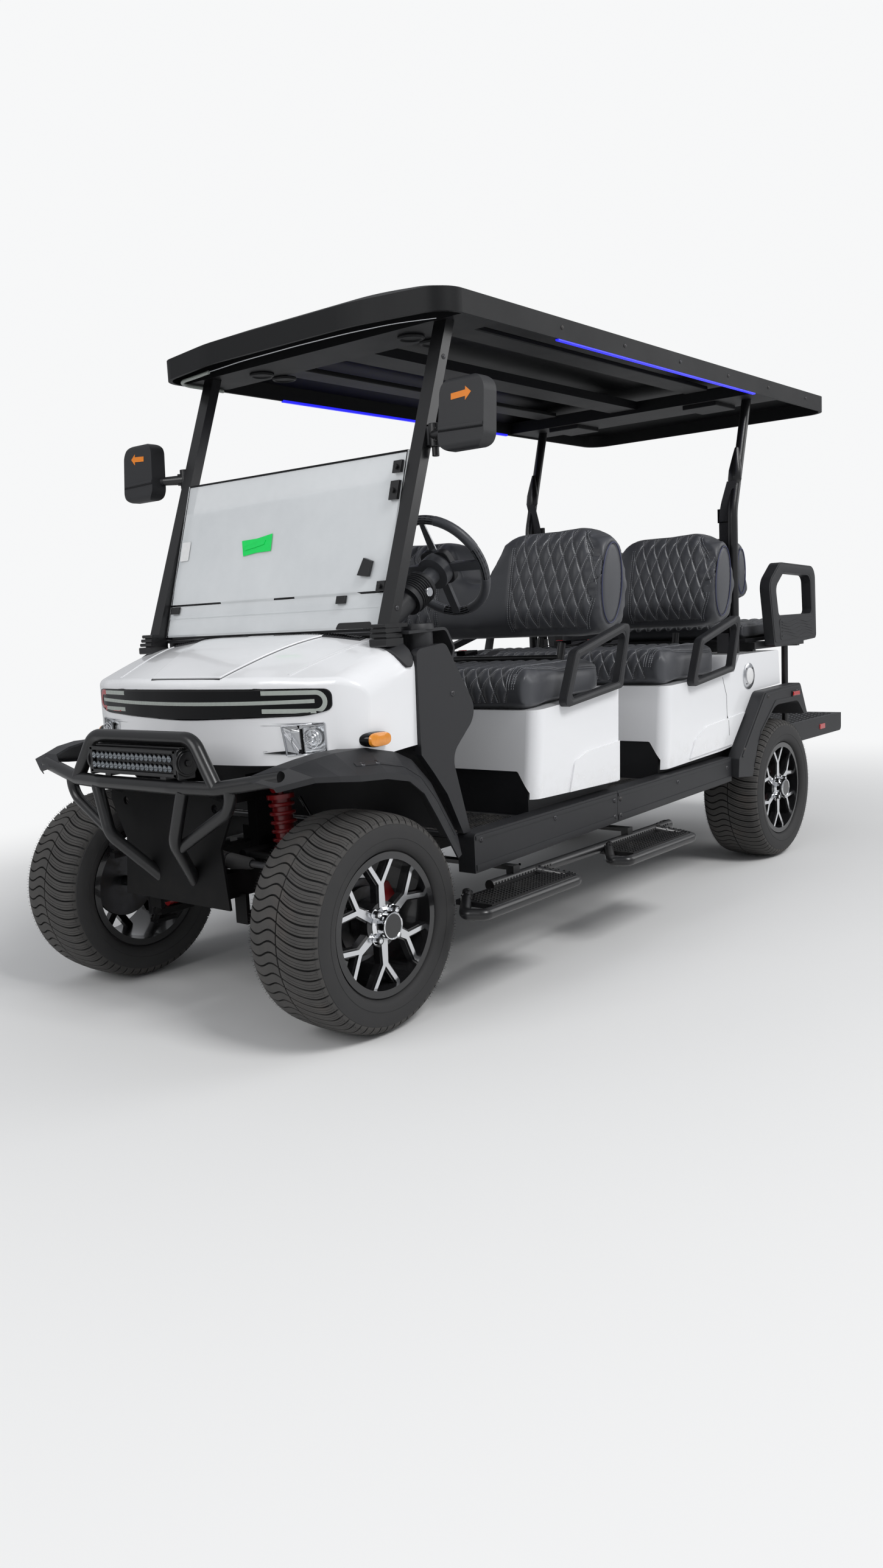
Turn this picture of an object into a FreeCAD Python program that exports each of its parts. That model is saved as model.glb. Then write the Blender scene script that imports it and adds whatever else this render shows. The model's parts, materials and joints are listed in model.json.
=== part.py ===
# Six-seat golf cart: two forward rows and one rear-facing flip seat under a long roof.
# Millimetres. +X is forward, +Y is the cart's left, +Z is up, and the origin is on the
# ground at the middle of the overall length.
import FreeCAD, Part
import math
import os
from FreeCAD import Placement, Rotation, Vector

doc = FreeCAD.newDocument("golf_cart")

# driving dimensions: alias, value
SIZES = (
    ("front_overhang", 311), ("wheelbase", 2500), ("rear_overhang", 859),
    ("tyre_diameter", 584), ("tyre_width", 245), ("track_width", 1004), ("bead_diameter", 356),
    ("rim_width", 214), ("rim_flange", 12), ("rim_wall", 7), ("spoke_count", 6), ("spoke_width", 24),
    ("spoke_depth", 26), ("spoke_step", 5), ("hub_radius", 60), ("hub_length", 60), ("spindle_radius", 16),
    ("running_gap", 0.3), ("moving_gap", 6), ("seat_gap", 0.3),
    ("kingpin_spread", 700), ("kingpin_radius", 9), ("knuckle_low", 205), ("knuckle_high", 425),
    ("steer_arm", 135), ("rack_height", 446),
    ("body_half", 580), ("sill_half", 602), ("flare_half", 630), ("wall", 8),
    ("sill_low", 347), ("sill_high", 461), ("sill_depth", 60), ("sill_rise", 18), ("floor_top", 452),
    ("floor_thick", 12),
    ("sill_front", 388), ("sill_joint", 1174), ("sill_rear", 2040), ("sill_joint_gap", 2),
    ("rail_spread", 500), ("rail_width", 50), ("rail_low", 345), ("rail_height", 94.7),
    ("row_front", 720), ("row_pitch", 840), ("box_length", 500), ("box_low", 506), ("box_top", 776),
    ("box_rise", 30),
    ("box_corner", 40), ("box_lean", 34), ("relief", 6), ("kick_top", 590), ("kick_half", 515),
    ("rear_body_end", 2565), ("rear_body_top", 868),
    ("cushion_thick", 125), ("cushion_inset", 20), ("cushion_length", 490),
    ("back_low", 965), ("back_high", 1368), ("back_valley", 1205), ("back_thick", 166), ("back_lean", 50),
    ("back_offset", 500), ("back_inset", 25), ("rear_seat_low", 920), ("rear_seat_half", 470),
    ("rear_seat_end", 2935), ("rear_back_low", 1070), ("rear_back_high", 1340), ("rear_back_half", 520),
    ("roof_low", 1877), ("roof_edge_high", 1940), ("roof_half", 602), ("roof_front", 372),
    ("roof_rear", 3050), ("roof_bow", 55), ("roof_corner", 85), ("roof_crown", 45), ("roof_skin", 10),
    ("pillar_base_x", 190), ("pillar_top_x", 487), ("pillar_base_z", 1040), ("pillar_half", 492),
    ("pillar_width", 44), ("pillar_depth", 36),
    ("post_base_x", 2308), ("post_top_x", 2460), ("post_half", 496),
    ("tube_radius", 19), ("bar_height", 668), ("hoop_height", 792),
    ("wheel_radius", 175), ("wheel_grip", 14), ("column_tilt", 31.5), ("steer_x", 668), ("steer_y", 300),
    ("steer_z", 1225),
    ("cup_radius", 38), ("cup_depth", 62), ("cup_wall", 4), ("cup_rim", 1043), ("cup_x", 300),
    ("cup_y", 506),
    ("footrest_top", 530), ("footrest_half", 545), ("footrest_front", 2745),
    ("step_height", 285), ("step_out", 755), ("motor_radius", 105),
    ("battery_length", 700), ("battery_width", 380), ("battery_height", 240),
)
sheet = doc.addObject("Spreadsheet::Sheet", "Sizes")
for row, (alias, value) in enumerate(SIZES, start=1):
    sheet.set(f"A{row}", alias)
    sheet.set(f"B{row}", str(value))
    sheet.setAlias(f"B{row}", alias)
doc.recompute()


def size(alias):
    """One driving dimension, read from the sheet."""
    return float(sheet.get(alias))


# places that follow from the driving dimensions
OVERALL_LENGTH = size("front_overhang") + size("wheelbase") + size("rear_overhang")
FRONT_AXLE = OVERALL_LENGTH / 2 - size("front_overhang")
REAR_AXLE = FRONT_AXLE - size("wheelbase")
AXLE_Z = size("tyre_diameter") / 2
TYRE_Y = size("track_width") / 2
KINGPIN_Y = size("kingpin_spread") / 2
ROW_2 = size("row_front") + size("row_pitch")
NODES = {}


def behind(distance):
    """X of a place the given distance behind the front axle."""
    return FRONT_AXLE - distance


# outline helpers
def rounded(points, closed=True):
    """Line and arc geometry through (point, corner radius) pairs."""
    corners = []
    count = len(points)
    for i, (place, radius) in enumerate(points):
        ends = not closed and i in (0, count - 1)
        if ends or radius <= 0:
            corners.append((place, place, None))
            continue
        inward = (place - points[i - 1][0]).normalize()
        outward = (points[(i + 1) % count][0] - place).normalize()
        turn = inward.getAngle(outward)
        if turn < 1e-4:
            corners.append((place, place, None))
            continue
        tangent = radius * math.tan(turn / 2)
        bisector = (outward - inward).normalize()
        middle = place + bisector * (radius / math.cos(turn / 2) - radius)
        corners.append((place - inward * tangent, place + outward * tangent, middle))
    shapes = []
    spans = count if closed else count - 1
    for i in range(count):
        start, end, middle = corners[i]
        if middle is not None:
            shapes.append(Part.Arc(start, middle, end))
        if i < spans:
            following = corners[(i + 1) % count][0]
            if (following - end).Length > 1e-6:
                shapes.append(Part.LineSegment(end, following))
    return shapes


def flat(points):
    """(u, v) or (u, v, radius) rows as (Vector, radius) pairs."""
    return [(Vector(p[0], p[1], 0), p[2] if len(p) > 2 else 0) for p in points]


def strip(points, width):
    """Closed outline of a band of the given width along (u, v, radius) rows."""
    half = width / 2
    left, right = [], []
    count = len(points)
    for i, (u, v, radius) in enumerate(points):
        here = Vector(u, v, 0)
        into = here - Vector(points[i - 1][0], points[i - 1][1], 0) if i else None
        out = Vector(points[i + 1][0], points[i + 1][1], 0) - here if i < count - 1 else None
        into = (into or out).normalize()
        out = (out or into).normalize() if out else into
        normal_in = Vector(-into.y, into.x, 0)
        normal_out = Vector(-out.y, out.x, 0)
        mitre = (normal_in + normal_out).normalize()
        reach = half / max(0.2, mitre.dot(normal_in))
        bend = into.x * out.y - into.y * out.x
        inner, outer = max(0, radius - half), radius + half if radius else 0
        left.append((u + mitre.x * reach, v + mitre.y * reach, inner if bend > 0 else outer))
        right.append((u - mitre.x * reach, v - mitre.y * reach, outer if bend > 0 else inner))
    return left + right[::-1]


# solid helpers
PLANES = {"XY": "XY_Plane", "XZ": "XZ_Plane", "YZ": "YZ_Plane"}


def new_body(label):
    body = doc.addObject("PartDesign::Body", label)
    body.Label = label
    return body


def origin_plane(body, plane):
    return next(f for f in body.Origin.OriginFeatures if f.Role == PLANES[plane])


def add_sketch(body, plane, points, level):
    """A sketch on one of the body's own origin planes, moved along its normal to an expression."""
    sketch = body.newObject("Sketcher::SketchObject", "sketch")
    sketch.AttachmentSupport = [(origin_plane(body, plane), "")]
    sketch.MapMode = "FlatFace"
    sketch.setExpression(".AttachmentOffset.Base.z", level)
    sketch.addGeometry(rounded(flat(points)), False)
    return sketch


def pad_body(label, plane, outline, level, length):
    """A body padded from one outline. An XZ plane's normal is -Y, so its level is -Y too."""
    body = new_body(label)
    pad = body.newObject("PartDesign::Pad", "pad")
    pad.Profile = add_sketch(body, plane, outline, level)
    pad.setExpression("Length", length)
    doc.recompute()
    return body


def feature(label, shape):
    made = doc.addObject("Part::Feature", label)
    made.Shape = shape
    made.Label = label
    return made


def mirrored(source, label):
    made = doc.addObject("Part::Mirroring", label)
    made.Source = source
    made.Normal = Vector(0, 1, 0)
    return made


def pair(label, left):
    """A node that holds a left piece and its mirror image."""
    right = mirrored(left, label + "_mirror")
    made = doc.addObject("Part::Compound", label)
    made.Links = [left, right]
    made.Label = label
    left.Label = label + "_left_piece"
    NODES[label] = made
    return made


def node(made):
    NODES[made.Label] = made
    return made


def face_of(points, place=Placement()):
    wire = Part.Wire([g.toShape() for g in rounded(flat(points))])
    face = Part.Face(wire)
    face.Placement = place
    return face


def slab_xz(points, y_low, y_high):
    """Outline rows in X and Z, filled from y_low to y_high."""
    turn = Placement(Vector(0, y_high, 0), Rotation(Vector(1, 0, 0), 90))
    return face_of(points, turn).extrude(Vector(0, y_low - y_high, 0))


def slab_xy(points, z_low, z_high):
    face = face_of(points, Placement(Vector(0, 0, z_low), Rotation()))
    return face.extrude(Vector(0, 0, z_high - z_low))


def slab_yz(points, x_low, x_high):
    """Outline rows in Y and Z, filled from x_low to x_high."""
    turn = Placement(Vector(x_low, 0, 0), Rotation(Vector(1, 1, 1), 120))
    return face_of(points, turn).extrude(Vector(x_high - x_low, 0, 0))


def block(low, high):
    span = [h - l for l, h in zip(low, high)]
    return Part.makeBox(*span, Vector(*low))


def rod(start, end, radius):
    along = Vector(*end) - Vector(*start)
    return Part.makeCylinder(radius, along.Length, Vector(*start), along)


def tube(points, radius, bend):
    """A round tube along points, each bend of the given radius."""
    places = [(Vector(*p[:3]), p[3] if len(p) > 3 else bend) for p in points]
    path = Part.Wire([g.toShape() for g in rounded(places, closed=False)])
    along = places[1][0] - places[0][0]
    ring = Part.Wire([Part.Circle(places[0][0], along, radius).toShape()])
    return path.makePipeShell([ring], True, True)


def joined(shapes):
    first, *others = shapes
    return first.fuse(others).removeSplitter() if others else first


def flipped(shape):
    return shape.mirror(Vector(0, 0, 0), Vector(0, 1, 0))


def both(shape):
    return [shape, flipped(shape)]


def rectangle(u_low, v_low, u_high, v_high, radius=0):
    return [(u_low, v_low, radius), (u_high, v_low, radius), (u_high, v_high, radius),
            (u_low, v_high, radius)]


# wheels
def tyre_shape():
    """Tyre of revolution about Y at the origin, its bead seat open for the rim."""
    half = size("tyre_width") / 2
    outer = size("tyre_diameter") / 2
    bead = size("bead_diameter") / 2 + size("seat_gap")
    bead_half = size("rim_width") / 2 - size("rim_flange") / 2 - size("seat_gap")
    crown_half = half * 0.80
    tyre_wall = 12
    profile = [
        (-bead_half, bead, 3), (-bead_half, bead + size("rim_flange") + 3, 4), (-half + 5, bead + 38, 20),
        (-half, outer * 0.80, 30),
        (-crown_half, outer - 6, 16), (-30, outer, 0), (30, outer, 0), (crown_half, outer - 6, 16),
        (half, outer * 0.80, 30), (half - 5, bead + 38, 20),
        (bead_half, bead + size("rim_flange") + 3, 4), (bead_half, bead, 3),
        (bead_half - 16, bead, 3), (half - tyre_wall - 8, bead + 26, 18),
        (half - tyre_wall, outer * 0.78, 24),
        (crown_half - 8, outer - 20, 14), (8 - crown_half, outer - 20, 14),
        (tyre_wall - half, outer * 0.78, 24),
        (tyre_wall + 8 - half, bead + 26, 18), (16 - bead_half, bead, 3),
    ]
    # the two bead edges are joined inside by an open channel, so the outline is one closed band
    turn = Placement(Vector(0, 0, 0), Rotation(Vector(1, 1, 1), 120))
    return face_of(profile, turn).revolve(Vector(0, 0, 0), Vector(0, 1, 0), 360)


def rim_shape(outside):
    """Six Y-spoke rim about Y at the origin. outside is +1 or -1, the side its face is on."""
    half = size("rim_width") / 2
    bead = size("bead_diameter") / 2
    flange = size("rim_flange")
    wall = size("rim_wall")
    barrel = [
        (-half, bead - wall), (half, bead - wall), (half, bead + flange), (half - flange / 2, bead + flange),
        (half - flange / 2, bead), (flange / 2 - half, bead), (flange / 2 - half, bead + flange),
        (-half, bead + flange),
    ]
    turn = Placement(Vector(0, 0, 0), Rotation(Vector(1, 1, 1), 120))
    ring = face_of(barrel, turn).revolve(Vector(0, 0, 0), Vector(0, 1, 0), 360)
    face_y = half - 14
    back_y = face_y - size("spoke_depth")
    reach = bead + 14
    fork = 0.63 * bead
    start = size("hub_radius") - 14
    step = size("spoke_step")
    spokes = []
    # each spoke is a wide dark base with a narrower machined face on it
    for index in range(int(size("spoke_count"))):
        angle = 90 + index * 360 / size("spoke_count")
        pieces = []
        for grow, y_low, y_high in ((step, back_y, face_y - step), (0, face_y - 2 * step, face_y)):
            root, neck, thin = (size("spoke_width") * share + 2 * grow for share in (1, 0.8, 0.5))
            trunk = [(start, -root / 2, 0), (fork, -neck / 2, 0), (fork, neck / 2, 0), (start, root / 2, 0)]
            pieces.append(slab_xz(trunk, y_low, y_high))
            for side in (-1, 1):
                turn = math.radians(side * 17.5)
                tip = (reach * math.cos(turn), reach * math.sin(turn), 0)
                pieces.append(slab_xz(strip([(fork - 6, side * 3, 0), tip], thin), y_low, y_high))
        spoke = joined(pieces)
        spoke.rotate(Vector(0, 0, 0), Vector(0, 1, 0), -angle)
        spokes.append(spoke)
    bore = size("spindle_radius") + size("running_gap")
    hub = rod((0, face_y - size("hub_length"), 0), (0, face_y - 2, 0), size("hub_radius"))
    cap = rod((0, face_y - 3, 0), (0, face_y + 34, 0), 36)
    nuts = []
    circle = size("hub_radius") - 12
    for index in range(4):
        angle = math.radians(45 + index * 90)
        place = (circle * math.cos(angle), circle * math.sin(angle))
        nuts.append(rod((place[0], face_y - 8, place[1]), (place[0], face_y + 20, place[1]), 10))
    wheel = joined([ring, hub, cap, *nuts, *spokes])
    inside = bead - wall / 2
    keep = rod((0, -half, 0), (0, face_y + 40, 0), inside)
    wheel = joined([wheel.common(keep), ring])
    hollow = rod((0, face_y - size("hub_length") - 1, 0), (0, face_y - 12, 0), bore)
    wheel = wheel.cut(hollow)
    if outside < 0:
        wheel = flipped(wheel)
    return wheel


WHEELS = (("front_left", FRONT_AXLE, 1), ("front_right", FRONT_AXLE, -1),
          ("rear_left", REAR_AXLE, 1), ("rear_right", REAR_AXLE, -1))


def wheels():
    tyre = tyre_shape()
    rims = {1: rim_shape(1), -1: rim_shape(-1)}
    for name, x, side in WHEELS:
        place = Placement(Vector(x, side * TYRE_Y, AXLE_Z), Rotation())
        for label, shape in (("tyre_" + name, tyre), ("rim_" + name, rims[side])):
            made = feature(label, shape.copy())
            made.Placement = place
            node(made)


RIM_BACK = TYRE_Y - size("rim_width") / 2
HUB_FACE = TYRE_Y + size("rim_width") / 2 - 14


# steering and axles
RACK_SEAT = size("rack_height") - 32


def knuckle_shape():
    """Left knuckle: upright with pins above and below, spindle, brake disc and steering arm."""
    x, y = FRONT_AXLE, KINGPIN_Y
    low, high = size("knuckle_low"), size("knuckle_high")
    hub_back = HUB_FACE - size("hub_length")
    upright = block((x - 22, y - 18, low), (x + 22, y + 18, high))
    pin = rod((x, y, low - 24), (x, y, high + 24), size("kingpin_radius"))
    spindle = rod((x, y, AXLE_Z), (x, HUB_FACE - 14, AXLE_Z), size("spindle_radius"))
    disc = rod((x, hub_back - size("moving_gap") - 8, AXLE_Z), (x, hub_back - size("moving_gap"), AXLE_Z),
               92)
    arm_top = size("rack_height") - size("moving_gap") - 16
    arm = block((x + 10, y - 16, arm_top - 16), (x + size("steer_arm") + 16, y + 8, arm_top))
    return joined([upright, pin, spindle, disc, arm])


def steering():
    left = knuckle_shape()
    node(feature("knuckle_left", left))
    node(feature("knuckle_right", flipped(left)))
    x = FRONT_AXLE + size("steer_arm")
    z = size("rack_height")
    reach = KINGPIN_Y - 5
    bar = rod((x, -reach, z), (x, reach, z), 9)
    ends = [rod((x, s * reach - 14, z), (x, s * reach + 14, z), 15) for s in (-1, 1)]
    node(feature("tie_rods", joined([bar, *ends])))
    bellows = []
    for s in (-1, 1):
        rings = [rod((x, s * (110 + 12 * i), z), (x, s * (119 + 12 * i), z), 27 - 1.2 * i) for i in range(5)]
        core = rod((x, s * 100, z), (x, s * 168, z), 19)
        bellows.append(joined([core, *rings]))
    housing = rod((x, -105, z), (x, 105, z), 24)
    bore = rod((x, -200, z), (x, 200, z), 9 + size("running_gap"))
    feet = [block((x - 20, s * 70 - 14, RACK_SEAT + size("seat_gap")), (x + 20, s * 70 + 14, z))
            for s in (-1, 1)]
    rack = joined([housing, *bellows, *feet]).cut(bore)
    node(feature("steering_rack", rack))


# the arms' inner barrels lie just outside the towers
TOWER_Y = 165
TOWER_HALF = 18
ARM_Y = TOWER_Y + TOWER_HALF + 14 + size("seat_gap")


def arm_shape(z, outer_z):
    """One A-arm as a flat wishbone from the frame to the kingpin, with an eye round the pin."""
    x, y = FRONT_AXLE, KINGPIN_Y
    frame_y = ARM_Y
    thick = 12
    legs = []
    for s in (-1, 1):
        legs.append(rod((x + s * 95, frame_y, z), (x + s * 30, y - 25, outer_z + 3), 9))
    barrel = rod((x - 113, frame_y, z), (x + 113, frame_y, z), 14)
    eye = rod((x, y, outer_z - thick / 2), (x, y, outer_z + thick / 2), 22)
    tab = block((x - 38, y - 44, outer_z - thick / 2), (x + 38, y - 8, outer_z + thick / 2))
    bore = rod((x, y, outer_z - 30), (x, y, outer_z + 30), size("kingpin_radius") + size("running_gap"))
    return joined([*legs, barrel, tab, eye]).cut(bore)


def suspension():
    low_z = size("knuckle_low") - size("moving_gap") - 6
    high_z = size("knuckle_high") + size("moving_gap") + 6
    lower = arm_shape(size("rail_low") - 55, low_z)
    upper = arm_shape(high_z + 24, high_z)
    x = FRONT_AXLE
    saddle = block((x - 62, 252, 224), (x + 62, 292, 242))
    lower = joined([lower, saddle])
    node(feature("front_arms", Part.makeCompound(both(lower) + both(upper))))
    # coil-over units from the lower arm to the tower
    foot = Vector(x, 272, 242 + size("seat_gap"))
    head = Vector(x, 236, 646 - size("seat_gap"))
    along = (head - foot)
    length = along.Length
    along.normalize()
    at = lambda t: foot + along * t
    cylinder = lambda a, b, r: Part.makeCylinder(r, b - a, at(a), along)
    turns = [Part.makeTorus(31, 5.5, at(176 + 24 * i), along) for i in range(8)]
    rod_piece = cylinder(6, length - 6, 9)
    seat_low = cylinder(152, 164, 38)
    seat_high = cylinder(360, 372, 38)
    sleeve = cylinder(30, 260, 22)
    spine = cylinder(164, 360, 27)
    eyes = [rod((x - 22, 272, 256.3), (x + 22, 272, 256.3), 14),
            rod((x - 22, 236, 631.7), (x + 22, 236, 631.7), 14)]
    unit = joined([*eyes, rod_piece, seat_low, seat_high, sleeve, spine, *turns])
    node(feature("coil_overs", Part.makeCompound(both(unit))))


def rear_axle():
    x = REAR_AXLE
    hub_back = HUB_FACE - size("hub_length")
    tube_end = RIM_BACK + 30
    shaft = rod((x, -(HUB_FACE - 14), AXLE_Z), (x, HUB_FACE - 14, AXLE_Z), size("spindle_radius"))
    casing = rod((x, -tube_end, AXLE_Z), (x, tube_end, AXLE_Z), 34)
    drums = [rod((x, s * (hub_back - size("moving_gap") - 40), AXLE_Z),
                 (x, s * (hub_back - size("moving_gap")), AXLE_Z), 92)
             for s in (-1, 1)]
    case = rod((x, -70, AXLE_Z), (x, 80, AXLE_Z), 98)
    motor = rod((x + 150, -200, AXLE_Z + 4), (x + 150, 110, AXLE_Z + 4), size("motor_radius") - 20)
    bridge = block((x + 20, -60, AXLE_Z - 50), (x + 150, 60, AXLE_Z + 50))
    node(feature("rear_axle", joined([shaft, casing, case, bridge, motor, *drums])))
    arms = []
    for s in (1,):
        y = size("rail_spread") / 2 + size("rail_width") / 2 + 25 + size("seat_gap")
        leaf = strip([(x + 330, AXLE_Z + 66, 0), (x + 200, AXLE_Z + 46, 300), (x, AXLE_Z + 40.2, 600),
                      (x - 200, AXLE_Z + 46, 300), (x - 330, AXLE_Z + 66, 0)], 12)
        arms.append(slab_xz(leaf, y - 25, y + 25))
        arms.append(block((x - 45, y - 25, AXLE_Z + 46), (x + 45, y + 30, AXLE_Z + 62)))
        arms.append(rod((x + 330, y - 25, AXLE_Z + 66), (x + 330, y + 25, AXLE_Z + 66), 17))
        arms.append(rod((x - 330, y - 25, AXLE_Z + 66), (x - 330, y + 25, AXLE_Z + 66), 17))
    spring = joined(arms)
    node(feature("leaf_springs", Part.makeCompound(both(spring))))


# chassis
def chassis():
    rail_y = size("rail_spread") / 2
    half = size("rail_width") / 2
    low, high = size("rail_low"), size("rail_low") + size("rail_height")
    front = FRONT_AXLE - 300
    rear = behind(size("rear_body_end")) - 60
    rails = []
    for s in (-1, 1):
        outer = block((rear, s * rail_y - half, low), (front, s * rail_y + half, high))
        rails.append(outer)
    # narrow front horns between the wheels
    horns = [block((front - 40, s * 160 - 25, low), (FRONT_AXLE + 186, s * 160 + 25, RACK_SEAT))
             for s in (-1, 1)]
    rack_x = FRONT_AXLE + size("steer_arm")
    links_front = [block((rack_x - 25, -160, RACK_SEAT - 20), (rack_x + 25, 160, RACK_SEAT))]
    links = [block((front - 60, -rail_y, low + 10), (front, rail_y, high - 10))]
    for distance in (size("row_front") + 120, ROW_2 - 60, ROW_2 + 330, size("rear_body_end") + 35):
        x = behind(distance)
        links.append(block((x - 25, -rail_y, low + 15), (x + 25, rail_y, high - 15)))
    outriggers = []
    for distance in (size("row_front") - 180, size("sill_joint") - 20, size("sill_rear") - 160):
        x = behind(distance)
        reach = size("sill_half") - size("sill_depth") - 1
        outriggers.append(block((x - 20, -reach, high - 30), (x + 20, reach, high)))
    plate = [(-250, 655), (250, 655), (262, 600), (205, 490), (225, low - 20), (-225, low - 20), (-205, 490),
             (-262, 600)]
    bulkhead = slab_yz(plate, FRONT_AXLE + 186, FRONT_AXLE + 194)
    for s in (-1, 1):
        bulkhead = bulkhead.cut(rod((FRONT_AXLE + 170, s * 192, 598), (FRONT_AXLE + 210, s * 192, 598), 12))
    towers = []
    for s in (-1, 1):
        y = s * TOWER_Y
        towers.append(block((FRONT_AXLE - 40, y - TOWER_HALF, RACK_SEAT - 5),
                            (FRONT_AXLE + 40, y + TOWER_HALF, 668)))
        towers.append(block((FRONT_AXLE - 40, min(y, s * 274), 646),
                            (FRONT_AXLE + 40, max(y, s * 274), 668)))
        towers.append(block((FRONT_AXLE + 40, y - 14, 600), (FRONT_AXLE + 187, y + 14, 640)))
        for end in (-1, 1):
            x_low, x_high = sorted((FRONT_AXLE + end * 113.3, FRONT_AXLE + end * 125))
            towers.append(block((x_low, min(y, s * (ARM_Y + 14)), low - 75),
                                (x_high, max(y, s * (ARM_Y + 14)), low + 10)))
    parts = [*rails, *horns, *links, *links_front, *outriggers, bulkhead, *towers]
    node(feature("chassis_frame", joined(parts)))



# outer body


# Nose and hood: cross-sections as (distance behind the front axle, low edge, shoulder, crown), where the
# low edge is (inset from the body's half width, z) and the other two are (inset, z, corner radius)
COWL = (
    (213, (20, 734), (14, 1006, 80), (340, 1040, 1500)),
    (90, (20, 724), (14, 968, 85), (340, 1013, 1500)),
    (-20, (24, 712), (18, 924, 80), (340, 972, 1500)),
    (-150, (34, 700), (28, 884, 70), (340, 914, 1500)),
)
# the same nose from above, from the side wall round to the middle of the front: distance, inset, corner
# radius; the middle point has no inset
NOSE_PLAN = ((213, 11, 0), (-2, 11, 110), (-58, 140, 260), (-103, 325, 1000), (-127, None, 1300))


def cowl_section(row, inset):
    """Closed Y-Z section of the nose, inset inwards."""
    d, *rows = row
    low, shoulder, crown = ((size("body_half") - r[0], *r[1:]) for r in rows)
    half = [(low[0] - inset, low[1] - 2 * inset, 0),
            (shoulder[0] - inset, shoulder[1] - inset, shoulder[2] - inset),
            (crown[0], crown[1] - inset, crown[2])]
    outline = half + [(-y, z, r) for y, z, r in half[::-1]]
    places = [(Vector(behind(d), y, z), r) for y, z, r in outline]
    return Part.Wire([g.toShape() for g in rounded(places)])


def nose_prism(inset):
    """The nose's outline from above, inset inwards and filled upwards."""
    half = size("body_half")
    rows = [(behind(d) - (inset if i else 0), 0 if y is None else half - y - inset, r)
            for i, (d, y, r) in enumerate(NOSE_PLAN)]
    return slab_xy(rows + [(x, -y, r) for x, y, r in rows[-2::-1]], 600, 1100)


def cowl_solid(inset):
    """The whole nose, with its front edge rounded on the outer skin only."""
    sections = [cowl_section(row, inset) for row in COWL]
    body = Part.makeLoft(sections, True, False).common(nose_prism(inset))
    if inset:
        return body
    front = [e for e in body.Edges if e.BoundBox.XMin > behind(35) and e.BoundBox.ZMin > 868]
    return body.makeFillet(22, front)


def nose_layer(outline, depth_out, depth_in):
    """A front-view outline in Y and Z, filled between two depths under the nose's skin."""
    full = slab_yz(outline, behind(60), behind(-200))
    return full.common(nose_prism(depth_out)).cut(nose_prism(depth_in))


def grown(rows, by):
    """Convex outline rows moved outwards from their middle by about the given distance."""
    u0 = sum(r[0] for r in rows) / len(rows)
    v0 = sum(r[1] for r in rows) / len(rows)
    return [(u + math.copysign(by, u - u0), v + math.copysign(by, v - v0), r) for u, v, r in rows]


BAND = ((-494, 852, 20), (-430, 836, 300), (0, 822, 2500), (430, 836, 300), (494, 852, 20), (494, 904, 20),
        (430, 906, 0), (0, 908, 0), (-430, 906, 0), (-494, 904, 20))
LAMP = ((350, 806, 4), (468, 817, 8), (470, 747, 8), (406, 733, 8))


def nose():
    gap = size("seat_gap")
    shell = cowl_solid(0).cut(cowl_solid(size("wall")))
    shell = shell.cut(nose_layer(grown(BAND, gap), -20, 30 + gap))
    band = nose_layer(BAND, -2.5, 30)
    lamps = []
    for side in (1, -1):
        rows = [(side * y, z, r) for y, z, r in LAMP]
        lamp = nose_layer(rows, 5, 34)
        shell = shell.cut(nose_layer(grown(rows, gap), -20, 34 + gap))
        ball = Part.makeSphere(27, Vector(behind(-42), side * 437, 780))
        lamps.append(joined([lamp, ball.common(nose_layer(rows, 0, 20))]))
    node(feature("front_cowl", shell))
    node(feature("lamp_band", band))
    node(feature("headlamps", Part.makeCompound(lamps)))


# Front wheel flare: angle round the wheel from straight ahead, then inset from the body's half width and
# radius of its edge on the body, and inset from the flare's half width and radius of its outer lip
FLARE = (
    (56, 134, 484, 124, 470), (62, 55, 491, 32, 468), (69, 32, 480, 8, 438), (77, 22, 469, 0, 413),
    (91.5, 22, 457, 0, 396), (104.5, 22, 452, 0, 390), (115, 22, 446, 0, 371),
    (128.5, 22, 424, 0, 336), (156, 22, 405, 0, 322),
)
FLARE_SKIN = 6
FLARE_LIP = 16


def flare_sections(flange):
    """Closed radial sections of the flare: sloped skin, turned-in lip and a flange under the body."""
    wires = []
    for angle, inset, r_in, lip_inset, r_lip in FLARE:
        turn = math.radians(angle)
        y_in = size("body_half") - inset
        y_lip = size("flare_half") - lip_inset
        rows = ((y_in - flange, r_in), (y_in, r_in), (y_lip, r_lip), (y_lip, r_lip - FLARE_LIP),
                (y_lip - FLARE_SKIN, r_lip - FLARE_LIP), (y_lip - FLARE_SKIN, r_lip - FLARE_SKIN),
                (y_in, r_in - FLARE_SKIN), (y_in - flange, r_in - FLARE_SKIN))
        points = [Vector(FRONT_AXLE + r * math.cos(turn), y, AXLE_Z + r * math.sin(turn)) for y, r in rows]
        wires.append(Part.makePolygon(points + [points[0]]))
    return wires


def front_flares():
    skin = Part.makeLoft(flare_sections(60), True, True)
    bar = bar_path()
    rest = rod(bar[-2][:3], bar[-1][:3], size("tube_radius") + size("seat_gap"))
    end = Part.makeSphere(size("tube_radius") + size("seat_gap"), Vector(*bar[-1][:3]))
    left = skin.cut(cowl_solid(0)).cut(joined([rest, end]))
    left = max(left.Solids, key=lambda shape: shape.Volume)
    node(feature("front_flares", Part.makeCompound(both(left))))


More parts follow.
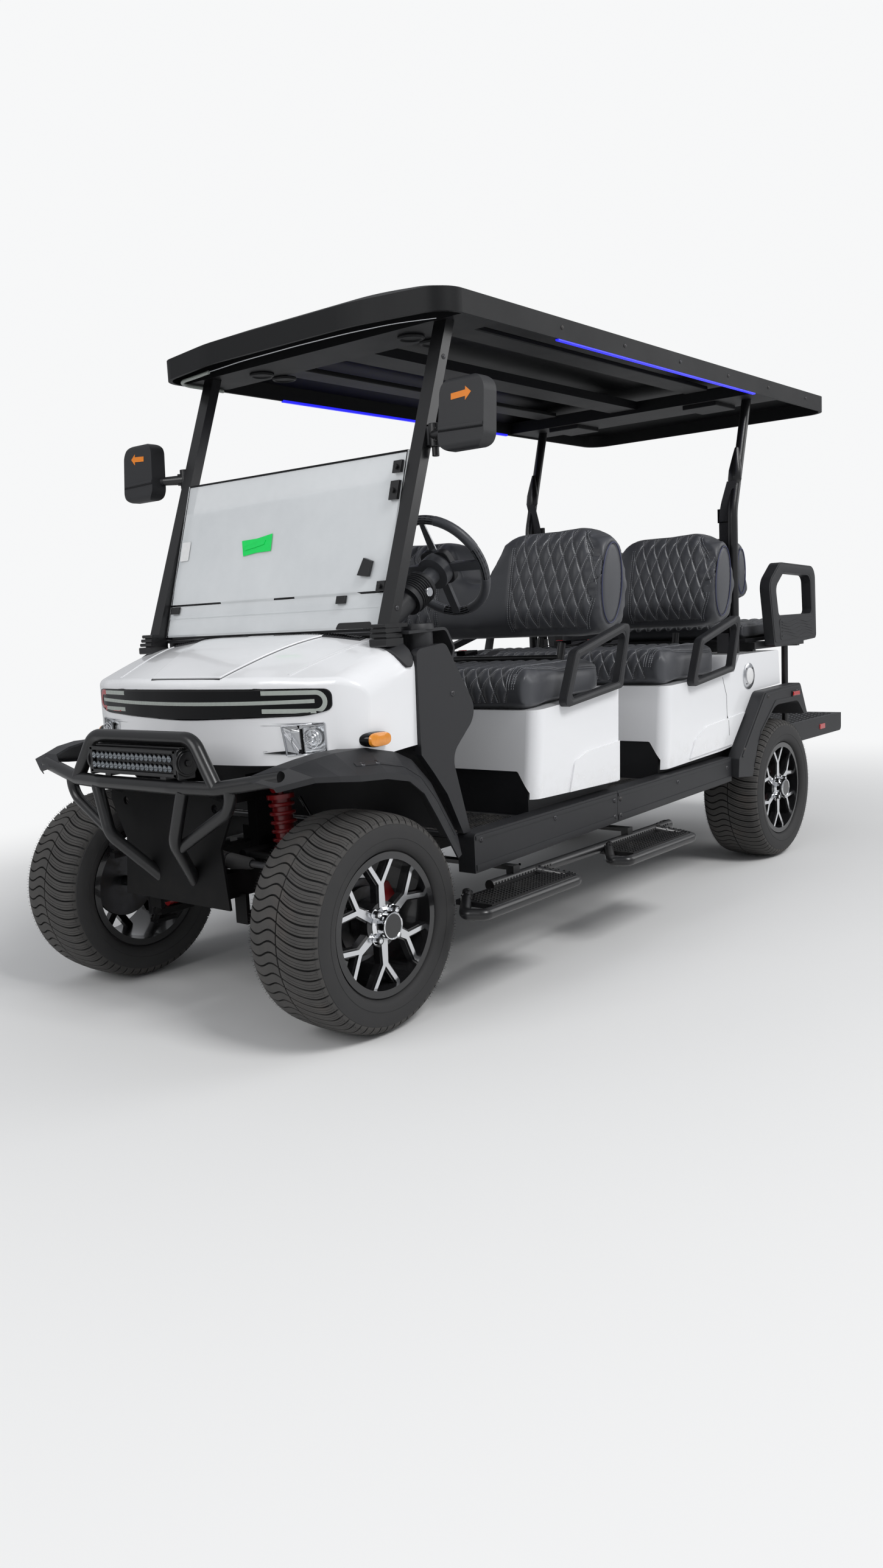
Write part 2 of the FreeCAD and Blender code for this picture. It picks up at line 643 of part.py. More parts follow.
def cowl_trims():
    """Dark side trims between the nose and the front foot well, with the inner side walls."""
    outline = [(behind(214), 988, 20), (behind(338), 1002, 30), (behind(470), 800, 60),
               (behind(345), 690, 60),
               (behind(412), 462, 0), (behind(380), 462, 0), (behind(316), 585, 0), (behind(262), 652, 0),
               (behind(214), 706, 0)]
    plate = slab_xz(outline, size("body_half") - 30, size("body_half") - 8)
    node(feature("cowl_trims", Part.makeCompound(both(plate))))


def steering_turn():
    """Turn that sets a piece modelled along +Z onto the steering column's axis."""
    return Rotation(Vector(0, 1, 0), -(90 - size("column_tilt")))


def steering_centre():
    return Vector(behind(size("steer_x")), size("steer_y"), size("steer_z"))


def column_shape(radius):
    axis = steering_turn().multVec(Vector(0, 0, 1))
    start = steering_centre() - axis * (100 + size("seat_gap"))
    return Part.makeCylinder(radius, 310, start - axis * 310, axis)


def dashboard():
    sheet_line = [(behind(213.4), 1034, 0), (behind(372), 1040, 24), (behind(405), 985, 20),
                  (behind(372), 890, 40),
                  (behind(330), 780, 60), (behind(312), 690, 40), (behind(406), 467, 0)]
    panel = slab_xz(strip(sheet_line, 8), -549.7, 549.7)
    fill = []
    bores = []
    for s in (-1, 1):
        x, y = behind(size("cup_x")), s * size("cup_y")
        top = size("cup_rim")
        outer = size("cup_radius") + size("cup_wall")
        fill.append(rod((x, y, top - size("cup_depth") - size("cup_wall")), (x, y, top), outer))
        bores.append(rod((x, y, top - size("cup_depth")), (x, y, top + 20), size("cup_radius")))
    shape = joined([panel, *fill])
    bores.append(column_shape(34 + size("seat_gap")))
    for bore in bores:
        shape = shape.cut(bore)
    node(feature("dashboard", shape))


def rockers():
    low, high, rise = size("sill_low"), size("sill_high"), size("sill_rise")
    start, joint, end = size("sill_front"), size("sill_joint"), size("sill_rear")
    half_gap = size("sill_joint_gap") / 2
    front = [(behind(start), low, 0), (behind(start), high, 12),
             (behind(joint - half_gap), high + rise / 2, 0),
             (behind(joint - half_gap), low + rise, 0)]
    rear = [(behind(joint + half_gap), low + rise, 0), (behind(joint + half_gap), high + rise / 2, 0),
            (behind(end), high + rise, 12), (behind(end), low + 2 * rise, 0)]
    for label, outline in (("rockers_front", front), ("rockers_rear", rear)):
        left = pad_body(label + "_left_piece", "XZ", outline, "-Sizes.sill_half", "Sizes.sill_depth")
        pair(label, left)


def floor_pan():
    outline = rectangle(behind(2100), -541.7, behind(404), 541.7)
    node(pad_body("floor_pan", "XY", outline, "Sizes.floor_top - Sizes.floor_thick", "Sizes.floor_thick"))


def seat_shell(label, outline, relief):
    """A seat box across the cart: padded, with rounded front corners, a raised relief low on both sides, a
    thin wall, an open underside and a foot recess cut through its front."""
    body = new_body(label)
    for rows, half in ((outline, "Sizes.body_half"), (relief, "(Sizes.body_half + Sizes.relief)")):
        pad = body.newObject("PartDesign::Pad", "pad")
        pad.Profile = add_sketch(body, "XZ", rows, f"-{half}")
        pad.setExpression("Length", f"2 * {half}")
        doc.recompute()
    front = max(x for x, _, _ in outline)
    upright = [f"Edge{i}" for i, e in enumerate(body.Shape.Edges, start=1)
               if e.BoundBox.XMin > front - 2 * size("box_lean") and e.BoundBox.ZLength > 100]
    corners = body.newObject("PartDesign::Fillet", "corners")
    corners.Base = (pad, upright)
    corners.setExpression("Radius", "Sizes.box_corner")
    doc.recompute()
    under = [f"Face{i}" for i, f in enumerate(body.Shape.Faces, start=1)
             if f.normalAt(0, 0).z < -0.3 and f.BoundBox.YLength > size("body_half")]
    shell = body.newObject("PartDesign::Thickness", "wall")
    shell.Base = (corners, under)
    shell.setExpression("Value", "Sizes.wall")
    shell.Reversed = True
    shell.Join = 1
    doc.recompute()
    half, top = size("kick_half"), size("kick_top")
    low = size("floor_top") - 40
    recess = [(-half - 45, low, 0), (half + 45, low, 0), (half + 45, top - 65, 0), (half, top, 12),
              (-half, top, 12), (-half - 45, top - 65, 0)]
    foot = body.newObject("PartDesign::Pocket", "foot_recess")
    foot.Profile = add_sketch(body, "YZ", recess, str(front - 60))
    foot.Length = 80
    foot.Reversed = True
    doc.recompute()
    return body


def seat_boxes():
    low, top, lean = size("box_low"), size("box_top"), size("box_lean")
    front = size("row_front")
    rear = front + size("box_length")
    high = top + size("box_rise")
    outline = [(behind(front), low, 0), (behind(front + lean), top, 0), (behind(rear + 17), high, 0),
               (behind(rear), low - 10, 0)]
    relief = [(behind(front + 196), low - 3, 0), (behind(front + 230), low + 91, 25),
              (behind(front + 308), low + 115, 60),
              (behind(rear + 7), low + 127, 0), (behind(rear), low - 6, 0)]
    node(seat_shell("seat_box_front", outline, relief))
    back = ROW_2 - 20
    end, deck = size("rear_body_end"), size("rear_body_top")
    outline = [(behind(back), low - 16, 0), (behind(back + lean + 4), top + 12, 0),
               (behind(back + 580), top + 27.5, 0),
               (behind(back + 632), deck, 20), (behind(end - 17), deck, 12), (behind(end - 3), 727, 0),
               (behind(2300), 714, 30), (behind(2118), low + 9, 0), (behind(back + 460), low - 1, 0)]
    relief = [(behind(back + 192), low + 2, 0), (behind(back + 234), low + 64, 25),
              (behind(back + 328), low + 108, 60),
              (behind(back + 666), low + 132, 0), (behind(back + 548), low + 16, 0)]
    node(seat_shell("rear_body", outline, relief))
    # dark kick plates inside the seat boxes, behind their foot recesses
    kicks = []
    inner_half = size("sill_half") - size("sill_depth") - 2 * size("seat_gap")
    floor = size("floor_top") + size("seat_gap")
    for start, stop in ((front + 24, rear - 8.4), (back + 24, 2090)):
        outer = block((behind(stop), -inner_half, floor), (behind(start), inner_half, 530))
        inside = block((behind(stop - 10), -inner_half + 10, 440),
                       (behind(start + 10), inner_half - 10, 540))
        face = block((behind(start + 10), -inner_half, floor),
                     (behind(start), inner_half, size("kick_top") + 8))
        kicks.append(joined([outer.cut(inside), face]))
    node(feature("kick_plates", Part.makeCompound(kicks)))


def rear_flares():
    outline = [(behind(2044), 398, 0), (behind(2052), 470, 10), (behind(2290), 714, 50),
               (behind(2655), 724, 30),
               (behind(2728), 592, 0), (behind(2700), 585, 10), (behind(2630), 650, 60),
               (behind(2400), 650, 120),
               (behind(2240), 540, 120), (behind(2172), 385, 0)]
    plate = slab_xz(outline, size("body_half") + 0.3, size("flare_half"))
    arch = strip([(behind(2169), 385, 0), (behind(2237), 540, 120), (behind(2398), 654, 120),
                  (behind(2632), 654, 60),
                  (behind(2705), 588, 0)], 6)
    liner = slab_xz(arch, 400, size("body_half") + 10)
    left = joined([plate, liner])
    node(feature("rear_flares", Part.makeCompound(both(left))))


# seats
def cushion(front_d, z_front, z_rear):
    """Bench cushion: rolled over its front edge, with rounded ends, on the sloped top of its seat box."""
    half = size("body_half") - size("cushion_inset")
    top = z_front + size("cushion_thick")
    rear = front_d + size("cushion_length")
    gap = size("seat_gap")
    outline = [(behind(front_d), z_front + gap, 26), (behind(front_d - 8), top, 62),
               (behind(rear), top + 6, 34),
               (behind(rear), z_rear + gap, 8)]
    plan = slab_xy(rectangle(behind(rear + 5), -half, behind(front_d - 22), half, 70), z_front - 40,
                   z_rear + 200)
    ends = slab_yz([(-half, z_front - 40, 0), (half, z_front - 40, 0), (half, top + 8, 60),
                    (-half, top + 8, 60)],
                   behind(rear + 10), behind(front_d - 30))
    return slab_xz(outline, -half, half).common(plan).common(ends)


def back_shape(offset):
    """Two-lobed seat back; offset is how far its foot lies behind the front axle."""
    low, high, valley = size("back_low"), size("back_high"), size("back_valley")
    half = size("body_half") - size("back_inset")
    lobes = [(-half + 30, low, 90), (half - 30, low, 90), (half, low + 190, 190), (half - 60, high, 130),
             (130, high, 130), (40, valley, 50), (-40, valley, 50), (-130, high, 130),
             (60 - half, high, 130),
             (-half, low + 190, 190)]
    front = slab_yz(lobes, behind(offset + 300), behind(offset - 40))
    thick, lean = size("back_thick"), size("back_lean")
    side = [(behind(offset), low, 46), (behind(offset - 14), low + 110, 200),
            (behind(offset + lean), high + 4, 56),
            (behind(offset + thick + lean), high - 20, 76), (behind(offset + thick), low, 60)]
    return front.common(slab_xz(side, -half - 10, half + 10))


# the flip seat turns about this line along Y
FLIP_X = behind(size("rear_seat_end") + 10)
FLIP_Z = size("rear_seat_low") - 7.3


def seats():
    front = size("row_front")
    node(feature("front_seat_cushion", cushion(front + 10, 774.6, 804.9)))
    node(feature("mid_seat_cushion", cushion(ROW_2 + 22, 788.2, 802.2)))
    offset = front + size("back_offset")
    node(feature("front_seat_back", back_shape(offset)))
    node(feature("mid_seat_back", back_shape(offset + size("row_pitch"))))
    # rear-facing backrest and flip cushion
    low, high, half = size("rear_back_low"), size("rear_back_high"), size("rear_back_half")
    lobes = [(-half, low, 50), (half, low, 50), (half - 20, high, 80), (60, high, 60), (40, high - 60, 30),
             (-40, high - 60, 30), (-60, high, 60), (20 - half, high, 80)]
    back = slab_yz(lobes, behind(2440), behind(2327.4))
    node(feature("rear_seat_back", back))
    end = size("rear_seat_end")
    low = size("rear_seat_low")
    half_seat = size("rear_seat_half")
    rows = [(behind(2462), low, 20), (behind(end), low, 20), (behind(end), low + 72, 34),
            (behind(2462), low + 62, 24)]
    seat = slab_xz(rows, -half_seat, half_seat)
    node(feature("rear_seat_cushion", seat))
    board = block((FLIP_X - 6, -half_seat, low - 14.3), (behind(2466), half_seat, low - 0.3))
    pins = [rod((FLIP_X, s * (half_seat - 20), FLIP_Z), (FLIP_X, s * (half_seat + 22), FLIP_Z), 6)
            for s in (-1, 1)]
    node(feature("rear_deck", joined([board, *pins])))


def loop_plate(outer, inner, y_low, y_high):
    return slab_xz(outer, y_low, y_high).cut(slab_xz(inner, y_low - 1, y_high + 1))


def armrests():
    loops = []
    for shift in (0, size("row_pitch") + 10):
        outer = [(behind(862 + shift), 772, 20), (behind(940 + shift), 946, 34),
                 (behind(1290 + shift), 1034, 30),
                 (behind(1222 + shift), 812, 20)]
        inner = [(behind(904 + shift), 797, 14), (behind(966 + shift), 926, 16),
                 (behind(1254 + shift), 998, 18),
                 (behind(1196 + shift), 832, 12)]
        side = size("body_half") + size("seat_gap")
        loops.append(loop_plate(outer, inner, side, side + 26))
    node(feature("armrests", Part.makeCompound([p for loop in loops for p in both(loop)])))
    outer = [(behind(2545), 880, 20), (behind(2488), 1150, 60), (behind(2600), 1232, 60),
             (behind(2985), 1215, 60),
             (behind(3000), 900, 20)]
    inner = [(behind(2590), 1010, 20), (behind(2560), 1130, 40), (behind(2640), 1188, 40),
             (behind(2930), 1176, 40),
             (behind(2945), 1010, 20)]
    rear = loop_plate(outer, inner, 524, 566)
    node(feature("rear_armrests", Part.makeCompound(both(rear))))


def seat_frames():
    """Tubes that carry the seat backs and the flip seat."""
    parts = []
    foot = size("row_front") + size("back_offset")
    for base, foot_d, foot_z in ((foot + 60, 1251.6, 700),
                                 (foot + 60 + size("row_pitch"), foot + 879, 803.6)):
        pieces = []
        for s in (-1, 1):
            y = s * 330
            lean = math.atan2(base + 6 - foot_d, size("back_low") - 850)
            top_z = size("back_low") - 2 * size("seat_gap") - 14 * math.sin(lean)
            pieces.append(tube([(behind(foot_d), y, foot_z), (behind(foot_d), y, 850),
                                (behind(base + 6), y, top_z)],
                               14, 80))
        pieces.append(rod((behind((foot_d + base) / 2 + 2), -330, 910),
                          (behind((foot_d + base) / 2 + 2), 330, 910), 12))
        parts.append(joined(pieces))
    node(feature("seat_frames", Part.makeCompound(parts)))
    low = size("rear_seat_low") - 14.3
    half_seat = size("rear_seat_half")
    pieces = []
    for s in (-1, 1):
        y = s * (524 - 14 - size("seat_gap"))
        pieces.append(block((behind(2960), y - 14, low - 30), (behind(2440), y + 14, low - 2)))
        pieces.append(rod((behind(2780), y, low - 20),
                          (behind(2780), y, size("footrest_top") + size("seat_gap")), 14))
        ear = block((FLIP_X - 15, min(s * (half_seat + 8), y), low - 30),
                    (FLIP_X + 15, max(s * (half_seat + 8), y), FLIP_Z + 15))
        pieces.append(ear)
    pieces.append(block((FLIP_X, -510, low - 36), (FLIP_X + 30, 510, low - 12)))
    pieces.append(block((behind(2480), -510, size("rear_body_top") + size("seat_gap")),
                        (behind(2452), 510, low - 0.3)))
    bore = rod((FLIP_X, -half_seat - 24, FLIP_Z), (FLIP_X, half_seat + 24, FLIP_Z), 6 + size("running_gap"))
    node(feature("rear_seat_frame", joined(pieces).cut(bore)))


# roof and pillars
def roof():
    front, rear = size("roof_front"), size("roof_rear")
    half, corner = size("roof_half"), size("roof_corner")

    def plan(inset):
        bow = size("roof_bow")
        return [(behind(rear - inset), -half + inset, corner), (behind(rear - inset), half - inset, corner),
                (behind(front + inset), half - inset, corner),
                (behind(front - bow + inset), half * 0.5, 500),
                (behind(front - bow + inset), -half * 0.5, 500),
                (behind(front + inset), -half + inset, corner)]

    def loft(low_inset, low_z, high_inset, high_z):
        wires = []
        for inset, z in ((low_inset, low_z), (high_inset, high_z)):
            corners = [(Vector(p[0], p[1], z), p[2]) for p in plan(inset)]
            wires.append(Part.Wire([g.toShape() for g in rounded(corners)]))
        return Part.makeLoft(wires, True, True)

    low, edge, crown = size("roof_low"), size("roof_edge_high"), size("roof_crown")
    skin = size("roof_skin")
    outer = joined([slab_xy(plan(0), low, edge), loft(0, edge, 120, edge + crown)])
    inner = joined([slab_xy(plan(skin), low - 1, edge - skin),
                    loft(skin, edge - skin, 120, edge + crown - skin)])
    shell = outer.cut(inner)
    node(feature("roof", shell))
    # liner pods under the roof that the pillars and posts meet
    pods = []
    for d_low, d_high in ((470, 640), (2330, 2560)):
        reach = half - skin - size("seat_gap")
        pods.append(block((behind(d_high), -reach, low + 6), (behind(d_low), reach, edge - skin - 0.3)))
    pods.append(block((behind(2330), -60, low + 20), (behind(640), 60, edge - skin - 0.3)))
    node(feature("roof_liner", joined(pods)))


def pillars():
    half_width, half_depth = size("pillar_width") / 2, size("pillar_depth") / 2
    y = size("pillar_half")
    top_z = size("roof_low") + 6 - size("seat_gap")
    slope = (size("pillar_top_x") - size("pillar_base_x")) / (1847 - size("pillar_base_z"))
    top_d = size("pillar_base_x") + slope * (top_z - size("pillar_base_z"))
    outline = [(behind(size("pillar_base_x") - half_depth), size("pillar_base_z"), 0),
               (behind(size("pillar_base_x") + half_depth), size("pillar_base_z"), 0),
               (behind(top_d + half_depth), top_z, 0), (behind(top_d - half_depth), top_z, 0)]
    post = slab_xz(outline, y - half_width, y + half_width)
    ribs = []
    for step in range(4):
        top = 1060 - 13 * step
        bottom = top - 10.5 if step < 3 else 1000
        grow = 3 * step
        ribs.append(slab_xz([(behind(152 - grow), bottom, 4), (behind(152 - grow), top, 4),
                             (behind(244 + grow), top, 4),
                             (behind(244 + grow), bottom, 4)], y - half_width, y + 29 + grow))
    core = slab_xz([(behind(160), 1000, 0), (behind(160), 1056, 0), (behind(240), 1056, 0),
                    (behind(240), 1000, 0)],
                   y - half_width + 1, y + 25)
    boot = joined([*ribs, core])
    boot = boot.cut(cowl_solid(0)).cut(block((behind(300), 0, 900), (behind(212.3), 600, 1050)))
    left = max(boot.Solids, key=lambda shape: shape.Volume)
    left = joined([post, left])
    node(feature("pillars", Part.makeCompound(both(left))))
    # rear posts with their braces
    foot_z = size("rear_body_top") + size("seat_gap")
    base_x, head_x = size("post_base_x"), size("post_top_x")
    posts = []
    for s in (-1, 1):
        y = s * size("post_half")
        post = tube([(behind(base_x), y, foot_z), (behind(base_x), y, 1440),
                     (behind(head_x), y, top_z + 40)],
                    size("tube_radius"), 200)
        posts.append(post.cut(block((behind(2560), -600, top_z), (behind(2300), 600, top_z + 90))))
    cross = [rod((behind(base_x), -size("post_half"), 1200), (behind(base_x), size("post_half"), 1200), 12)]
    node(feature("roof_posts", joined([*posts, *cross])))


def windscreen():
    slope = (352 - 212) / (1526 - 1046)
    upper = [(behind(214 + 100 * slope), 1148, 0), (behind(214 + 480 * slope), 1526, 0),
             (behind(208 + 480 * slope), 1528, 0), (behind(208 + 100 * slope), 1150, 0)]
    lower = [(behind(214), 1046, 0), (behind(214 + 98 * slope), 1144, 0),
             (behind(208 + 98 * slope), 1146, 0),
             (behind(208), 1048, 0)]
    half = size("pillar_half") - size("pillar_width") / 2 - size("seat_gap")
    upper = slab_xz(upper, -half, half)
    lower = slab_xz(lower, -half, half)
    node(feature("windscreen", Part.makeCompound([upper, lower])))


def mirrors():
    items = []
    head = slab_xz([(behind(302), 1500, 16), (behind(318), 1686, 18), (behind(372), 1686, 18),
                    (behind(358), 1500, 16)],
                   604, 757)
    plan = slab_yz([(604, 1498, 40), (757, 1498, 40), (757, 1686, 46), (612, 1686, 40)], behind(380),
                   behind(290))
    head = head.common(plan)
    arm = rod((behind(388), 526, 1560), (behind(345), 625, 1560), 13)
    side = size("pillar_half") + size("pillar_width") / 2 + size("seat_gap")
    clamp = block((behind(404), side, 1535), (behind(372), side + 20, 1585))
    node(feature("mirrors", Part.makeCompound(both(joined([head, arm, clamp])))))


# front bumper
def bar_path():
    """The bumper's cross bar, from its right end to its left."""
    x = behind(-size("front_overhang")) - size("tube_radius") - 26
    z = size("bar_height")
    left = [(x + 26, 150, z), (x + 6, 300, z), (behind(-236), 505, z + 32)]
    return [(x, -y, z) for x, y, z in left[::-1]] + left


def bumper():
    r = size("tube_radius")
    bar_z, hoop_z = size("bar_height"), size("hoop_height")
    x = behind(-size("front_overhang")) - r - 26
    bar = tube(bar_path(), r, 120)
    hoop = tube([(x + 6, -300, bar_z), (x, -215, hoop_z), (x, 215, hoop_z), (x + 6, 300, bar_z)], r, 60)
    pieces = [bar, hoop]
    for s in (-1, 1):
        pieces.append(tube([(x + 22, s * 186, bar_z - 10), (x + 26, s * 140, 520),
                            (behind(-180), s * 75, 387)], r * 0.9, 70))
        pieces.append(tube([(x, s * 340, bar_z + 4), (x - 5, s * 345, 620), (x + 4, s * 130, 500)], r * 0.84,
                           60))
        pieces.append(rod((x + 4, s * 215, bar_z), (behind(-180), s * 215, 630), 14))
    plate_front = FRONT_AXLE + 194 + size("seat_gap")
    keep = block((plate_front, -700, 300), (plate_front + 300, 700, 900))
    bar_ends = bar.common(block((plate_front - 60, -700, 660), (plate_front, 700, 760)))
    guard = joined(pieces).common(keep)
    node(feature("front_bumper", joined([guard, bar_ends])))
    housing = slab_xz(rectangle(x - 18, bar_z + r + 8, x + 22, bar_z + r + 80, 8), -190, 190)
    feet = [block((x - 10, s * 120 - 12, bar_z + r + size("seat_gap")),
                  (x + 30, s * 120 + 12, bar_z + r + 10))
            for s in (-1, 1)]
    node(feature("light_bar", joined([housing, *feet])))


# small pieces
def rear_end():
    top = size("footrest_top")
    f = size("footrest_front")
    end = OVERALL_LENGTH - size("front_overhang")
    half = size("footrest_half")
    plate = block((behind(end), -half, top - 6), (behind(f), half, top))
    fascia = [slab_xz([(behind(end), 446, 20), (behind(end), top, 10), (behind(f), top, 0),
                       (behind(f + 20), 446, 0)],
                      min(s * (half - 20), s * half), max(s * (half - 20), s * half)) for s in (-1, 1)]
    lip = block((behind(end), -half, 470), (behind(end - 14), half, top))
    beams = [block((behind(end - 20), s * 250 - 20, 470), (behind(2590), s * 250 + 20, top - 6))
             for s in (-1, 1)]
    rail_top = size("rail_low") + size("rail_height") + size("seat_gap")
    feet = [block((behind(2624), s * 250 - 20, rail_top), (behind(2590), s * 250 + 20, 475))
            for s in (-1, 1)]
    node(feature("rear_footrest", joined([plate, *fascia, lip, *beams, *feet])))


def side_steps():
    z = size("step_height")
    out = size("step_out")
    frames = []
    for start, end in ((200, 700), (950, 1430)):
        path = tube([(behind(start) - 115, out - 130, z + 24), (behind(start), out - 50, z),
                     (behind(start) - 24, out, z),
                     (behind(end) + 24, out, z), (behind(end), out - 50, z),
                     (behind(end) + 60, out - 130, z + 24)], 16, 20)
        pad = block((behind(end) + 40, out - 128, z + 4), (behind(start) - 62, out - 4, z + 18))
        frames.append(path)
        frames.append(pad)
    rail = rod((behind(1480), out - 130, z + 24), (behind(420), out - 130, z + 24), 16)
    stays = []
    for d in (540, 1195):
        top = size("rail_low") - size("seat_gap")
        stays.append(block((behind(d) - 16, 230, top - 12), (behind(d) + 16, out - 120, top)))
        stays.append(block((behind(d) - 16, out - 146, z + 20), (behind(d) + 16, out - 120, top)))
    left = joined([*frames, rail, *stays])
    node(feature("side_steps", Part.makeCompound(both(left))))


def controls():
    radius = size("wheel_radius") - size("wheel_grip")
    centre = steering_centre()
    ring = Part.makeTorus(radius, size("wheel_grip"))
    hub = Part.makeCylinder(52, 40, Vector(0, 0, -46))
    spokes = [block((-radius, -14, -14), (-30, 14, -2)), block((-14, 30, -14), (14, radius, -2)),
              block((-14, -radius, -14), (14, -30, -2))]
    collar = Part.makeCylinder(26, 60, Vector(0, 0, -100))
    wheel = joined([ring, hub, *spokes, collar])
    turn = steering_turn()
    wheel.Placement = Placement(centre, turn)
    node(feature("steering_wheel", wheel))
    axis = turn.multVec(Vector(0, 0, 1))
    start = centre - axis * (100 + size("seat_gap"))
    column = column_shape(34)
    shroud = Part.makeCylinder(48, 90, start - axis * 96, axis)
    stalk = rod(tuple(start - axis * 40), tuple(start - axis * 40 + Vector(0, -170, -20)), 9)
    node(feature("steering_column", joined([column, shroud, stalk])))
    return centre, axis


def interior():
    pedals = []
    for y, width, z in ((210, 60, 560), (350, 90, 560)):
        plate = slab_xz(strip([(behind(452), z - 60, 0), (behind(432), z + 50, 0)], 8), y - width / 2,
                        y + width / 2)
        stem = rod((behind(440), y, z), (behind(370.2), y, z + 12), 7)
        pedals.append(joined([plate, stem]))
    node(feature("pedals", Part.makeCompound(pedals)))
    belts = []
    for s in (-1, 1):
        side = size("post_half") - size("tube_radius") - size("seat_gap")
        strap = block((behind(2324), min(s * (side - 47), s * side), 900),
                      (behind(2320.6), max(s * (side - 47), s * side), 1420))
        reel_low = size("rear_body_top") + size("seat_gap")
        reel = block((behind(2324), min(s * (side - 50), s * side), reel_low),
                     (behind(2292), max(s * (side - 50), s * side), 950))
        belts.append(joined([strap, reel]))
    node(feature("seat_belts", Part.makeCompound(belts)))
    markers = []
    for s in (-1, 1):
        markers.append(block((behind(78), min(s * 540, s * 574), 756),
                             (behind(8), max(s * 540, s * 574), 780)).cut(cowl_solid(0)))
    node(feature("side_markers", Part.makeCompound(markers)))
    lamps = []
    for s in (-1, 1):
        outline = [(behind(2550.6), 846, 0), (behind(2559.9), 752, 0), (behind(2578), 752, 0),
                   (behind(2572), 846, 0)]
        lamps.append(slab_xz(outline, min(s * 500, s * 570), max(s * 500, s * 570)))
    node(feature("tail_lamps", Part.makeCompound(lamps)))
    battery = doc.addObject("Part::Box", "battery")
    battery.Label = "battery"
    battery.setExpression("Length", "Sizes.battery_width")
    battery.setExpression("Width", "Sizes.battery_length")
    battery.setExpression("Height", "Sizes.battery_height")
    battery.Placement = Placement(Vector(behind(1190), -size("battery_length") / 2, size("floor_top") + 0.3),
                                  Rotation())
    doc.recompute()
    node(battery)


wheels()
steering()
suspension()
rear_axle()
chassis()
nose()
front_flares()
cowl_trims()
dashboard()
rockers()
floor_pan()
seat_boxes()
rear_flares()
seats()
armrests()
seat_frames()
roof()
pillars()
windscreen()
mirrors()
bumper()
rear_end()
side_steps()
controls()
interior()

# check and write
doc.recompute()
os.makedirs("parts", exist_ok=True)
for made in doc.Objects:
    if "Invalid" in made.State or "Error" in made.State:
        raise RuntimeError(f"{made.Label} failed: {made.State}")
for label, made in NODES.items():
    shape = made.Shape
    if shape.isNull() or not shape.isValid() or not shape.Solids:
        raise RuntimeError(f"{label} has no valid solid")
    shape.exportStep(f"parts/{label}.step")
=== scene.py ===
"""Looks of a six-seat golf cart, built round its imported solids.

Metres throughout. +X is forward, +Y is the cart's left, +Z is up and the ground is z = 0.
"""

from __future__ import annotations

import json
import logging
import math
import random
from contextlib import contextmanager
from dataclasses import dataclass, field
from enum import Enum
from typing import Callable, ClassVar, Iterable, Iterator, Sequence

import bmesh
import bpy
import numpy as np
from mathutils import Matrix, Vector
from mathutils.bvhtree import BVHTree
from mathutils.kdtree import KDTree

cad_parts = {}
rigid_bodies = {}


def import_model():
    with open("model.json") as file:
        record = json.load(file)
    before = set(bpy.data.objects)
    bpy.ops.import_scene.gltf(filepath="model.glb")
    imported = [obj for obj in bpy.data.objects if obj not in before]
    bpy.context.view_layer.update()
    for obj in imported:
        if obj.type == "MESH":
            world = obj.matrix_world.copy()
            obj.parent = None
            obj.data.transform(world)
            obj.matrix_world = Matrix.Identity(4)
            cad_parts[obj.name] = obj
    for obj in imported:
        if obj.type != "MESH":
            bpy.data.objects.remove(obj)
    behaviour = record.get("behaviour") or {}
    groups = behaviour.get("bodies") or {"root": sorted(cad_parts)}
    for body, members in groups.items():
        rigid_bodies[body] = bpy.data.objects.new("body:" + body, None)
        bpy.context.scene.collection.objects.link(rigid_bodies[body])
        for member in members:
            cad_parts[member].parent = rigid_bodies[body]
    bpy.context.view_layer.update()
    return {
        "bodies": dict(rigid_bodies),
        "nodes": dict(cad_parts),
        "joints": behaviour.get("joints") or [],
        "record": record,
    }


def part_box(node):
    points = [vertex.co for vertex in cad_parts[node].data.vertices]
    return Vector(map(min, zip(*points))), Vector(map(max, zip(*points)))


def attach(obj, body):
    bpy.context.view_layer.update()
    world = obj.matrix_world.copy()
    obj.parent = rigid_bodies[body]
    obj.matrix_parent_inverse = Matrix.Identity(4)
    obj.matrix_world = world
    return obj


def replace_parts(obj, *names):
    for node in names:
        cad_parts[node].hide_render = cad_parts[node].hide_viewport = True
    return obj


log = logging.getLogger("golf_cart")

Flat = tuple[float, float]
Point = tuple[float, float, float]
Colour = tuple[float, float, float]

FRONT_AXLE = 1.524
REAR_AXLE = -0.976
AXLE_HEIGHT = 0.292
AHEAD: Point = (1.0, 0.0, 0.0)
REARWARD: Point = (-1.0, 0.0, 0.0)
DOWN: Point = (0.0, 0.0, -1.0)
BEVEL_ANGLE = 32.0

FRAME: dict = {}


def behind(distance: float) -> float:
    """X of a place the given distance behind the front axle.

    Args:
        distance: Metres behind the axle line.

    Returns:
        The X coordinate in the cart's frame.
    """
    return FRONT_AXLE - distance


def inward(side: int) -> Point:
    """The direction from one side of the cart to its middle; side is 1 on the left and -1 on the right."""
    return 0.0, -side, 0.0


def circle(steps: int) -> list[Flat]:
    """Cosine and sine of even turns, once round."""
    turns = [2 * math.pi * k / steps for k in range(steps)]
    return [(math.cos(t), math.sin(t)) for t in turns]


# Shader graph


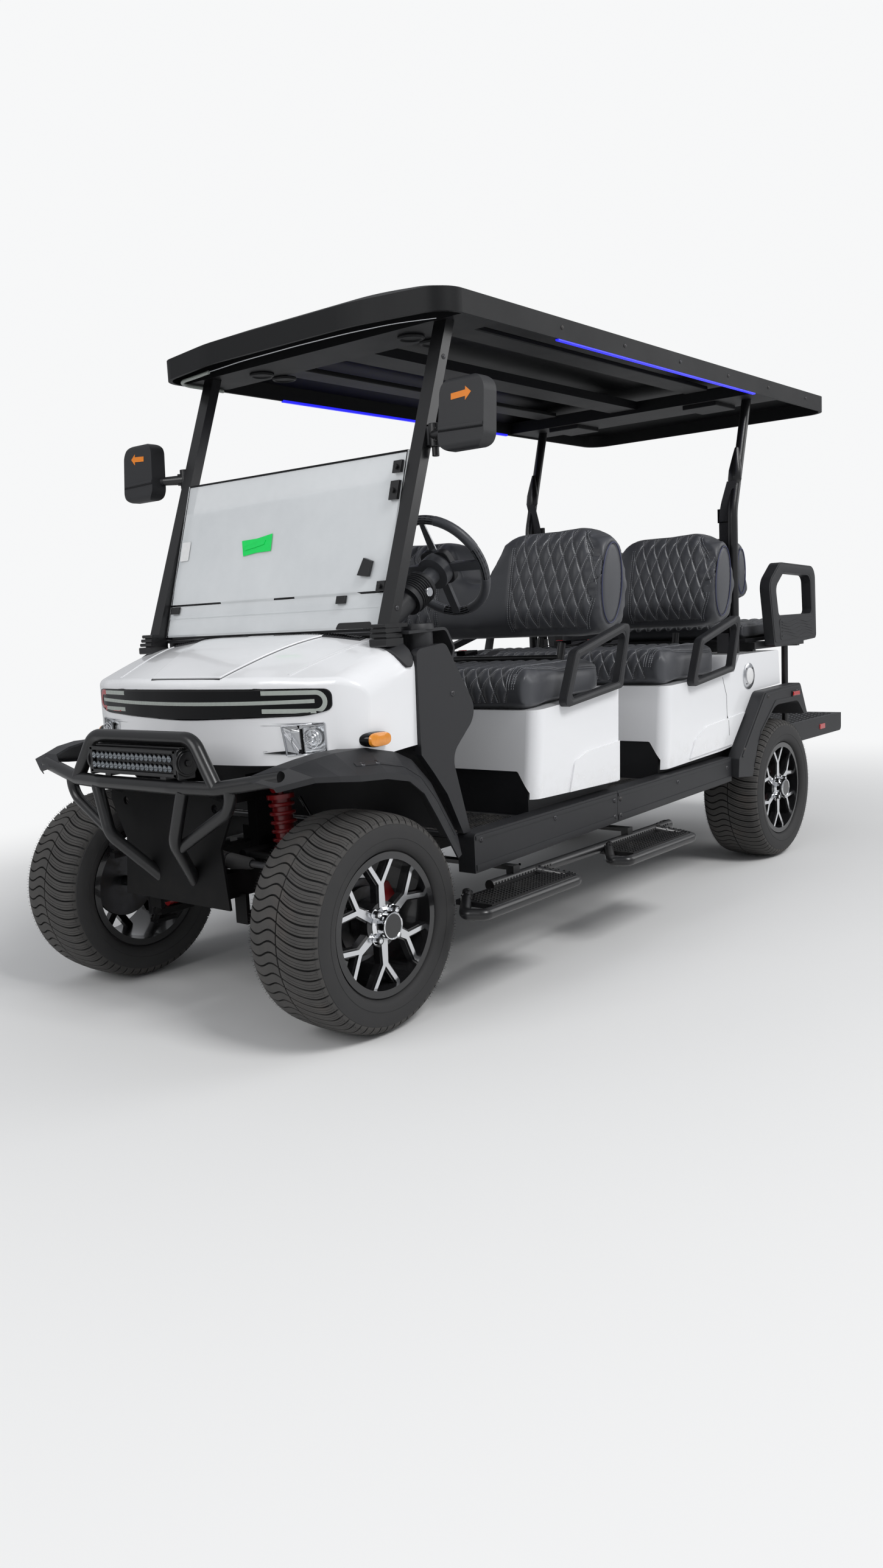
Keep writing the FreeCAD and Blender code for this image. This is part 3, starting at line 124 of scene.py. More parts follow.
class Signal:
    """One output of a shader graph, with arithmetic written as Python operators."""

    def __init__(self, graph: "Graph", socket: bpy.types.NodeSocket) -> None:
        """Wrap a socket of a graph."""
        self.graph = graph
        self.socket = socket

    def _math(self, operation: str, *values: "Signal | float", clamp: bool = False) -> "Signal":
        """Add a Math node that works on this signal and others."""
        return self.graph.node("ShaderNodeMath", {"operation": operation, "use_clamp": clamp},
                               {i: v for i, v in enumerate((self, *values))})

    def __add__(self, other: "Signal | float") -> "Signal":
        """Sum."""
        return self._math("ADD", other)

    __radd__ = __add__

    def __sub__(self, other: "Signal | float") -> "Signal":
        """Difference."""
        return self._math("SUBTRACT", other)

    def __rsub__(self, other: float) -> "Signal":
        """Difference with this signal on the right."""
        return self.graph.node("ShaderNodeMath", {"operation": "SUBTRACT"}, {0: other, 1: self})

    def __mul__(self, other: "Signal | float") -> "Signal":
        """Product."""
        return self._math("MULTIPLY", other)

    __rmul__ = __mul__

    def __truediv__(self, other: "Signal | float") -> "Signal":
        """Quotient."""
        return self._math("DIVIDE", other)

    def __pow__(self, power: float) -> "Signal":
        """Power."""
        return self._math("POWER", power)

    def __abs__(self) -> "Signal":
        """Absolute value."""
        return self._math("ABSOLUTE")

    def above(self, level: float) -> "Signal":
        """1 where the signal is above a level, else 0."""
        return self._math("GREATER_THAN", level)

    def below(self, level: float) -> "Signal":
        """1 where the signal is below a level, else 0."""
        return self._math("LESS_THAN", level)

    def smaller(self, other: "Signal | float") -> "Signal":
        """The smaller of two signals."""
        return self._math("MINIMUM", other)

    def larger(self, other: "Signal | float") -> "Signal":
        """The larger of two signals."""
        return self._math("MAXIMUM", other)

    def fract(self) -> "Signal":
        """Fraction above the next lower whole number."""
        return self._math("FRACT")

    def to_whole(self) -> "Signal":
        """Distance to the nearest whole number, from 0 to 0.5."""
        return 0.5 - abs(self.fract() - 0.5)

    def sine(self) -> "Signal":
        """Sine of the signal in radians."""
        return self._math("SINE")

    def ramp(self, low: float, high: float) -> "Signal":
        """Smooth step from 0 at low to 1 at high; low may be the larger."""
        node_inputs = {"Value": self, "From Min": low, "From Max": high, "To Min": 0.0, "To Max": 1.0}
        return self.graph.node("ShaderNodeMapRange", {"interpolation_type": "SMOOTHSTEP"}, node_inputs)

    def scaled(self, low: float, high: float) -> "Signal":
        """Turn a 0 to 1 signal into one from low to high."""
        return self * (high - low) + low


class Graph:
    """The node tree of one material."""

    def __init__(self, name: str) -> None:
        """Start an empty material of the given name."""
        self.material = bpy.data.materials.new(name)
        self.material.use_nodes = True
        self.tree = self.material.node_tree
        self.tree.nodes.clear()

    def node(self, kind: str, settings: dict | None = None, values: dict | None = None,
             output: int | str = 0) -> Signal:
        """Add one node.

        Args:
            kind: The node's type name.
            settings: Properties to set first; "stops" fills a colour ramp.
            values: Socket index or name to a number, tuple or Signal.
            output: Which output to return.

        Returns:
            The chosen output as a Signal.
        """
        made = self.tree.nodes.new(kind)
        for key, value in (settings or {}).items():
            if key == "stops":
                ramp = made.color_ramp
                while len(ramp.elements) < len(value):
                    ramp.elements.new(0.5)
                for element, (place, colour) in zip(ramp.elements, value):
                    element.position = place
                    element.color = (*colour, 1.0)
            else:
                setattr(made, key, value)
        for key, value in (values or {}).items():
            socket = made.inputs[key]
            if isinstance(value, Signal):
                self.tree.links.new(value.socket, socket)
            elif isinstance(value, tuple) and len(value) == 3 and len(socket.default_value) == 4:
                socket.default_value = (*value, 1.0)
            else:
                socket.default_value = value
        return Signal(self, made.outputs[output])

    def place(self) -> Signal:
        """Object coordinates."""
        return self.node("ShaderNodeTexCoord", output="Object")

    def axes(self) -> tuple[Signal, Signal, Signal]:
        """Object coordinates as three signals."""
        split = self.tree.nodes.new("ShaderNodeSeparateXYZ")
        self.tree.links.new(self.place().socket, split.inputs[0])
        return tuple(Signal(self, socket) for socket in split.outputs)

    def attribute(self, name: str, output: str = "Fac") -> Signal:
        """A named attribute of the mesh."""
        return self.node("ShaderNodeAttribute", {"attribute_name": name}, output=output)

    def noise(self, scale: float, detail: float = 3.0, rough: float = 0.5) -> Signal:
        """Fractal noise from 0 to 1 at a scale per metre."""
        return self.node("ShaderNodeTexNoise", {}, {"Vector": self.place(), "Scale": scale, "Detail": detail,
                                                    "Roughness": rough})

    def cells(self, scale: float) -> Signal:
        """Distance to the nearest cell point at a scale per metre."""
        return self.node("ShaderNodeTexVoronoi", {}, {"Vector": self.place(), "Scale": scale})

    def blend(self, factor: Signal | float, first: Signal | Colour, second: Signal | Colour) -> Signal:
        """Mix two colours."""
        return self.node("ShaderNodeMix", {"data_type": "RGBA"}, {0: factor, 6: first, 7: second}, output=2)

    def bump(self, height: Signal, distance: float, strength: float = 1.0,
             below: Signal | None = None) -> Signal:
        """A bump normal from a height signal.

        Args:
            height: Height from 0 to 1.
            distance: Metres that 1 stands for.
            strength: How strongly it shows.
            below: Another bump to build on.

        Returns:
            The normal.
        """
        values: dict = {"Height": height, "Distance": distance, "Strength": strength}
        if below is not None:
            values["Normal"] = below
        return self.node("ShaderNodeBump", {}, values)

    def surface(self, **values: "Signal | float | Colour") -> bpy.types.Material:
        """Finish with a Principled surface; names use _ for spaces.

        Returns:
            The finished material.
        """
        named = {key.replace("_", " "): value for key, value in values.items()}
        shader = self.node("ShaderNodeBsdfPrincipled", {}, named)
        out = self.tree.nodes.new("ShaderNodeOutputMaterial")
        self.tree.links.new(shader.socket, out.inputs["Surface"])
        return self.material


# Finishes


class Finish(Enum):
    """The cart's finishes."""

    WHITE = "gloss_white_panel"
    CHARCOAL = "grained_charcoal_plastic"
    POWDER = "satin_black_tube"
    ROOF = "roof_black_plastic"
    TYRE = "tyre_rubber"
    WHEEL = "black_and_machined_alloy"
    CHROME = "chrome"
    LEATHER = "dark_leather"
    QUILTED_BACK = "quilted_leather_back"
    QUILTED_SEAT = "quilted_leather_seat"
    THREAD = "pale_thread"
    PIPING = "blue_grey_piping"
    GLOSS_BLACK = "gloss_black"
    LED_OFF = "milky_led_strip"
    LED_BLUE = "blue_led_strip"
    LENS = "clear_lens"
    AMBER = "amber_lens"
    RED = "red_lens"
    SCREEN = "filmed_screen"
    SPRING = "red_spring"
    STEEL = "dark_steel"
    MIRROR = "mirror_glass"
    WEBBING = "belt_webbing"
    TAPE = "green_tape"
    STICKER = "plain_white_sticker"
    MAT = "floor_mat"
    BATTERY = "battery_case"
    BEZEL = "silvered_plastic"
    LABEL = "orange_label"
    DISPLAY = "dark_display"
    CUP = "reflector_cup"
    CHASSIS = "matt_black_frame"


@dataclass(frozen=True)
class PaintedPanel:
    """Smooth gloss panel with a clear coat and road dust low down."""

    colour: Colour = (0.86, 0.865, 0.88)
    dust_top: float = 0.62

    def material(self, name: str) -> bpy.types.Material:
        """Build the material."""
        graph = Graph(name)
        _, _, z = graph.axes()
        cloud = graph.noise(2.4, 4.0)
        fine = graph.noise(260.0, 2.0)
        dust = z.ramp(self.dust_top, 0.42) * graph.noise(34.0, 5.0, 0.6).ramp(0.42, 0.75) * 0.32
        clean = graph.blend(cloud.scaled(0.0, 0.25), self.colour, tuple(c * 0.94 for c in self.colour))
        peel = graph.bump(graph.noise(420.0, 1.0), 0.00006, 0.35)
        base = graph.blend(dust, clean, (0.42, 0.38, 0.33))
        return graph.surface(Base_Color=base, Roughness=fine.scaled(0.2, 0.27) + dust * 0.5, Coat_Weight=0.7,
                             Coat_Roughness=0.06, Normal=peel, IOR=1.5)


@dataclass(frozen=True)
class GrainedPlastic:
    """Moulded plastic with a leathery grain, paler where it has been rubbed."""

    colour: Colour = (0.019, 0.0195, 0.022)
    roughness: tuple[float, float] = (0.42, 0.56)
    grain: float = 900.0
    depth: float = 0.00022
    shine: float = 0.5

    def material(self, name: str) -> bpy.types.Material:
        """Build the material."""
        graph = Graph(name)
        wide = graph.noise(5.0, 4.0, 0.6)
        cells = graph.cells(self.grain)
        scuff = graph.noise(60.0, 6.0, 0.7).ramp(0.6, 0.82) * wide.ramp(0.45, 0.7) * 0.35
        dark = tuple(c * 0.78 for c in self.colour)
        pale = tuple(c * 1.9 + 0.012 for c in self.colour)
        base = graph.blend(scuff, graph.blend(wide, dark, self.colour), pale)
        return graph.surface(Base_Color=base, Roughness=wide.scaled(*self.roughness) - scuff * 0.1, IOR=1.46,
                             Normal=graph.bump(cells, self.depth, 0.6), Specular_IOR_Level=self.shine)


@dataclass(frozen=True)
class PowderCoat:
    """Baked powder on steel tube, with an orange-peel skin."""

    colour: Colour = (0.0065, 0.0065, 0.0072)
    roughness: tuple[float, float] = (0.26, 0.38)
    dusty: float = 0.05
    shine: float = 0.5
    coat: float = 0.15

    def material(self, name: str) -> bpy.types.Material:
        """Build the material."""
        graph = Graph(name)
        _, _, z = graph.axes()
        peel = graph.noise(520.0, 2.0)
        wide = graph.noise(9.0, 5.0, 0.65)
        dust = wide.ramp(0.45, 0.75) * z.ramp(0.7, 0.25) * self.dusty
        return graph.surface(Base_Color=graph.blend(dust, self.colour, (0.2, 0.18, 0.155)),
                             Roughness=wide.scaled(*self.roughness) + dust * 0.5,
                             Normal=graph.bump(peel, 0.00018, 0.5), Coat_Weight=self.coat, Coat_Roughness=0.2,
                             Specular_IOR_Level=self.shine)


@dataclass(frozen=True)
class Rubber:
    """Tyre rubber: dark side walls, dusty tread, brown wear on the centre and painted shade in the grooves.
    """

    def material(self, name: str) -> bpy.types.Material:
        """Build the material."""
        graph = Graph(name)
        groove = graph.attribute("groove")
        tread = graph.attribute("tread")
        patch = graph.noise(26.0, 5.0, 0.65)
        fine = graph.noise(700.0, 2.0)
        wear = patch.scaled(0.25, 1.2) * tread * (1 - groove)
        rubber = graph.blend(patch, (0.018, 0.018, 0.019), (0.032, 0.031, 0.031))
        dusty = graph.blend(wear * 0.6, rubber, (0.088, 0.083, 0.077))
        brown = graph.blend(wear * graph.noise(9.0, 4.0).ramp(0.55, 0.8) * 0.14, dusty, (0.15, 0.10, 0.075))
        # painted shade: the tread's grooves are darkened almost to black, where shade falls in them
        dark = graph.blend(groove * tread * 0.95, brown, (0.003, 0.003, 0.003))
        return graph.surface(Base_Color=dark, Roughness=patch.scaled(0.62, 0.8) + tread * 0.08,
                             Normal=graph.bump(fine, 0.0002, 0.5))


@dataclass(frozen=True)
class MachinedWheel:
    """Black alloy with turned silver faces on the outer plane of its spokes."""

    plane: float = 0.595

    def material(self, name: str) -> bpy.types.Material:
        """Build the material."""
        graph = Graph(name)
        _, y, _ = graph.axes()
        normal = graph.node("ShaderNodeTexCoord", output="Normal")
        sideways = graph.node("ShaderNodeSeparateXYZ", {}, {0: normal}, output=1)
        facing = abs(sideways).ramp(0.93, 0.985)
        bright = facing * (1 - abs(abs(y) - self.plane).ramp(0.0008, 0.002))
        lines = graph.noise(1400.0, 1.0)
        wide = graph.noise(14.0, 4.0)
        black = graph.blend(wide, (0.008, 0.008, 0.009), (0.02, 0.02, 0.021))
        base = graph.blend(bright, black, (0.72, 0.73, 0.75))
        rough = bright * 0.04 + lines.scaled(0.16, 0.24)
        return graph.surface(Base_Color=base, Roughness=rough, Metallic=bright.scaled(0.15, 1.0),
                             Coat_Weight=0.5, Coat_Roughness=0.05)


@dataclass(frozen=True)
class Metal:
    """Plain metal, from chrome to dark steel."""

    colour: Colour = (0.82, 0.83, 0.85)
    roughness: tuple[float, float] = (0.05, 0.1)
    dirt: float = 0.0

    def material(self, name: str) -> bpy.types.Material:
        """Build the material."""
        graph = Graph(name)
        wide = graph.noise(22.0, 5.0, 0.6)
        grime = wide.ramp(0.45, 0.72) * self.dirt
        return graph.surface(Base_Color=graph.blend(grime, self.colour, (0.09, 0.08, 0.07)),
                             Roughness=wide.scaled(*self.roughness) + grime * 0.4, Metallic=1.0 - grime * 0.8)


class QuiltPlane(Enum):
    """How the diamond pattern lies on a pad."""

    NONE = "smooth"
    BACK = "upright, over Y and Z"
    SEAT = "rolled over the front edge, over Y and X - Z"


@dataclass(frozen=True)
class Leather:
    """Dark seat leather with pores, fine creases, double-stitched diamonds and painted shade along its seams
    and sewn lines.
    """

    plane: QuiltPlane = QuiltPlane.NONE
    colour: Colour = (0.043, 0.045, 0.051)
    thread: Colour = (0.27, 0.275, 0.29)
    diamond: tuple[float, float] = (0.05, 0.12)
    stitch_offset: float = 0.0024
    stitch_pitch: float = 0.0065

    def diamonds(self, graph: Graph) -> tuple[Signal, Signal, Signal]:
        """Distances to the two families of sewn lines, and the thread mask.

        Args:
            graph: The material's graph.

        Returns:
            Nearest distance in metres, the thread mask and the crease height.
        """
        x, y, z = graph.axes()
        across = abs(y) / self.diamond[0]
        along = (z if self.plane is QuiltPlane.BACK else x - z) / self.diamond[1]
        scale = self.diamond[0] * self.diamond[1] / math.hypot(*self.diamond)
        masks = []
        nearest = []
        for one, other in ((along + across, along - across), (along - across, along + across)):
            gap = one.to_whole() * scale
            line = 1 - abs(gap - self.stitch_offset).ramp(0.0005, 0.0012)
            dash = (other * (math.hypot(*self.diamond) / 2 / self.stitch_pitch)).fract().above(0.28)
            masks.append(line * dash)
            nearest.append(gap)
        close = nearest[0].smaller(nearest[1])
        return close, masks[0].larger(masks[1]), close.ramp(0.0, 0.007)

    def material(self, name: str) -> bpy.types.Material:
        """Build the material."""
        graph = Graph(name)
        pores = graph.cells(520.0)
        creases = graph.noise(95.0, 6.0, 0.7)
        wide = graph.noise(6.0, 3.0)
        seam = graph.attribute("seam")
        light = tuple(c * 1.35 for c in self.colour)
        dark = tuple(c * 0.45 for c in self.colour)
        # painted shade: the leather is darkened along its seams, where the pad is pulled in
        base = graph.blend(seam * 0.7, graph.blend(wide, self.colour, light), dark)
        normal = graph.bump(creases, 0.0006, 0.35)
        rough = creases.scaled(0.34, 0.48) + seam * 0.2
        if self.plane is not QuiltPlane.NONE:
            quilt = graph.attribute("quilt").ramp(0.4, 0.6)
            close, thread, height = self.diamonds(graph)
            # painted shade: darker along the diamonds' sewn lines, in the creases of the quilt
            base = graph.blend((1 - close.ramp(0.0, 0.004)) * quilt * 0.75, base, dark)
            base = graph.blend(thread * quilt, base, self.thread)
            normal = graph.bump((height - 1) * quilt + 1, 0.003, 0.8, normal)
        return graph.surface(Base_Color=base, Roughness=rough, Normal=graph.bump(pores, 0.0002, 0.5, normal),
                             Sheen_Weight=0.12, IOR=1.48)


@dataclass(frozen=True)
class Webbing:
    """Woven belt, a fine twill."""

    colour: Colour = (0.014, 0.014, 0.016)

    def material(self, name: str) -> bpy.types.Material:
        """Build the material."""
        graph = Graph(name)
        x, y, z = graph.axes()
        twill = ((x + y + z) * 3400.0).sine() * ((y - z) * 1700.0).sine()
        weave = twill * 0.5 + 0.5
        return graph.surface(Base_Color=graph.blend(weave, self.colour, tuple(c * 2.2 for c in self.colour)),
                             Roughness=weave.scaled(0.6, 0.8), Normal=graph.bump(weave, 0.0004, 0.7))


@dataclass(frozen=True)
class Plain:
    """An even finish with a faint mottle, for small things."""

    colour: Colour
    roughness: float = 0.4
    metallic: float = 0.0
    glow: float = 0.0
    clear: float = 0.0
    coat: float = 0.0
    ribs: float = 0.0
    shine: float = 0.5

    def material(self, name: str) -> bpy.types.Material:
        """Build the material."""
        graph = Graph(name)
        mottle = graph.noise(90.0, 3.0)
        base = graph.blend(mottle, tuple(c * 0.86 for c in self.colour), self.colour)
        rough = mottle.scaled(self.roughness * 0.85, self.roughness * 1.1)
        values: dict = {"Base_Color": base, "Roughness": rough, "Metallic": self.metallic,
                        "Coat_Weight": self.coat, "Specular_IOR_Level": self.shine}
        if self.glow:
            values["Emission_Color"] = self.colour
            values["Emission_Strength"] = self.glow
        if self.clear:
            values["Transmission_Weight"] = self.clear
        if self.ribs:
            x, y, _ = graph.axes()
            values["Normal"] = graph.bump(((y + x) * self.ribs).sine() * 0.5 + 0.5, 0.0008, 0.6)
        return graph.surface(**values)


@dataclass(frozen=True)
class FilmedScreen:
    """Clear sheet under a milky, creased protective film."""

    opacity: tuple[float, float] = (0.55, 0.78)

    def material(self, name: str) -> bpy.types.Material:
        """Build the material."""
        graph = Graph(name)
        cloud = graph.noise(3.2, 4.0, 0.55)
        crease = graph.noise(14.0, 7.0, 0.7)
        base = graph.blend(cloud, (0.70, 0.73, 0.75), (0.84, 0.86, 0.87))
        return graph.surface(Base_Color=base, Roughness=crease.scaled(0.24, 0.5), Coat_Weight=0.3,
                             Alpha=cloud.scaled(*self.opacity), Normal=graph.bump(crease, 0.002, 0.3))


@dataclass(frozen=True)
class Mat:
    """Ribbed rubber mat with trodden dust."""

    def material(self, name: str) -> bpy.types.Material:
        """Build the material."""
        graph = Graph(name)
        x, y, _ = graph.axes()
        diamonds = ((x + y) * 150.0).sine() * ((x - y) * 150.0).sine()
        raised = abs(diamonds).ramp(0.25, 0.7)
        trodden = graph.noise(11.0, 6.0, 0.65).ramp(0.42, 0.72) * 0.4
        base = graph.blend(trodden, (0.022, 0.022, 0.023), (0.13, 0.118, 0.1))
        return graph.surface(Base_Color=base, Roughness=raised.scaled(0.75, 0.55),
                             Normal=graph.bump(raised, 0.0015, 0.8))


RECIPES: dict[Finish, object] = {
    Finish.WHITE: PaintedPanel(),
    Finish.CHARCOAL: GrainedPlastic(),
    Finish.POWDER: PowderCoat(),
    Finish.ROOF: GrainedPlastic((0.0045, 0.0047, 0.0056), (0.45, 0.58), 1100.0, 0.00014, 0.3),
    Finish.TYRE: Rubber(),
    Finish.WHEEL: MachinedWheel(),
    Finish.CHROME: Metal(),
    Finish.LEATHER: Leather(),
    Finish.QUILTED_BACK: Leather(QuiltPlane.BACK),
    Finish.QUILTED_SEAT: Leather(QuiltPlane.SEAT),
    Finish.THREAD: Plain((0.3, 0.31, 0.33), 0.7),
    # painted reflection: the dark piping is tinted blue to stand for its blue-violet sheen
    Finish.PIPING: Plain((0.03, 0.035, 0.09), 0.4),
    Finish.GLOSS_BLACK: Plain((0.002, 0.002, 0.0026), 0.09, shine=0.3),
    Finish.LED_OFF: Plain((0.36, 0.39, 0.36), 0.3, glow=0.05, ribs=420.0),
    Finish.LED_BLUE: Plain((0.02, 0.02, 0.9), 0.4, glow=1.1),
    Finish.LENS: Plain((0.92, 0.94, 0.96), 0.04, clear=0.92),
    Finish.AMBER: Plain((0.86, 0.3, 0.015), 0.18, coat=0.8, ribs=1500.0),
    Finish.RED: Plain((0.5, 0.008, 0.01), 0.15, coat=0.8, ribs=1500.0),
    Finish.SCREEN: FilmedScreen(),
    # painted shade: the red is darkened to stand for the shade the springs lie in; the brake calipers share
    # it
    Finish.SPRING: Plain((0.20, 0.006, 0.008), 0.35, coat=0.3),
    Finish.STEEL: Metal((0.085, 0.085, 0.09), (0.35, 0.5), 0.6),
    Finish.MIRROR: Metal((0.85, 0.87, 0.9), (0.01, 0.02)),
    Finish.WEBBING: Webbing(),
    Finish.TAPE: Plain((0.0, 0.75, 0.12), 0.35),
    Finish.STICKER: Plain((0.8, 0.8, 0.8), 0.5),
    Finish.MAT: Mat(),
    Finish.BATTERY: GrainedPlastic(colour=(0.12, 0.125, 0.13)),
    Finish.BEZEL: Metal((0.6, 0.61, 0.63), (0.16, 0.26)),
    Finish.LABEL: Plain((0.85, 0.24, 0.01), 0.4),
    Finish.CUP: Metal((0.20, 0.215, 0.23), (0.12, 0.2)),
    # painted shade: the frame's black is darkened further to stand for the shade under the body and light bar
    Finish.CHASSIS: PowderCoat((0.0028, 0.0028, 0.0032), (0.5, 0.65), 0.03, 0.15, 0.0),
    Finish.DISPLAY: Plain((0.01, 0.012, 0.016), 0.12, coat=0.6),
}


class Palette:
    """Builds each finish once."""

    def __init__(self) -> None:
        """Start with nothing built."""
        self.made: dict[Finish, bpy.types.Material] = {}

    def get(self, finish: Finish) -> bpy.types.Material:
        """The material of a finish."""
        if finish not in self.made:
            self.made[finish] = RECIPES[finish].material(finish.value)
        return self.made[finish]


PALETTE = Palette()


# Shapes


class Solid:
    """Collects vertices and faces and turns them into one piece of the cart."""

    def __init__(self, name: str, finish: Finish, body: str = "cart_body") -> None:
        """Start an empty solid.

        Args:
            name: The piece's name.
            finish: Its main finish.
            body: The CAD body that it rides on.
        """
        self.name = name
        self.finishes = [finish]
        self.body = body
        self.verts: list[Point] = []
        self.faces: list[Sequence[int]] = []
        self.slots: list[int] = []

    def slot_of(self, finish: Finish | None) -> int:
        """Index of a finish's material slot, added when it is new."""
        if finish is None:
            return 0
        if finish not in self.finishes:
            self.finishes.append(finish)
        return self.finishes.index(finish)

    def add(self, verts: Iterable[Point], faces: Iterable[Sequence[int]],
            finish: Finish | None = None) -> None:
        """Add a group of vertices and faces."""
        start = len(self.verts)
        self.verts.extend(tuple(map(float, v)) for v in verts)
        slot = self.slot_of(finish)
        for face in faces:
            self.faces.append([start + i for i in face])
            self.slots.append(slot)

    def rings(self, rings: Sequence[Sequence[Point]], closed: bool = True, capped: bool = True,
              looped: bool = False, finish: Finish | None = None) -> None:
        """Skin a row of rings of equal length.

        Args:
            rings: Rings of points, in order.
            closed: Whether each ring closes on itself.
            capped: Whether the first and last ring are filled.
            looped: Whether the last ring joins the first.
            finish: The group's finish.
        """
        count = len(rings[0])
        faces = []
        spans = len(rings) if looped else len(rings) - 1
        for r in range(spans):
            low, high = r * count, ((r + 1) % len(rings)) * count
            for i in range(count if closed else count - 1):
                j = (i + 1) % count
                faces.append((low + i, low + j, high + j, high + i))
        if capped and not looped:
            faces.append(tuple(range(count - 1, -1, -1)))
            faces.append(tuple((len(rings) - 1) * count + i for i in range(count)))
        self.add([p for ring in rings for p in ring], faces, finish)

    def box(self, low: Point, high: Point, finish: Finish | None = None) -> None:
        """Add an upright box."""
        (x0, y0, z0), (x1, y1, z1) = low, high
        ring = [(x0, y0), (x1, y0), (x1, y1), (x0, y1)]
        self.rings([[(x, y, z0) for x, y in ring], [(x, y, z1) for x, y in ring]], finish=finish)

    def tube(self, path: Sequence[Point], radius: float | Sequence[float], sides: int = 16,
             finish: Finish | None = None, looped: bool = False) -> None:
        """Add a round tube along a path, with one radius or one for each point."""
        places = [Vector(p) for p in path]
        radii = radius if isinstance(radius, Sequence) else [radius] * len(places)
        up = None
        rings = []
        count = len(places)
        for i, place in enumerate(places):
            before = places[i - 1] if i or looped else places[0]
            after = places[(i + 1) % count] if i < count - 1 or looped else places[-1]
            along = (after - before).normalized()
            if up is None:
                up = along.orthogonal().normalized()
            up = (up - along * up.dot(along)).normalized()
            side = along.cross(up)
            rings.append([tuple(place + (up * c + side * s) * radii[i]) for c, s in circle(sides)])
        self.rings(rings, looped=looped, finish=finish)

    def ribbon(self, path: Sequence[Point], across: Sequence[Vector] | Vector, width: float, thick: float,
               finish: Finish | None = None) -> None:
        """Add a flat strap along a path; across is its sideways direction."""
        places = [Vector(p) for p in path]
        rings = []
        for i, place in enumerate(places):
            along = (places[min(i + 1, len(places) - 1)] - places[max(i - 1, 0)]).normalized()
            side = (across if isinstance(across, Vector) else across[i]).normalized()
            out = along.cross(side).normalized()
            corners = [(-1, -1), (1, -1), (1, 1), (-1, 1)]
            rings.append([tuple(place + side * (u * width / 2) + out * (v * thick / 2)) for u, v in corners])
        self.rings(rings, finish=finish)

    def panel(self, outline: Sequence[Point], push: Point, finish: Finish | None = None) -> None:
        """Add a flat outline pushed along a vector."""
        far = [tuple(Vector(p) + Vector(push)) for p in outline]
        self.rings([list(outline), far], finish=finish)

    def build(self, bevel: float = 0.0, segments: int = 2, angle: float = 35.0, slot: str = "",
              recalculate: bool = True) -> bpy.types.Object:
        """Make the mesh object, merge its doubles and finish its edges.

        Args:
            bevel: Edge rounding in metres, or 0.
            segments: Steps in that rounding.
            angle: Edges sharper than this many degrees stay sharp.
            slot: The record's material slot; not used.
            recalculate: Whether normals are turned outwards.

        Returns:
            The object, riding on its body.
        """
        mesh = bpy.data.meshes.new(self.name)
        mesh.from_pydata(self.verts, [], self.faces)
        for finish in self.finishes:
            mesh.materials.append(PALETTE.get(finish))
        mesh.polygons.foreach_set("material_index", self.slots)
        if recalculate:
            tidy_normals(mesh)
        piece = new_object(self.name, mesh)
        if bevel:
            add_bevel(piece, bevel, segments)
        smooth(mesh, angle)
        return settle(piece, self.body, slot)


def new_object(name: str, data: bpy.types.ID) -> bpy.types.Object:
    """An object of the scene round its data."""
    made = bpy.data.objects.new(name, data)
    bpy.context.scene.collection.objects.link(made)
    return made


def evaluated(piece: bpy.types.Object) -> bpy.types.Mesh:
    """A plain mesh of a piece as its modifiers leave it."""
    graph = bpy.context.evaluated_depsgraph_get()
    return bpy.data.meshes.new_from_object(piece.evaluated_get(graph))


def write_layer(mesh: bpy.types.Mesh, name: str, values: Sequence[float], kind: str = "FLOAT") -> None:
    """Write a named attribute of a mesh's points; a FLOAT_VECTOR takes three values for each."""
    layer = mesh.attributes.new(name, kind, "POINT")
    layer.data.foreach_set("vector" if kind == "FLOAT_VECTOR" else "value", values)


@contextmanager
def editing(mesh: bpy.types.Mesh) -> Iterator[bmesh.types.BMesh]:
    """A bmesh of a mesh, written back when its block ends."""
    work = bmesh.new()
    work.from_mesh(mesh)
    yield work
    work.to_mesh(mesh)
    work.free()


def tidy_normals(mesh: bpy.types.Mesh, merge: float = 1e-6) -> None:
    """Merge doubles and turn every face outwards."""
    with editing(mesh) as work:
        bmesh.ops.remove_doubles(work, verts=work.verts, dist=merge)
        bmesh.ops.recalc_face_normals(work, faces=work.faces)


def smooth(mesh: bpy.types.Mesh, angle: float) -> None:
    """Shade smooth, with edges above an angle in degrees kept sharp."""
    mesh.shade_smooth()
    limit = math.radians(angle)
    with editing(mesh) as work:
        for edge in work.edges:
            if len(edge.link_faces) == 2 and edge.calc_face_angle(0.0) > limit:
                edge.smooth = False


def add_bevel(piece: bpy.types.Object, width: float, segments: int) -> None:
    """Round the sharp edges of a piece."""
    modifier = piece.modifiers.new("edges", "BEVEL")
    modifier.width = width
    modifier.segments = segments
    modifier.limit_method = "ANGLE"
    modifier.angle_limit = math.radians(BEVEL_ANGLE)
    modifier.harden_normals = False


def settle(piece: bpy.types.Object, body: str, slot: str = "") -> bpy.types.Object:
    """Make a piece ride on a body."""
    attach(piece, body)
    return piece


def upright(y0: float, y1: float, z0: float, z1: float) -> tuple[Flat, ...]:
    """Corners of an upright rectangle, in order round it."""
    return (y0, z0), (y1, z0), (y1, z1), (y0, z1)


def arc(centre: Flat, radius: float, start: float, end: float, steps: int) -> list[Flat]:
    """Points on an arc, angles in degrees."""
    turns = [math.radians(start + (end - start) * i / steps) for i in range(steps + 1)]
    return [(centre[0] + radius * math.cos(t), centre[1] + radius * math.sin(t)) for t in turns]


def rounding(start: Vector, corner: Vector, end: Vector, steps: int) -> list[Vector]:
    """A curve from start to end that leans into a corner."""
    shares = [k / steps for k in range(steps + 1)]
    return [start * (1 - t) ** 2 + corner * 2 * t * (1 - t) + end * t * t for t in shares]


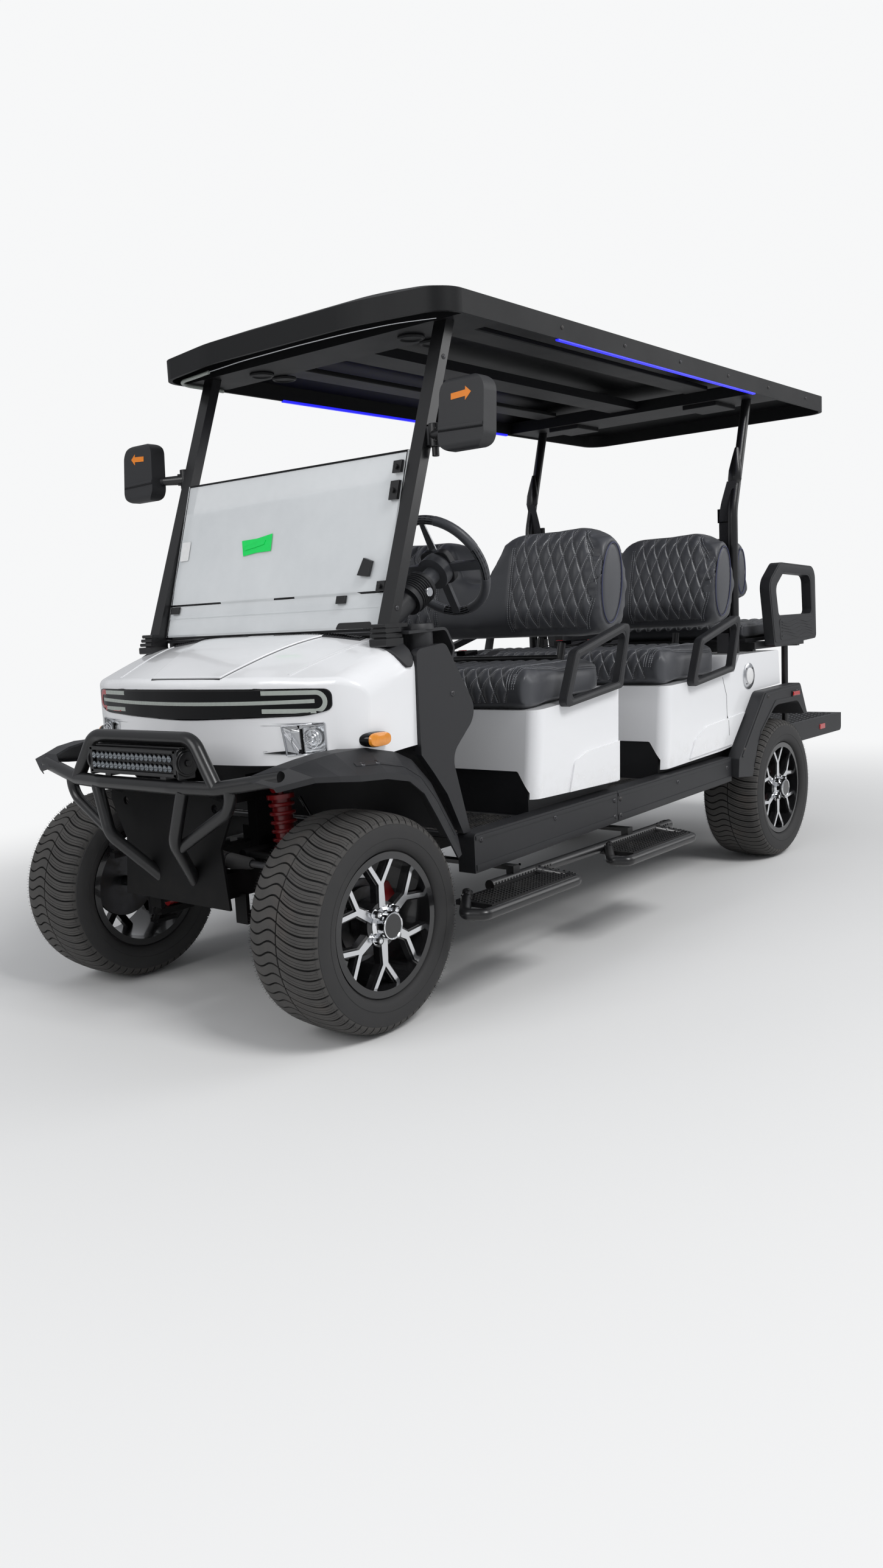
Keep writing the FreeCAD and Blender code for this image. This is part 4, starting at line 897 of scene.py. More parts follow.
def rounded_rows(rows: Sequence[Point], steps: int = 6) -> list[Flat]:
    """A closed outline of (u, v, corner radius) rows with its corners rounded."""
    outline: list[Flat] = []
    count = len(rows)
    for i, (u, v, radius) in enumerate(rows):
        here = Vector((u, v))
        into = (here - Vector(rows[i - 1][:2])).normalized()
        out = (Vector(rows[(i + 1) % count][:2]) - here).normalized()
        turn = into.angle_signed(out, 0.0)
        if radius <= 0 or abs(turn) < 1e-3:
            outline.append((u, v))
            continue
        tangent = radius * math.tan(abs(turn) / 2)
        outline += map(tuple, rounding(here - into * tangent, here, here + out * tangent, steps))
    return outline


def bent(path: Sequence[tuple[float, float, float, float]], steps: int = 6) -> list[Point]:
    """An open path of (x, y, z, bend) rows with its bends rounded."""
    points: list[Point] = []
    for i, row in enumerate(path):
        here = Vector(row[:3])
        if i in (0, len(path) - 1) or row[3] <= 0:
            points.append(tuple(here))
            continue
        into = here - Vector(path[i - 1][:3])
        out = Vector(path[i + 1][:3]) - here
        reach = min(row[3], into.length * 0.49, out.length * 0.49)
        start, end = here - into.normalized() * reach, here + out.normalized() * reach
        points += map(tuple, rounding(start, here, end, steps))
    return points


# Repeats made by geometry nodes


class NodeTree:
    """A geometry node tree written in Python."""

    def __init__(self, name: str, inputs: Sequence[tuple[str, str, object]]) -> None:
        """Start a tree with a geometry input, named inputs and a geometry output.

        Args:
            name: The tree's name.
            inputs: Rows of input name, socket type and default value.
        """
        self.tree = bpy.data.node_groups.new(name, "GeometryNodeTree")
        face = self.tree.interface
        face.new_socket("Geometry", in_out="INPUT", socket_type="NodeSocketGeometry")
        face.new_socket("Geometry", in_out="OUTPUT", socket_type="NodeSocketGeometry")
        for label, kind, value in inputs:
            made = face.new_socket(label, in_out="INPUT", socket_type=kind)
            if value is not None:
                made.default_value = value
        self.start = self.tree.nodes.new("NodeGroupInput")
        self.end = self.tree.nodes.new("NodeGroupOutput")

    def given(self, label: str) -> bpy.types.NodeSocket:
        """A named input of the tree."""
        return self.start.outputs[label]

    def node(self, kind: str, settings: dict | None = None, values: dict | None = None,
             output: int | str = 0) -> bpy.types.NodeSocket:
        """Add a node.

        Args:
            kind: The node's type name.
            settings: Properties to set first.
            values: Socket index or name to a number, a socket or a list of sockets.
            output: Which output to return.

        Returns:
            The chosen output socket.
        """
        made = self.tree.nodes.new(kind)
        for key, value in (settings or {}).items():
            setattr(made, key, value)
        for key, value in (values or {}).items():
            for item in value if isinstance(value, list) else [value]:
                if isinstance(item, bpy.types.NodeSocket):
                    self.tree.links.new(item, made.inputs[key])
                else:
                    made.inputs[key].default_value = item
        return made.outputs[output]

    def named_vector(self, name: str) -> bpy.types.NodeSocket:
        """A named vector attribute of the points."""
        return self.node("GeometryNodeInputNamedAttribute", {"data_type": "FLOAT_VECTOR"}, {"Name": name})

    def facing(self) -> bpy.types.NodeSocket:
        """Rotation with Z along the points' "facing" and X along their "along"."""
        facing = self.named_vector("facing")
        standing = self.node("FunctionNodeAlignRotationToVector", {"axis": "Z"}, {"Vector": facing})
        return self.node("FunctionNodeAlignRotationToVector", {"axis": "X", "pivot_axis": "Z"},
                         {"Rotation": standing, "Vector": self.named_vector("along")})

    def finish(self, shape: bpy.types.NodeSocket) -> "NodeTree":
        """End the tree: the shape on every point, realized, with the material input."""
        values = {"Points": self.given("Geometry"), "Instance": shape, "Rotation": self.facing()}
        placed = self.node("GeometryNodeInstanceOnPoints", {}, values)
        real = self.node("GeometryNodeRealizeInstances", {}, {"Geometry": placed})
        dressed = self.node("GeometryNodeSetMaterial", {},
                            {"Geometry": real, "Material": self.given("Finish")})
        self.tree.links.new(dressed, self.end.inputs[0])
        return self


@dataclass
class Spot:
    """A place for one repeated thing."""

    place: Point
    facing: Point = (0.0, 0.0, 1.0)
    along: Point = (1.0, 0.0, 0.0)


class Repeats:
    """Runs a node tree over a list of spots and keeps the result as a plain mesh."""

    @staticmethod
    def screw_tree() -> NodeTree:
        """Button-head screw with a dark hexagon socket."""
        tree = NodeTree("button_screws", [("Radius", "NodeSocketFloat", 0.006),
                                          ("Height", "NodeSocketFloat", 0.003),
                                          ("Finish", "NodeSocketMaterial", None)])
        radius, height = tree.given("Radius"), tree.given("Height")
        head = tree.node("GeometryNodeMeshUVSphere", {}, {"Segments": 14, "Rings": 8, "Radius": radius})
        flat_by = tree.node("ShaderNodeMath", {"operation": "DIVIDE"}, {0: height, 1: radius})
        squash = tree.node("ShaderNodeCombineXYZ", {}, {0: 1.0, 1: 1.0, 2: flat_by})
        dome = tree.node("GeometryNodeTransform", {}, {"Geometry": head, "Scale": squash})
        inner = tree.node("ShaderNodeMath", {"operation": "MULTIPLY"}, {0: radius, 1: 0.45})
        ring = tree.node("GeometryNodeMeshCylinder", {}, {"Vertices": 6, "Radius": inner, "Depth": height})
        lift = tree.node("ShaderNodeCombineXYZ", {}, {2: height})
        raised = tree.node("GeometryNodeTransform", {}, {"Geometry": ring, "Translation": lift,
                                                         "Scale": (1.0, 1.0, 0.35)})
        both = tree.node("GeometryNodeJoinGeometry", {}, {"Geometry": [dome, raised]})
        return tree.finish(both)

    @staticmethod
    def rod_tree() -> NodeTree:
        """Round or polygonal rod along each spot's X, such as a stitch or a rib."""
        tree = NodeTree("small_rods", [("Radius", "NodeSocketFloat", 0.0008),
                                       ("Length", "NodeSocketFloat", 0.006),
                                       ("Sides", "NodeSocketInt", 6), ("Flatness", "NodeSocketFloat", 1.0),
                                       ("Finish", "NodeSocketMaterial", None)])
        rod = tree.node("GeometryNodeMeshCylinder", {},
                        {"Vertices": tree.given("Sides"), "Radius": tree.given("Radius"),
                         "Depth": tree.given("Length")})
        laid = tree.node("GeometryNodeTransform", {}, {"Geometry": rod, "Rotation": (0.0, math.pi / 2, 0.0)})
        squash = tree.node("ShaderNodeCombineXYZ", {}, {0: 1.0, 1: 1.0, 2: tree.given("Flatness")})
        flat = tree.node("GeometryNodeTransform", {}, {"Geometry": laid, "Scale": squash})
        return tree.finish(flat)

    @staticmethod
    def cup_tree() -> NodeTree:
        """Small open reflector cup with a bright bulb."""
        tree = NodeTree("reflector_cups", [("Radius", "NodeSocketFloat", 0.007),
                                           ("Depth", "NodeSocketFloat", 0.006),
                                           ("Finish", "NodeSocketMaterial", None)])
        narrow = tree.node("ShaderNodeMath", {"operation": "MULTIPLY"}, {0: tree.given("Radius"), 1: 0.35})
        cup = tree.node("GeometryNodeMeshCone", {"fill_type": "NONE"},
                        {"Vertices": 16, "Radius Top": tree.given("Radius"), "Radius Bottom": narrow,
                         "Depth": tree.given("Depth")})
        bulb = tree.node("GeometryNodeMeshIcoSphere", {}, {"Radius": narrow, "Subdivisions": 2})
        both = tree.node("GeometryNodeJoinGeometry", {}, {"Geometry": [cup, bulb]})
        return tree.finish(both)

    @staticmethod
    def block_tree() -> NodeTree:
        """Small block on each spot, such as a rib or a lozenge."""
        tree = NodeTree("small_blocks", [("Size", "NodeSocketVector", (0.01, 0.01, 0.01)),
                                         ("Finish", "NodeSocketMaterial", None)])
        cube = tree.node("GeometryNodeMeshCube", {}, {"Size": tree.given("Size")})
        return tree.finish(cube)

    def __init__(self, maker: Callable[[], NodeTree]) -> None:
        """Build the tree once."""
        self.tree = maker()

    def run(self, name: str, spots: Sequence[Spot], finish: Finish, body: str, slot: str = "",
            angle: float = 40.0, **sizes: object) -> bpy.types.Object:
        """Place the tree's shape on every spot.

        Args:
            name: The piece's name.
            spots: Where the shapes go.
            finish: Their finish.
            body: The CAD body that they ride on.
            slot: The record's material slot; not used.
            angle: Edges sharper than this stay sharp.
            sizes: The tree's inputs, with _ for spaces.

        Returns:
            The finished object.
        """
        mesh = bpy.data.meshes.new(name + "_points")
        mesh.from_pydata([s.place for s in spots], [], [])
        for label in ("facing", "along"):
            write_layer(mesh, label, [c for s in spots for c in getattr(s, label)], "FLOAT_VECTOR")
        holder = new_object(name + "_points", mesh)
        modifier = holder.modifiers.new("repeats", "NODES")
        modifier.node_group = self.tree.tree
        wanted = {key.replace("_", " "): value for key, value in sizes.items()}
        wanted["Finish"] = PALETTE.get(finish)
        for item in self.tree.tree.interface.items_tree:
            if item.item_type == "SOCKET" and item.in_out == "INPUT" and item.name in wanted:
                modifier[item.identifier] = wanted[item.name]
        solid = evaluated(holder)
        holder.modifiers.remove(modifier)
        bpy.data.objects.remove(holder)
        solid.name = name
        if not solid.materials:
            solid.materials.append(PALETTE.get(finish))
        smooth(solid, angle)
        return settle(new_object(name, solid), body, slot)


def node_mesh(node: str, merge: float = 1e-5) -> bmesh.types.BMesh:
    """A merged bmesh copy of a CAD node's mesh."""
    work = bmesh.new()
    work.from_mesh(FRAME["nodes"][node].data)
    bmesh.ops.remove_doubles(work, verts=work.verts, dist=merge)
    bmesh.ops.recalc_face_normals(work, faces=work.faces)
    return work


def corners(node: str) -> tuple[Vector, Vector]:
    """Lowest and highest corner of a CAD node at rest."""
    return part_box(node)


# Seats



def fade(value: float, low: float, high: float) -> float:
    """Smooth step from 0 at low to 1 at high; low may be the larger."""
    t = min(1.0, max(0.0, (value - low) / (high - low)))
    return t * t * (3 - 2 * t)


@dataclass
class Seam:
    """A sewn line on a pad: its surface points, their normals, and whether it joins up."""

    points: list[Vector]
    normals: list[Vector]
    closed: bool = False


class Pad:
    """One upholstered pad, inflated from its CAD solid and then sewn."""

    CLOTH: ClassVar[dict[str, float]] = {
        "quality": 4, "mass": 0.4, "tension_stiffness": 18.0, "compression_stiffness": 18.0,
        "shear_stiffness": 8.0, "bending_stiffness": 1.5, "use_pressure": True, "uniform_pressure_force": 4.0}
    FRAMES: ClassVar[int] = 20
    REGROWTH: ClassVar[float] = 0.0025

    def __init__(self, node: str, body: str = "cart_body", voxel: float = 0.009, shrink: float = 0.010,
                 swell: float = 0.014) -> None:
        """Inflate a copy of a CAD solid.

        Args:
            node: The CAD node that the pad stands for.
            body: The body that it rides on.
            voxel: Remesh size in metres.
            shrink: How much smaller the copy starts.
            swell: The most that a point may move outwards.
        """
        self.node = node
        self.body = body
        self.low, self.high = corners(node)
        work = node_mesh(node)
        bmesh.ops.triangulate(work, faces=work.faces)
        mesh = bpy.data.meshes.new(node + "_pad")
        work.to_mesh(mesh)
        work.free()
        self.piece = new_object(node + "_pad", mesh)
        self.remesh(voxel)
        self.move(lambda place, normal: place - normal * shrink)
        self.inflate(swell)
        self.relax(8, 0.5)
        self.move(lambda place, normal: place + normal * self.REGROWTH)

    def remesh(self, voxel: float) -> None:
        """Even out the mesh."""
        modifier = self.piece.modifiers.new("even", "REMESH")
        modifier.mode = "VOXEL"
        modifier.voxel_size = voxel
        modifier.adaptivity = 0.0
        self.apply()
        self.relax(6, 0.5)

    def relax(self, repeats: int, factor: float) -> None:
        """Round off the solid's corners."""
        modifier = self.piece.modifiers.new("relax", "SMOOTH")
        modifier.iterations = repeats
        modifier.factor = factor
        self.apply()

    def apply(self) -> None:
        """Keep the evaluated mesh and drop the modifiers."""
        mesh = evaluated(self.piece)
        self.piece.modifiers.clear()
        old = self.piece.data
        self.piece.data = mesh
        bpy.data.meshes.remove(old)

    def inflate(self, cap: float) -> None:
        """Swell the pad with cloth pressure, with each point's movement capped."""
        mesh = self.piece.data
        start = np.empty(len(mesh.vertices) * 3)
        mesh.vertices.foreach_get("co", start)
        modifier = self.piece.modifiers.new("cloth", "CLOTH")
        for key, value in self.CLOTH.items():
            setattr(modifier.settings, key, value)
        modifier.settings.effector_weights.gravity = 0.0
        modifier.collision_settings.use_collision = False
        scene = bpy.context.scene
        modifier.point_cache.frame_start = 1
        modifier.point_cache.frame_end = self.FRAMES
        for frame in range(1, self.FRAMES + 1):
            scene.frame_set(frame)
        swollen = evaluated(self.piece)
        end = np.empty(len(swollen.vertices) * 3)
        swollen.vertices.foreach_get("co", end)
        self.piece.modifiers.clear()
        bpy.data.meshes.remove(swollen)
        step = (end - start).reshape(-1, 3)
        length = np.linalg.norm(step, axis=1, keepdims=True)
        step *= np.minimum(1.0, cap / np.maximum(length, 1e-9))
        mesh.vertices.foreach_set("co", (start.reshape(-1, 3) + step).ravel())
        scene.frame_set(1)
        mesh.update()

    def move(self, rule: Callable[[Vector, Vector], Vector]) -> None:
        """Move every vertex by a rule of its place and normal."""
        mesh = self.piece.data
        places = [rule(v.co.copy(), v.normal.copy()) for v in mesh.vertices]
        mesh.vertices.foreach_set("co", [c for place in places for c in place])
        mesh.update()

    def refine(self, inside: Callable[[Vector, Vector], bool]) -> None:
        """Halve the faces whose middle a test accepts."""
        with editing(self.piece.data) as work:
            work.normal_update()
            chosen = {e for f in work.faces if inside(f.calc_center_median(), f.normal) for e in f.edges}
            bmesh.ops.subdivide_edges(work, edges=list(chosen), cuts=1, use_grid_fill=True)

    def quilt(self, region: Callable[[Vector, Vector], float], across: Callable[[Vector], float],
              along: Callable[[Vector], float], diamond: tuple[float, float] = (0.05, 0.12),
              puff: float = 0.0075) -> None:
        """Puff up the diamonds and write the "quilt" attribute.

        Args:
            region: Weight from 0 to 1 at a place with a normal.
            across: The pattern's sideways coordinate.
            along: The pattern's lengthwise coordinate.
            diamond: Width and height of a diamond.
            puff: How far a diamond's middle stands over its sewn lines.
        """
        self.refine(lambda place, normal: region(place, normal) > 0.05)
        weights: list[float] = []

        def rule(place: Vector, normal: Vector) -> Vector:
            weight = region(place, normal)
            weights.append(weight)
            if weight <= 0:
                return place
            a = along(place) / diamond[1] + across(place) / diamond[0]
            b = along(place) / diamond[1] - across(place) / diamond[0]
            dome = (abs(math.sin(math.pi * a)) * abs(math.sin(math.pi * b))) ** 0.55
            return place + normal * (weight * puff * (dome - 0.72))

        self.move(rule)
        write_layer(self.piece.data, "quilt", weights)

    def tree(self) -> BVHTree:
        """Ray-casting tree of the pad as it is now."""
        work = bmesh.new()
        work.from_mesh(self.piece.data)
        made = BVHTree.FromBMesh(work)
        work.free()
        return made

    def trace(self, starts: Sequence[Point], direction: Point, closed: bool = False) -> Seam:
        """Drop points onto the pad along a direction.

        Args:
            starts: Points outside the pad.
            direction: Which way they fall.
            closed: Whether the seam joins up.

        Returns:
            The seam that they land on.
        """
        tree = self.tree()
        seam = Seam([], [], closed)
        for start in starts:
            place, normal, _, _ = tree.ray_cast(Vector(start), Vector(direction))
            if place is not None:
                seam.points.append(place)
                seam.normals.append(normal)
        return seam

    def sew(self, seams: Sequence[Seam], width: float = 0.012, depth: float = 0.005) -> None:
        """Pull the pad in along its seams and write the "seam" attribute."""
        points = [p for seam in seams for p in seam.points]
        tree = KDTree(len(points))
        for i, p in enumerate(points):
            tree.insert(p, i)
        tree.balance()
        weights: list[float] = []

        def rule(place: Vector, normal: Vector) -> Vector:
            gap = tree.find(place)[2]
            weight = fade(gap, width, 0.0)
            weights.append(fade(gap, width * 0.5, 0.0))
            return place - normal * weight * depth

        self.move(rule)
        # the seam weights also paint shade into the leather along the seams
        write_layer(self.piece.data, "seam", weights)

    def finish(self, finish: Finish, fill: float = 0.7) -> None:
        mesh = self.piece.data
        mesh.materials.clear()
        mesh.materials.append(PALETTE.get(finish))
        mesh.shade_smooth()
        settle(self.piece, self.body, "dark_leather")
        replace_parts(self.piece, self.node)
        log.info("%s: %d faces", self.piece.name, len(mesh.polygons))


def along_seam(seam: Seam, pitch: float, offset: float = 0.0, lift: float = 0.0006) -> list[Spot]:
    """Evenly spaced spots along a seam, moved sideways by an offset."""
    points = seam.points + ([seam.points[0]] if seam.closed else [])
    normals = seam.normals + ([seam.normals[0]] if seam.closed else [])
    spots: list[Spot] = []
    carry = 0.0
    for a, b, n in zip(points, points[1:], normals):
        run = b - a
        length = run.length
        if length < 1e-6:
            continue
        direction = run / length
        side = direction.cross(n).normalized()
        while carry < length:
            place = a + direction * carry + side * offset + n * lift
            spots.append(Spot(tuple(place), tuple(n), tuple(direction)))
            carry += pitch
        carry -= length
    return spots


@dataclass
class Seats:
    """The three rows of quilted cushions and backs, with seams, piping and stitches."""

    quilt_inner: float = 0.165
    quilt_outer: float = 0.506
    seat_quilt: float = 0.478
    seat_seam: float = 0.528
    back_half: float = 0.555
    rear_back_half: float = 0.520
    seat_half: float = 0.56
    rear_seat_half: float = 0.47
    stitch_length: float = 0.0052
    stitch_pitch: float = 0.0075
    stitch_offset: float = 0.0045
    stitches: list[Spot] = field(default_factory=list)
    flip_stitches: list[Spot] = field(default_factory=list)

    def back(self, node: str, front: int, half: float) -> None:
        """One two-lobed back.

        Args:
            node: The CAD node.
            front: 1 where its quilt faces forward, -1 where it faces the rear.
            half: Half its width.
        """
        pad = Pad(node)
        low, high = pad.low, pad.high
        inner, outer = self.quilt_inner * half / self.back_half, self.quilt_outer * half / self.back_half
        bottom, top = low.z + 0.045, high.z - 0.02

        def side_line(z: float) -> float:
            """Half-width of the quilt at a height: it narrows towards the top and bottom."""
            share = (z - bottom) / (top - bottom)
            return outer - 0.10 * half * fade(share, 0.62, 1.0) - 0.05 * half * fade(share, 0.3, 0.0)

        def region(place: Vector, normal: Vector) -> float:
            y = abs(place.y)
            facing = fade(normal.x * front, 0.2, 0.5)
            edge = min(fade(y, inner, inner + 0.01), fade(y, side_line(place.z), side_line(place.z) - 0.01))
            return facing * edge * fade(place.z, bottom, bottom + 0.012)

        pad.quilt(region, lambda p: abs(p.y), lambda p: p.z)
        far = high.x + 0.2 if front > 0 else low.x - 0.2
        steps = 40
        seams = []
        for side in (1, -1):
            heights = [bottom + (high.z - 0.004 - bottom) * i / steps for i in range(steps + 1)]
            seams.append(pad.trace([(far, side * side_line(z), z) for z in heights], (-front, 0, 0)))
            seams.append(pad.trace([(far, side * inner, z) for z in heights[: steps - 6]], (-front, 0, 0)))
            row = [(far, side * (inner + (side_line(bottom) - inner) * i / 24), bottom) for i in range(25)]
            seams.append(pad.trace(row, (-front, 0, 0)))
            seams.append(self.end_cap(pad, side))
        pad.sew(seams)
        pad.finish(Finish.QUILTED_BACK, 0.75)
        for i, seam in enumerate(seams):
            if i % 4 == 3:
                self.piping(f"{node}_piping_{i // 4}", seam, pad.body)
            elif i % 4 < 2:
                for offset in (-self.stitch_offset, self.stitch_offset):
                    self.stitches += along_seam(seam, self.stitch_pitch, offset)

    def end_cap(self, pad: Pad, side: int) -> Seam:
        """Flatten an oval on one end of a back, following its side outline, and return the seam round it."""
        low, high = pad.low, pad.high
        rear = pad.node == "rear_seat_back"
        middle_z = (low.z + high.z) / 2 - 0.006
        middle_x = (low.x + high.x) / 2 if rear else high.x - 0.092
        rise = (high.z - low.z) * 0.335
        reach, lean = (0.036, 0.0) if rear else (0.064, 0.12)
        ring = [(middle_x + c * reach - s * rise * lean, middle_z + s * rise) for c, s in circle(72)]
        met = pad.trace([(x, side * 1.2, z) for x, z in ring], (0, -side, 0))
        depths = sorted(abs(p.y) for p in met.points)
        level = depths[int(len(depths) * 0.65)]

        def rule(place: Vector, normal: Vector) -> Vector:
            if place.y * side < level - 0.05 or normal.y * side < 0.1:
                return place
            up = place.z - middle_z
            share = math.hypot((place.x - middle_x + up * lean) / reach, up / rise)
            crown = level + 0.005 * (1 - min(1.0, share) ** 2)
            place.y += (side * crown - place.y) * fade(share, 1.45, 1.0)
            return place

        pad.move(rule)
        places = [Vector((x, side * level, z)) for x, z in ring]
        return Seam(places, [Vector((0, side, 0)) for _ in ring], True)

    def piping(self, name: str, seam: Seam, body: str) -> None:
        """A thin piping tube along a seam."""
        tube = Solid(name, Finish.PIPING, body)
        tube.tube([p + n * 0.001 for p, n in zip(seam.points, seam.normals)], 0.0024, 8, looped=seam.closed)
        tube.build(angle=80, slot="dark_leather")

    def cushion(self, node: str, body: str, forward: int, half: float) -> None:
        """One bench cushion with a quilted middle and smooth ends.

        Args:
            node: The CAD node.
            body: The body that it rides on.
            forward: 1 where its rolled edge faces forward, -1 to the rear.
            half: Half its width.
        """
        pad = Pad(node, body)
        low, high = pad.low, pad.high
        quilt = self.seat_quilt * half / self.seat_half
        seam_y = self.seat_seam * half / self.seat_half

        def region(place: Vector, normal: Vector) -> float:
            up = fade(normal.z + max(0.0, normal.x * forward), 0.25, 0.6)
            edge = fade(abs(place.y), quilt, quilt - 0.01)
            return up * edge * fade(place.z, low.z + 0.012, low.z + 0.022)

        pad.quilt(region, lambda p: abs(p.y), lambda p: p.x - p.z if forward > 0 else p.x + p.z)
        seams = []
        for y in (quilt, -quilt, seam_y, -seam_y):
            bend = 0.0 if abs(y) == quilt else 0.03
            back, front = (low.x, high.x) if forward > 0 else (high.x, low.x)
            path = [(back + (front - back) * share, y - math.copysign(bend * share * share, y), high.z + 0.3)
                    for share in np.linspace(0, 1, 46)]
            seam = pad.trace(path, DOWN)
            edge_y = y - math.copysign(bend, y)
            drop = [(front + forward * 0.3, edge_y, high.z - 0.02 - 0.05 * i / 10) for i in range(10)]
            lower = pad.trace(drop, (-forward, 0, 0))
            seam.points = [p for p in seam.points if abs(p.x - front) > 0.02] + lower.points
            seam.normals = seam.normals[: len(seam.points) - len(lower.points)] + lower.normals
            seams.append(seam)
        pad.sew(seams)
        pad.finish(Finish.QUILTED_SEAT, 0.65)
        rows = self.flip_stitches if body == "flip_seat" else self.stitches
        for seam in seams:
            for offset in (-self.stitch_offset, self.stitch_offset):
                rows += along_seam(seam, self.stitch_pitch, offset)

    def build(self) -> None:
        """Build every pad and its stitches."""
        for row in ("front", "mid"):
            self.back(row + "_seat_back", 1, self.back_half)
        self.back("rear_seat_back", -1, self.rear_back_half)
        for row in ("front", "mid"):
            self.cushion(row + "_seat_cushion", "cart_body", 1, self.seat_half)
        self.cushion("rear_seat_cushion", "flip_seat", -1, self.rear_seat_half)
        rods = Repeats(Repeats.rod_tree)
        for name, spots, body in (("seat_stitches", self.stitches, "cart_body"),
                                  ("flip_seat_stitches", self.flip_stitches, "flip_seat")):
            rods.run(name, spots, Finish.THREAD, body, "dark_leather", Radius=0.0007,
                     Length=self.stitch_length, Sides=5)


# Wheels


WHEELS: tuple[tuple[str, float, int], ...] = (
    ("front_left", FRONT_AXLE, 1), ("front_right", FRONT_AXLE, -1),
    ("rear_left", REAR_AXLE, 1), ("rear_right", REAR_AXLE, -1))


@dataclass
class Tyres:
    """Four tyres with a moulded tread, and the rubber hairs left on their shoulders."""

    radius: float = 0.2918
    track_half: float = 0.502
    pitches: int = 64
    sipe_start: float = 0.012
    sipe_end: float = 0.112
    depth: float = 0.0066
    sipe_depth: float = 0.0028
    hair_length: float = 0.0065
    hair_pitch: float = 0.0085

    # the half profile from the middle of the tread to the bead: y, drop under the radius, depth share
    HALF: ClassVar[tuple[tuple[float, float, float], ...]] = (
        (0.0022, 0.0, 1.0), (0.008, 0.0, 1.0), (0.016, 0.0001, 1.0), (0.024, 0.0002, 1.0),
        (0.032, 0.0005, 1.0), (0.040, 0.0009, 1.0), (0.048, 0.0014, 1.0), (0.056, 0.0020, 1.0),
        (0.064, 0.0027, 1.0),
        (0.072, 0.0035, 1.0), (0.080, 0.0045, 1.0), (0.088, 0.0058, 1.0), (0.096, 0.0078, 0.95),
        (0.103, 0.0110, 0.85), (0.109, 0.0158, 0.7), (0.114, 0.0220, 0.5), (0.1172, 0.0290, 0.25),
        (0.1172, 0.0305, 0.0), (0.1186, 0.0312, 0.0), (0.1213, 0.042, 0.0), (0.1224, 0.054, 0.0),
        (0.1225, 0.066, 0.0), (0.1216, 0.0665, 0.0), (0.1216, 0.0685, 0.0), (0.1224, 0.069, 0.0),
        (0.1210, 0.080, 0.0), (0.1180, 0.088, 0.0), (0.1130, 0.0945, 0.0), (0.1060, 0.0975, 0.0),
        (0.1006, 0.0985, 0.0), (0.1006, 0.1125, 0.0))
    # columns across one pitch: share of the pitch, groove depth, sipe depth
    COLUMNS: ClassVar[tuple[tuple[float, float, float], ...]] = (
        (0.000, 0.0, 0.0), (0.028, 1.0, 0.0), (0.160, 1.0, 0.0), (0.188, 0.0, 0.0), (0.28, 0.0, 0.0),
        (0.385, 0.0, 0.0), (0.405, 0.0, 1.0), (0.425, 0.0, 0.0), (0.55, 0.0, 0.0), (0.67, 0.0, 0.0),
        (0.69, 0.0, 1.0), (0.71, 0.0, 0.0), (0.86, 0.0, 0.0))

    def shift(self, y: float) -> float:
        """How far round the tread the grooves lie: in waves on one half, in arcs on the other."""
        if y < 0:
            return 0.0085 * math.sin(2 * math.pi * -y / 0.098)
        return -0.026 * (1 - (1 - min(y, 0.105) / 0.09) ** 2)

    def mesh(self) -> tuple[list[Point], list[tuple[int, ...]], list[float], list[float]]:
        """Points, faces and the groove and tread shares of one tyre about the Y axis."""
        rows = [(-y, drop, share) for y, drop, share in self.HALF[::-1]]
        rows += [(-0.001, 0.004, -1.0), (0.001, 0.004, -1.0), *self.HALF]
        count = self.pitches * len(self.COLUMNS)
        points: list[Point] = []
        grooves: list[float] = []
        treads: list[float] = []
        for y, drop, share in rows:
            for k in range(count):
                column, groove, sipe = self.COLUMNS[k % len(self.COLUMNS)]
                pitch = k // len(self.COLUMNS) + column
                turn = 2 * math.pi * pitch / self.pitches + self.shift(y) / self.radius
                fine = sipe * self.sipe_depth if self.sipe_start < y < self.sipe_end else 0
                deep = max(0.0, share) * (groove * self.depth + fine)
                r = self.radius - drop - deep
                points.append((r * math.cos(turn), y, r * math.sin(turn)))
                # the groove share also marks where the tyre material paints shade into the grooves
                grooves.append(1.0 if share < 0 or deep > 0.002 else 0.0)
                treads.append(1.0 if share else 0.0)
        faces = [(i * count + k, i * count + (k + 1) % count, j * count + (k + 1) % count, j * count + k)
                 for i in range(len(rows)) for j in [(i + 1) % len(rows)] for k in range(count)]
        return points, faces, grooves, treads

    def hairs(self, centre: Vector) -> list[Spot]:
        """Spots of the moulding hairs on both shoulders, none where the tyre stands on the ground."""
        chance = random.Random(7)
        spots = []
        for y, drop in ((-0.116, 0.026), (-0.107, 0.014), (0.1135, 0.021)):
            r = self.radius - drop
            count = int(2 * math.pi * r / self.hair_pitch)
            for i in range(count):
                turn = 2 * math.pi * (i + chance.uniform(-0.3, 0.3)) / count
                if -2.0 < turn - 2 * math.pi < -1.1 or 4.2 < turn < 5.2:
                    continue
                out = Vector((math.cos(turn), 0, math.sin(turn)))
                lean = (out + Vector((0, math.copysign(chance.uniform(0.1, 0.9), y), 0))).normalized()
                place = centre + out * r + Vector((0, y, 0)) + lean * self.hair_length * 0.35
                spots.append(Spot(tuple(place), tuple(lean.orthogonal().normalized()), tuple(lean)))
        return spots

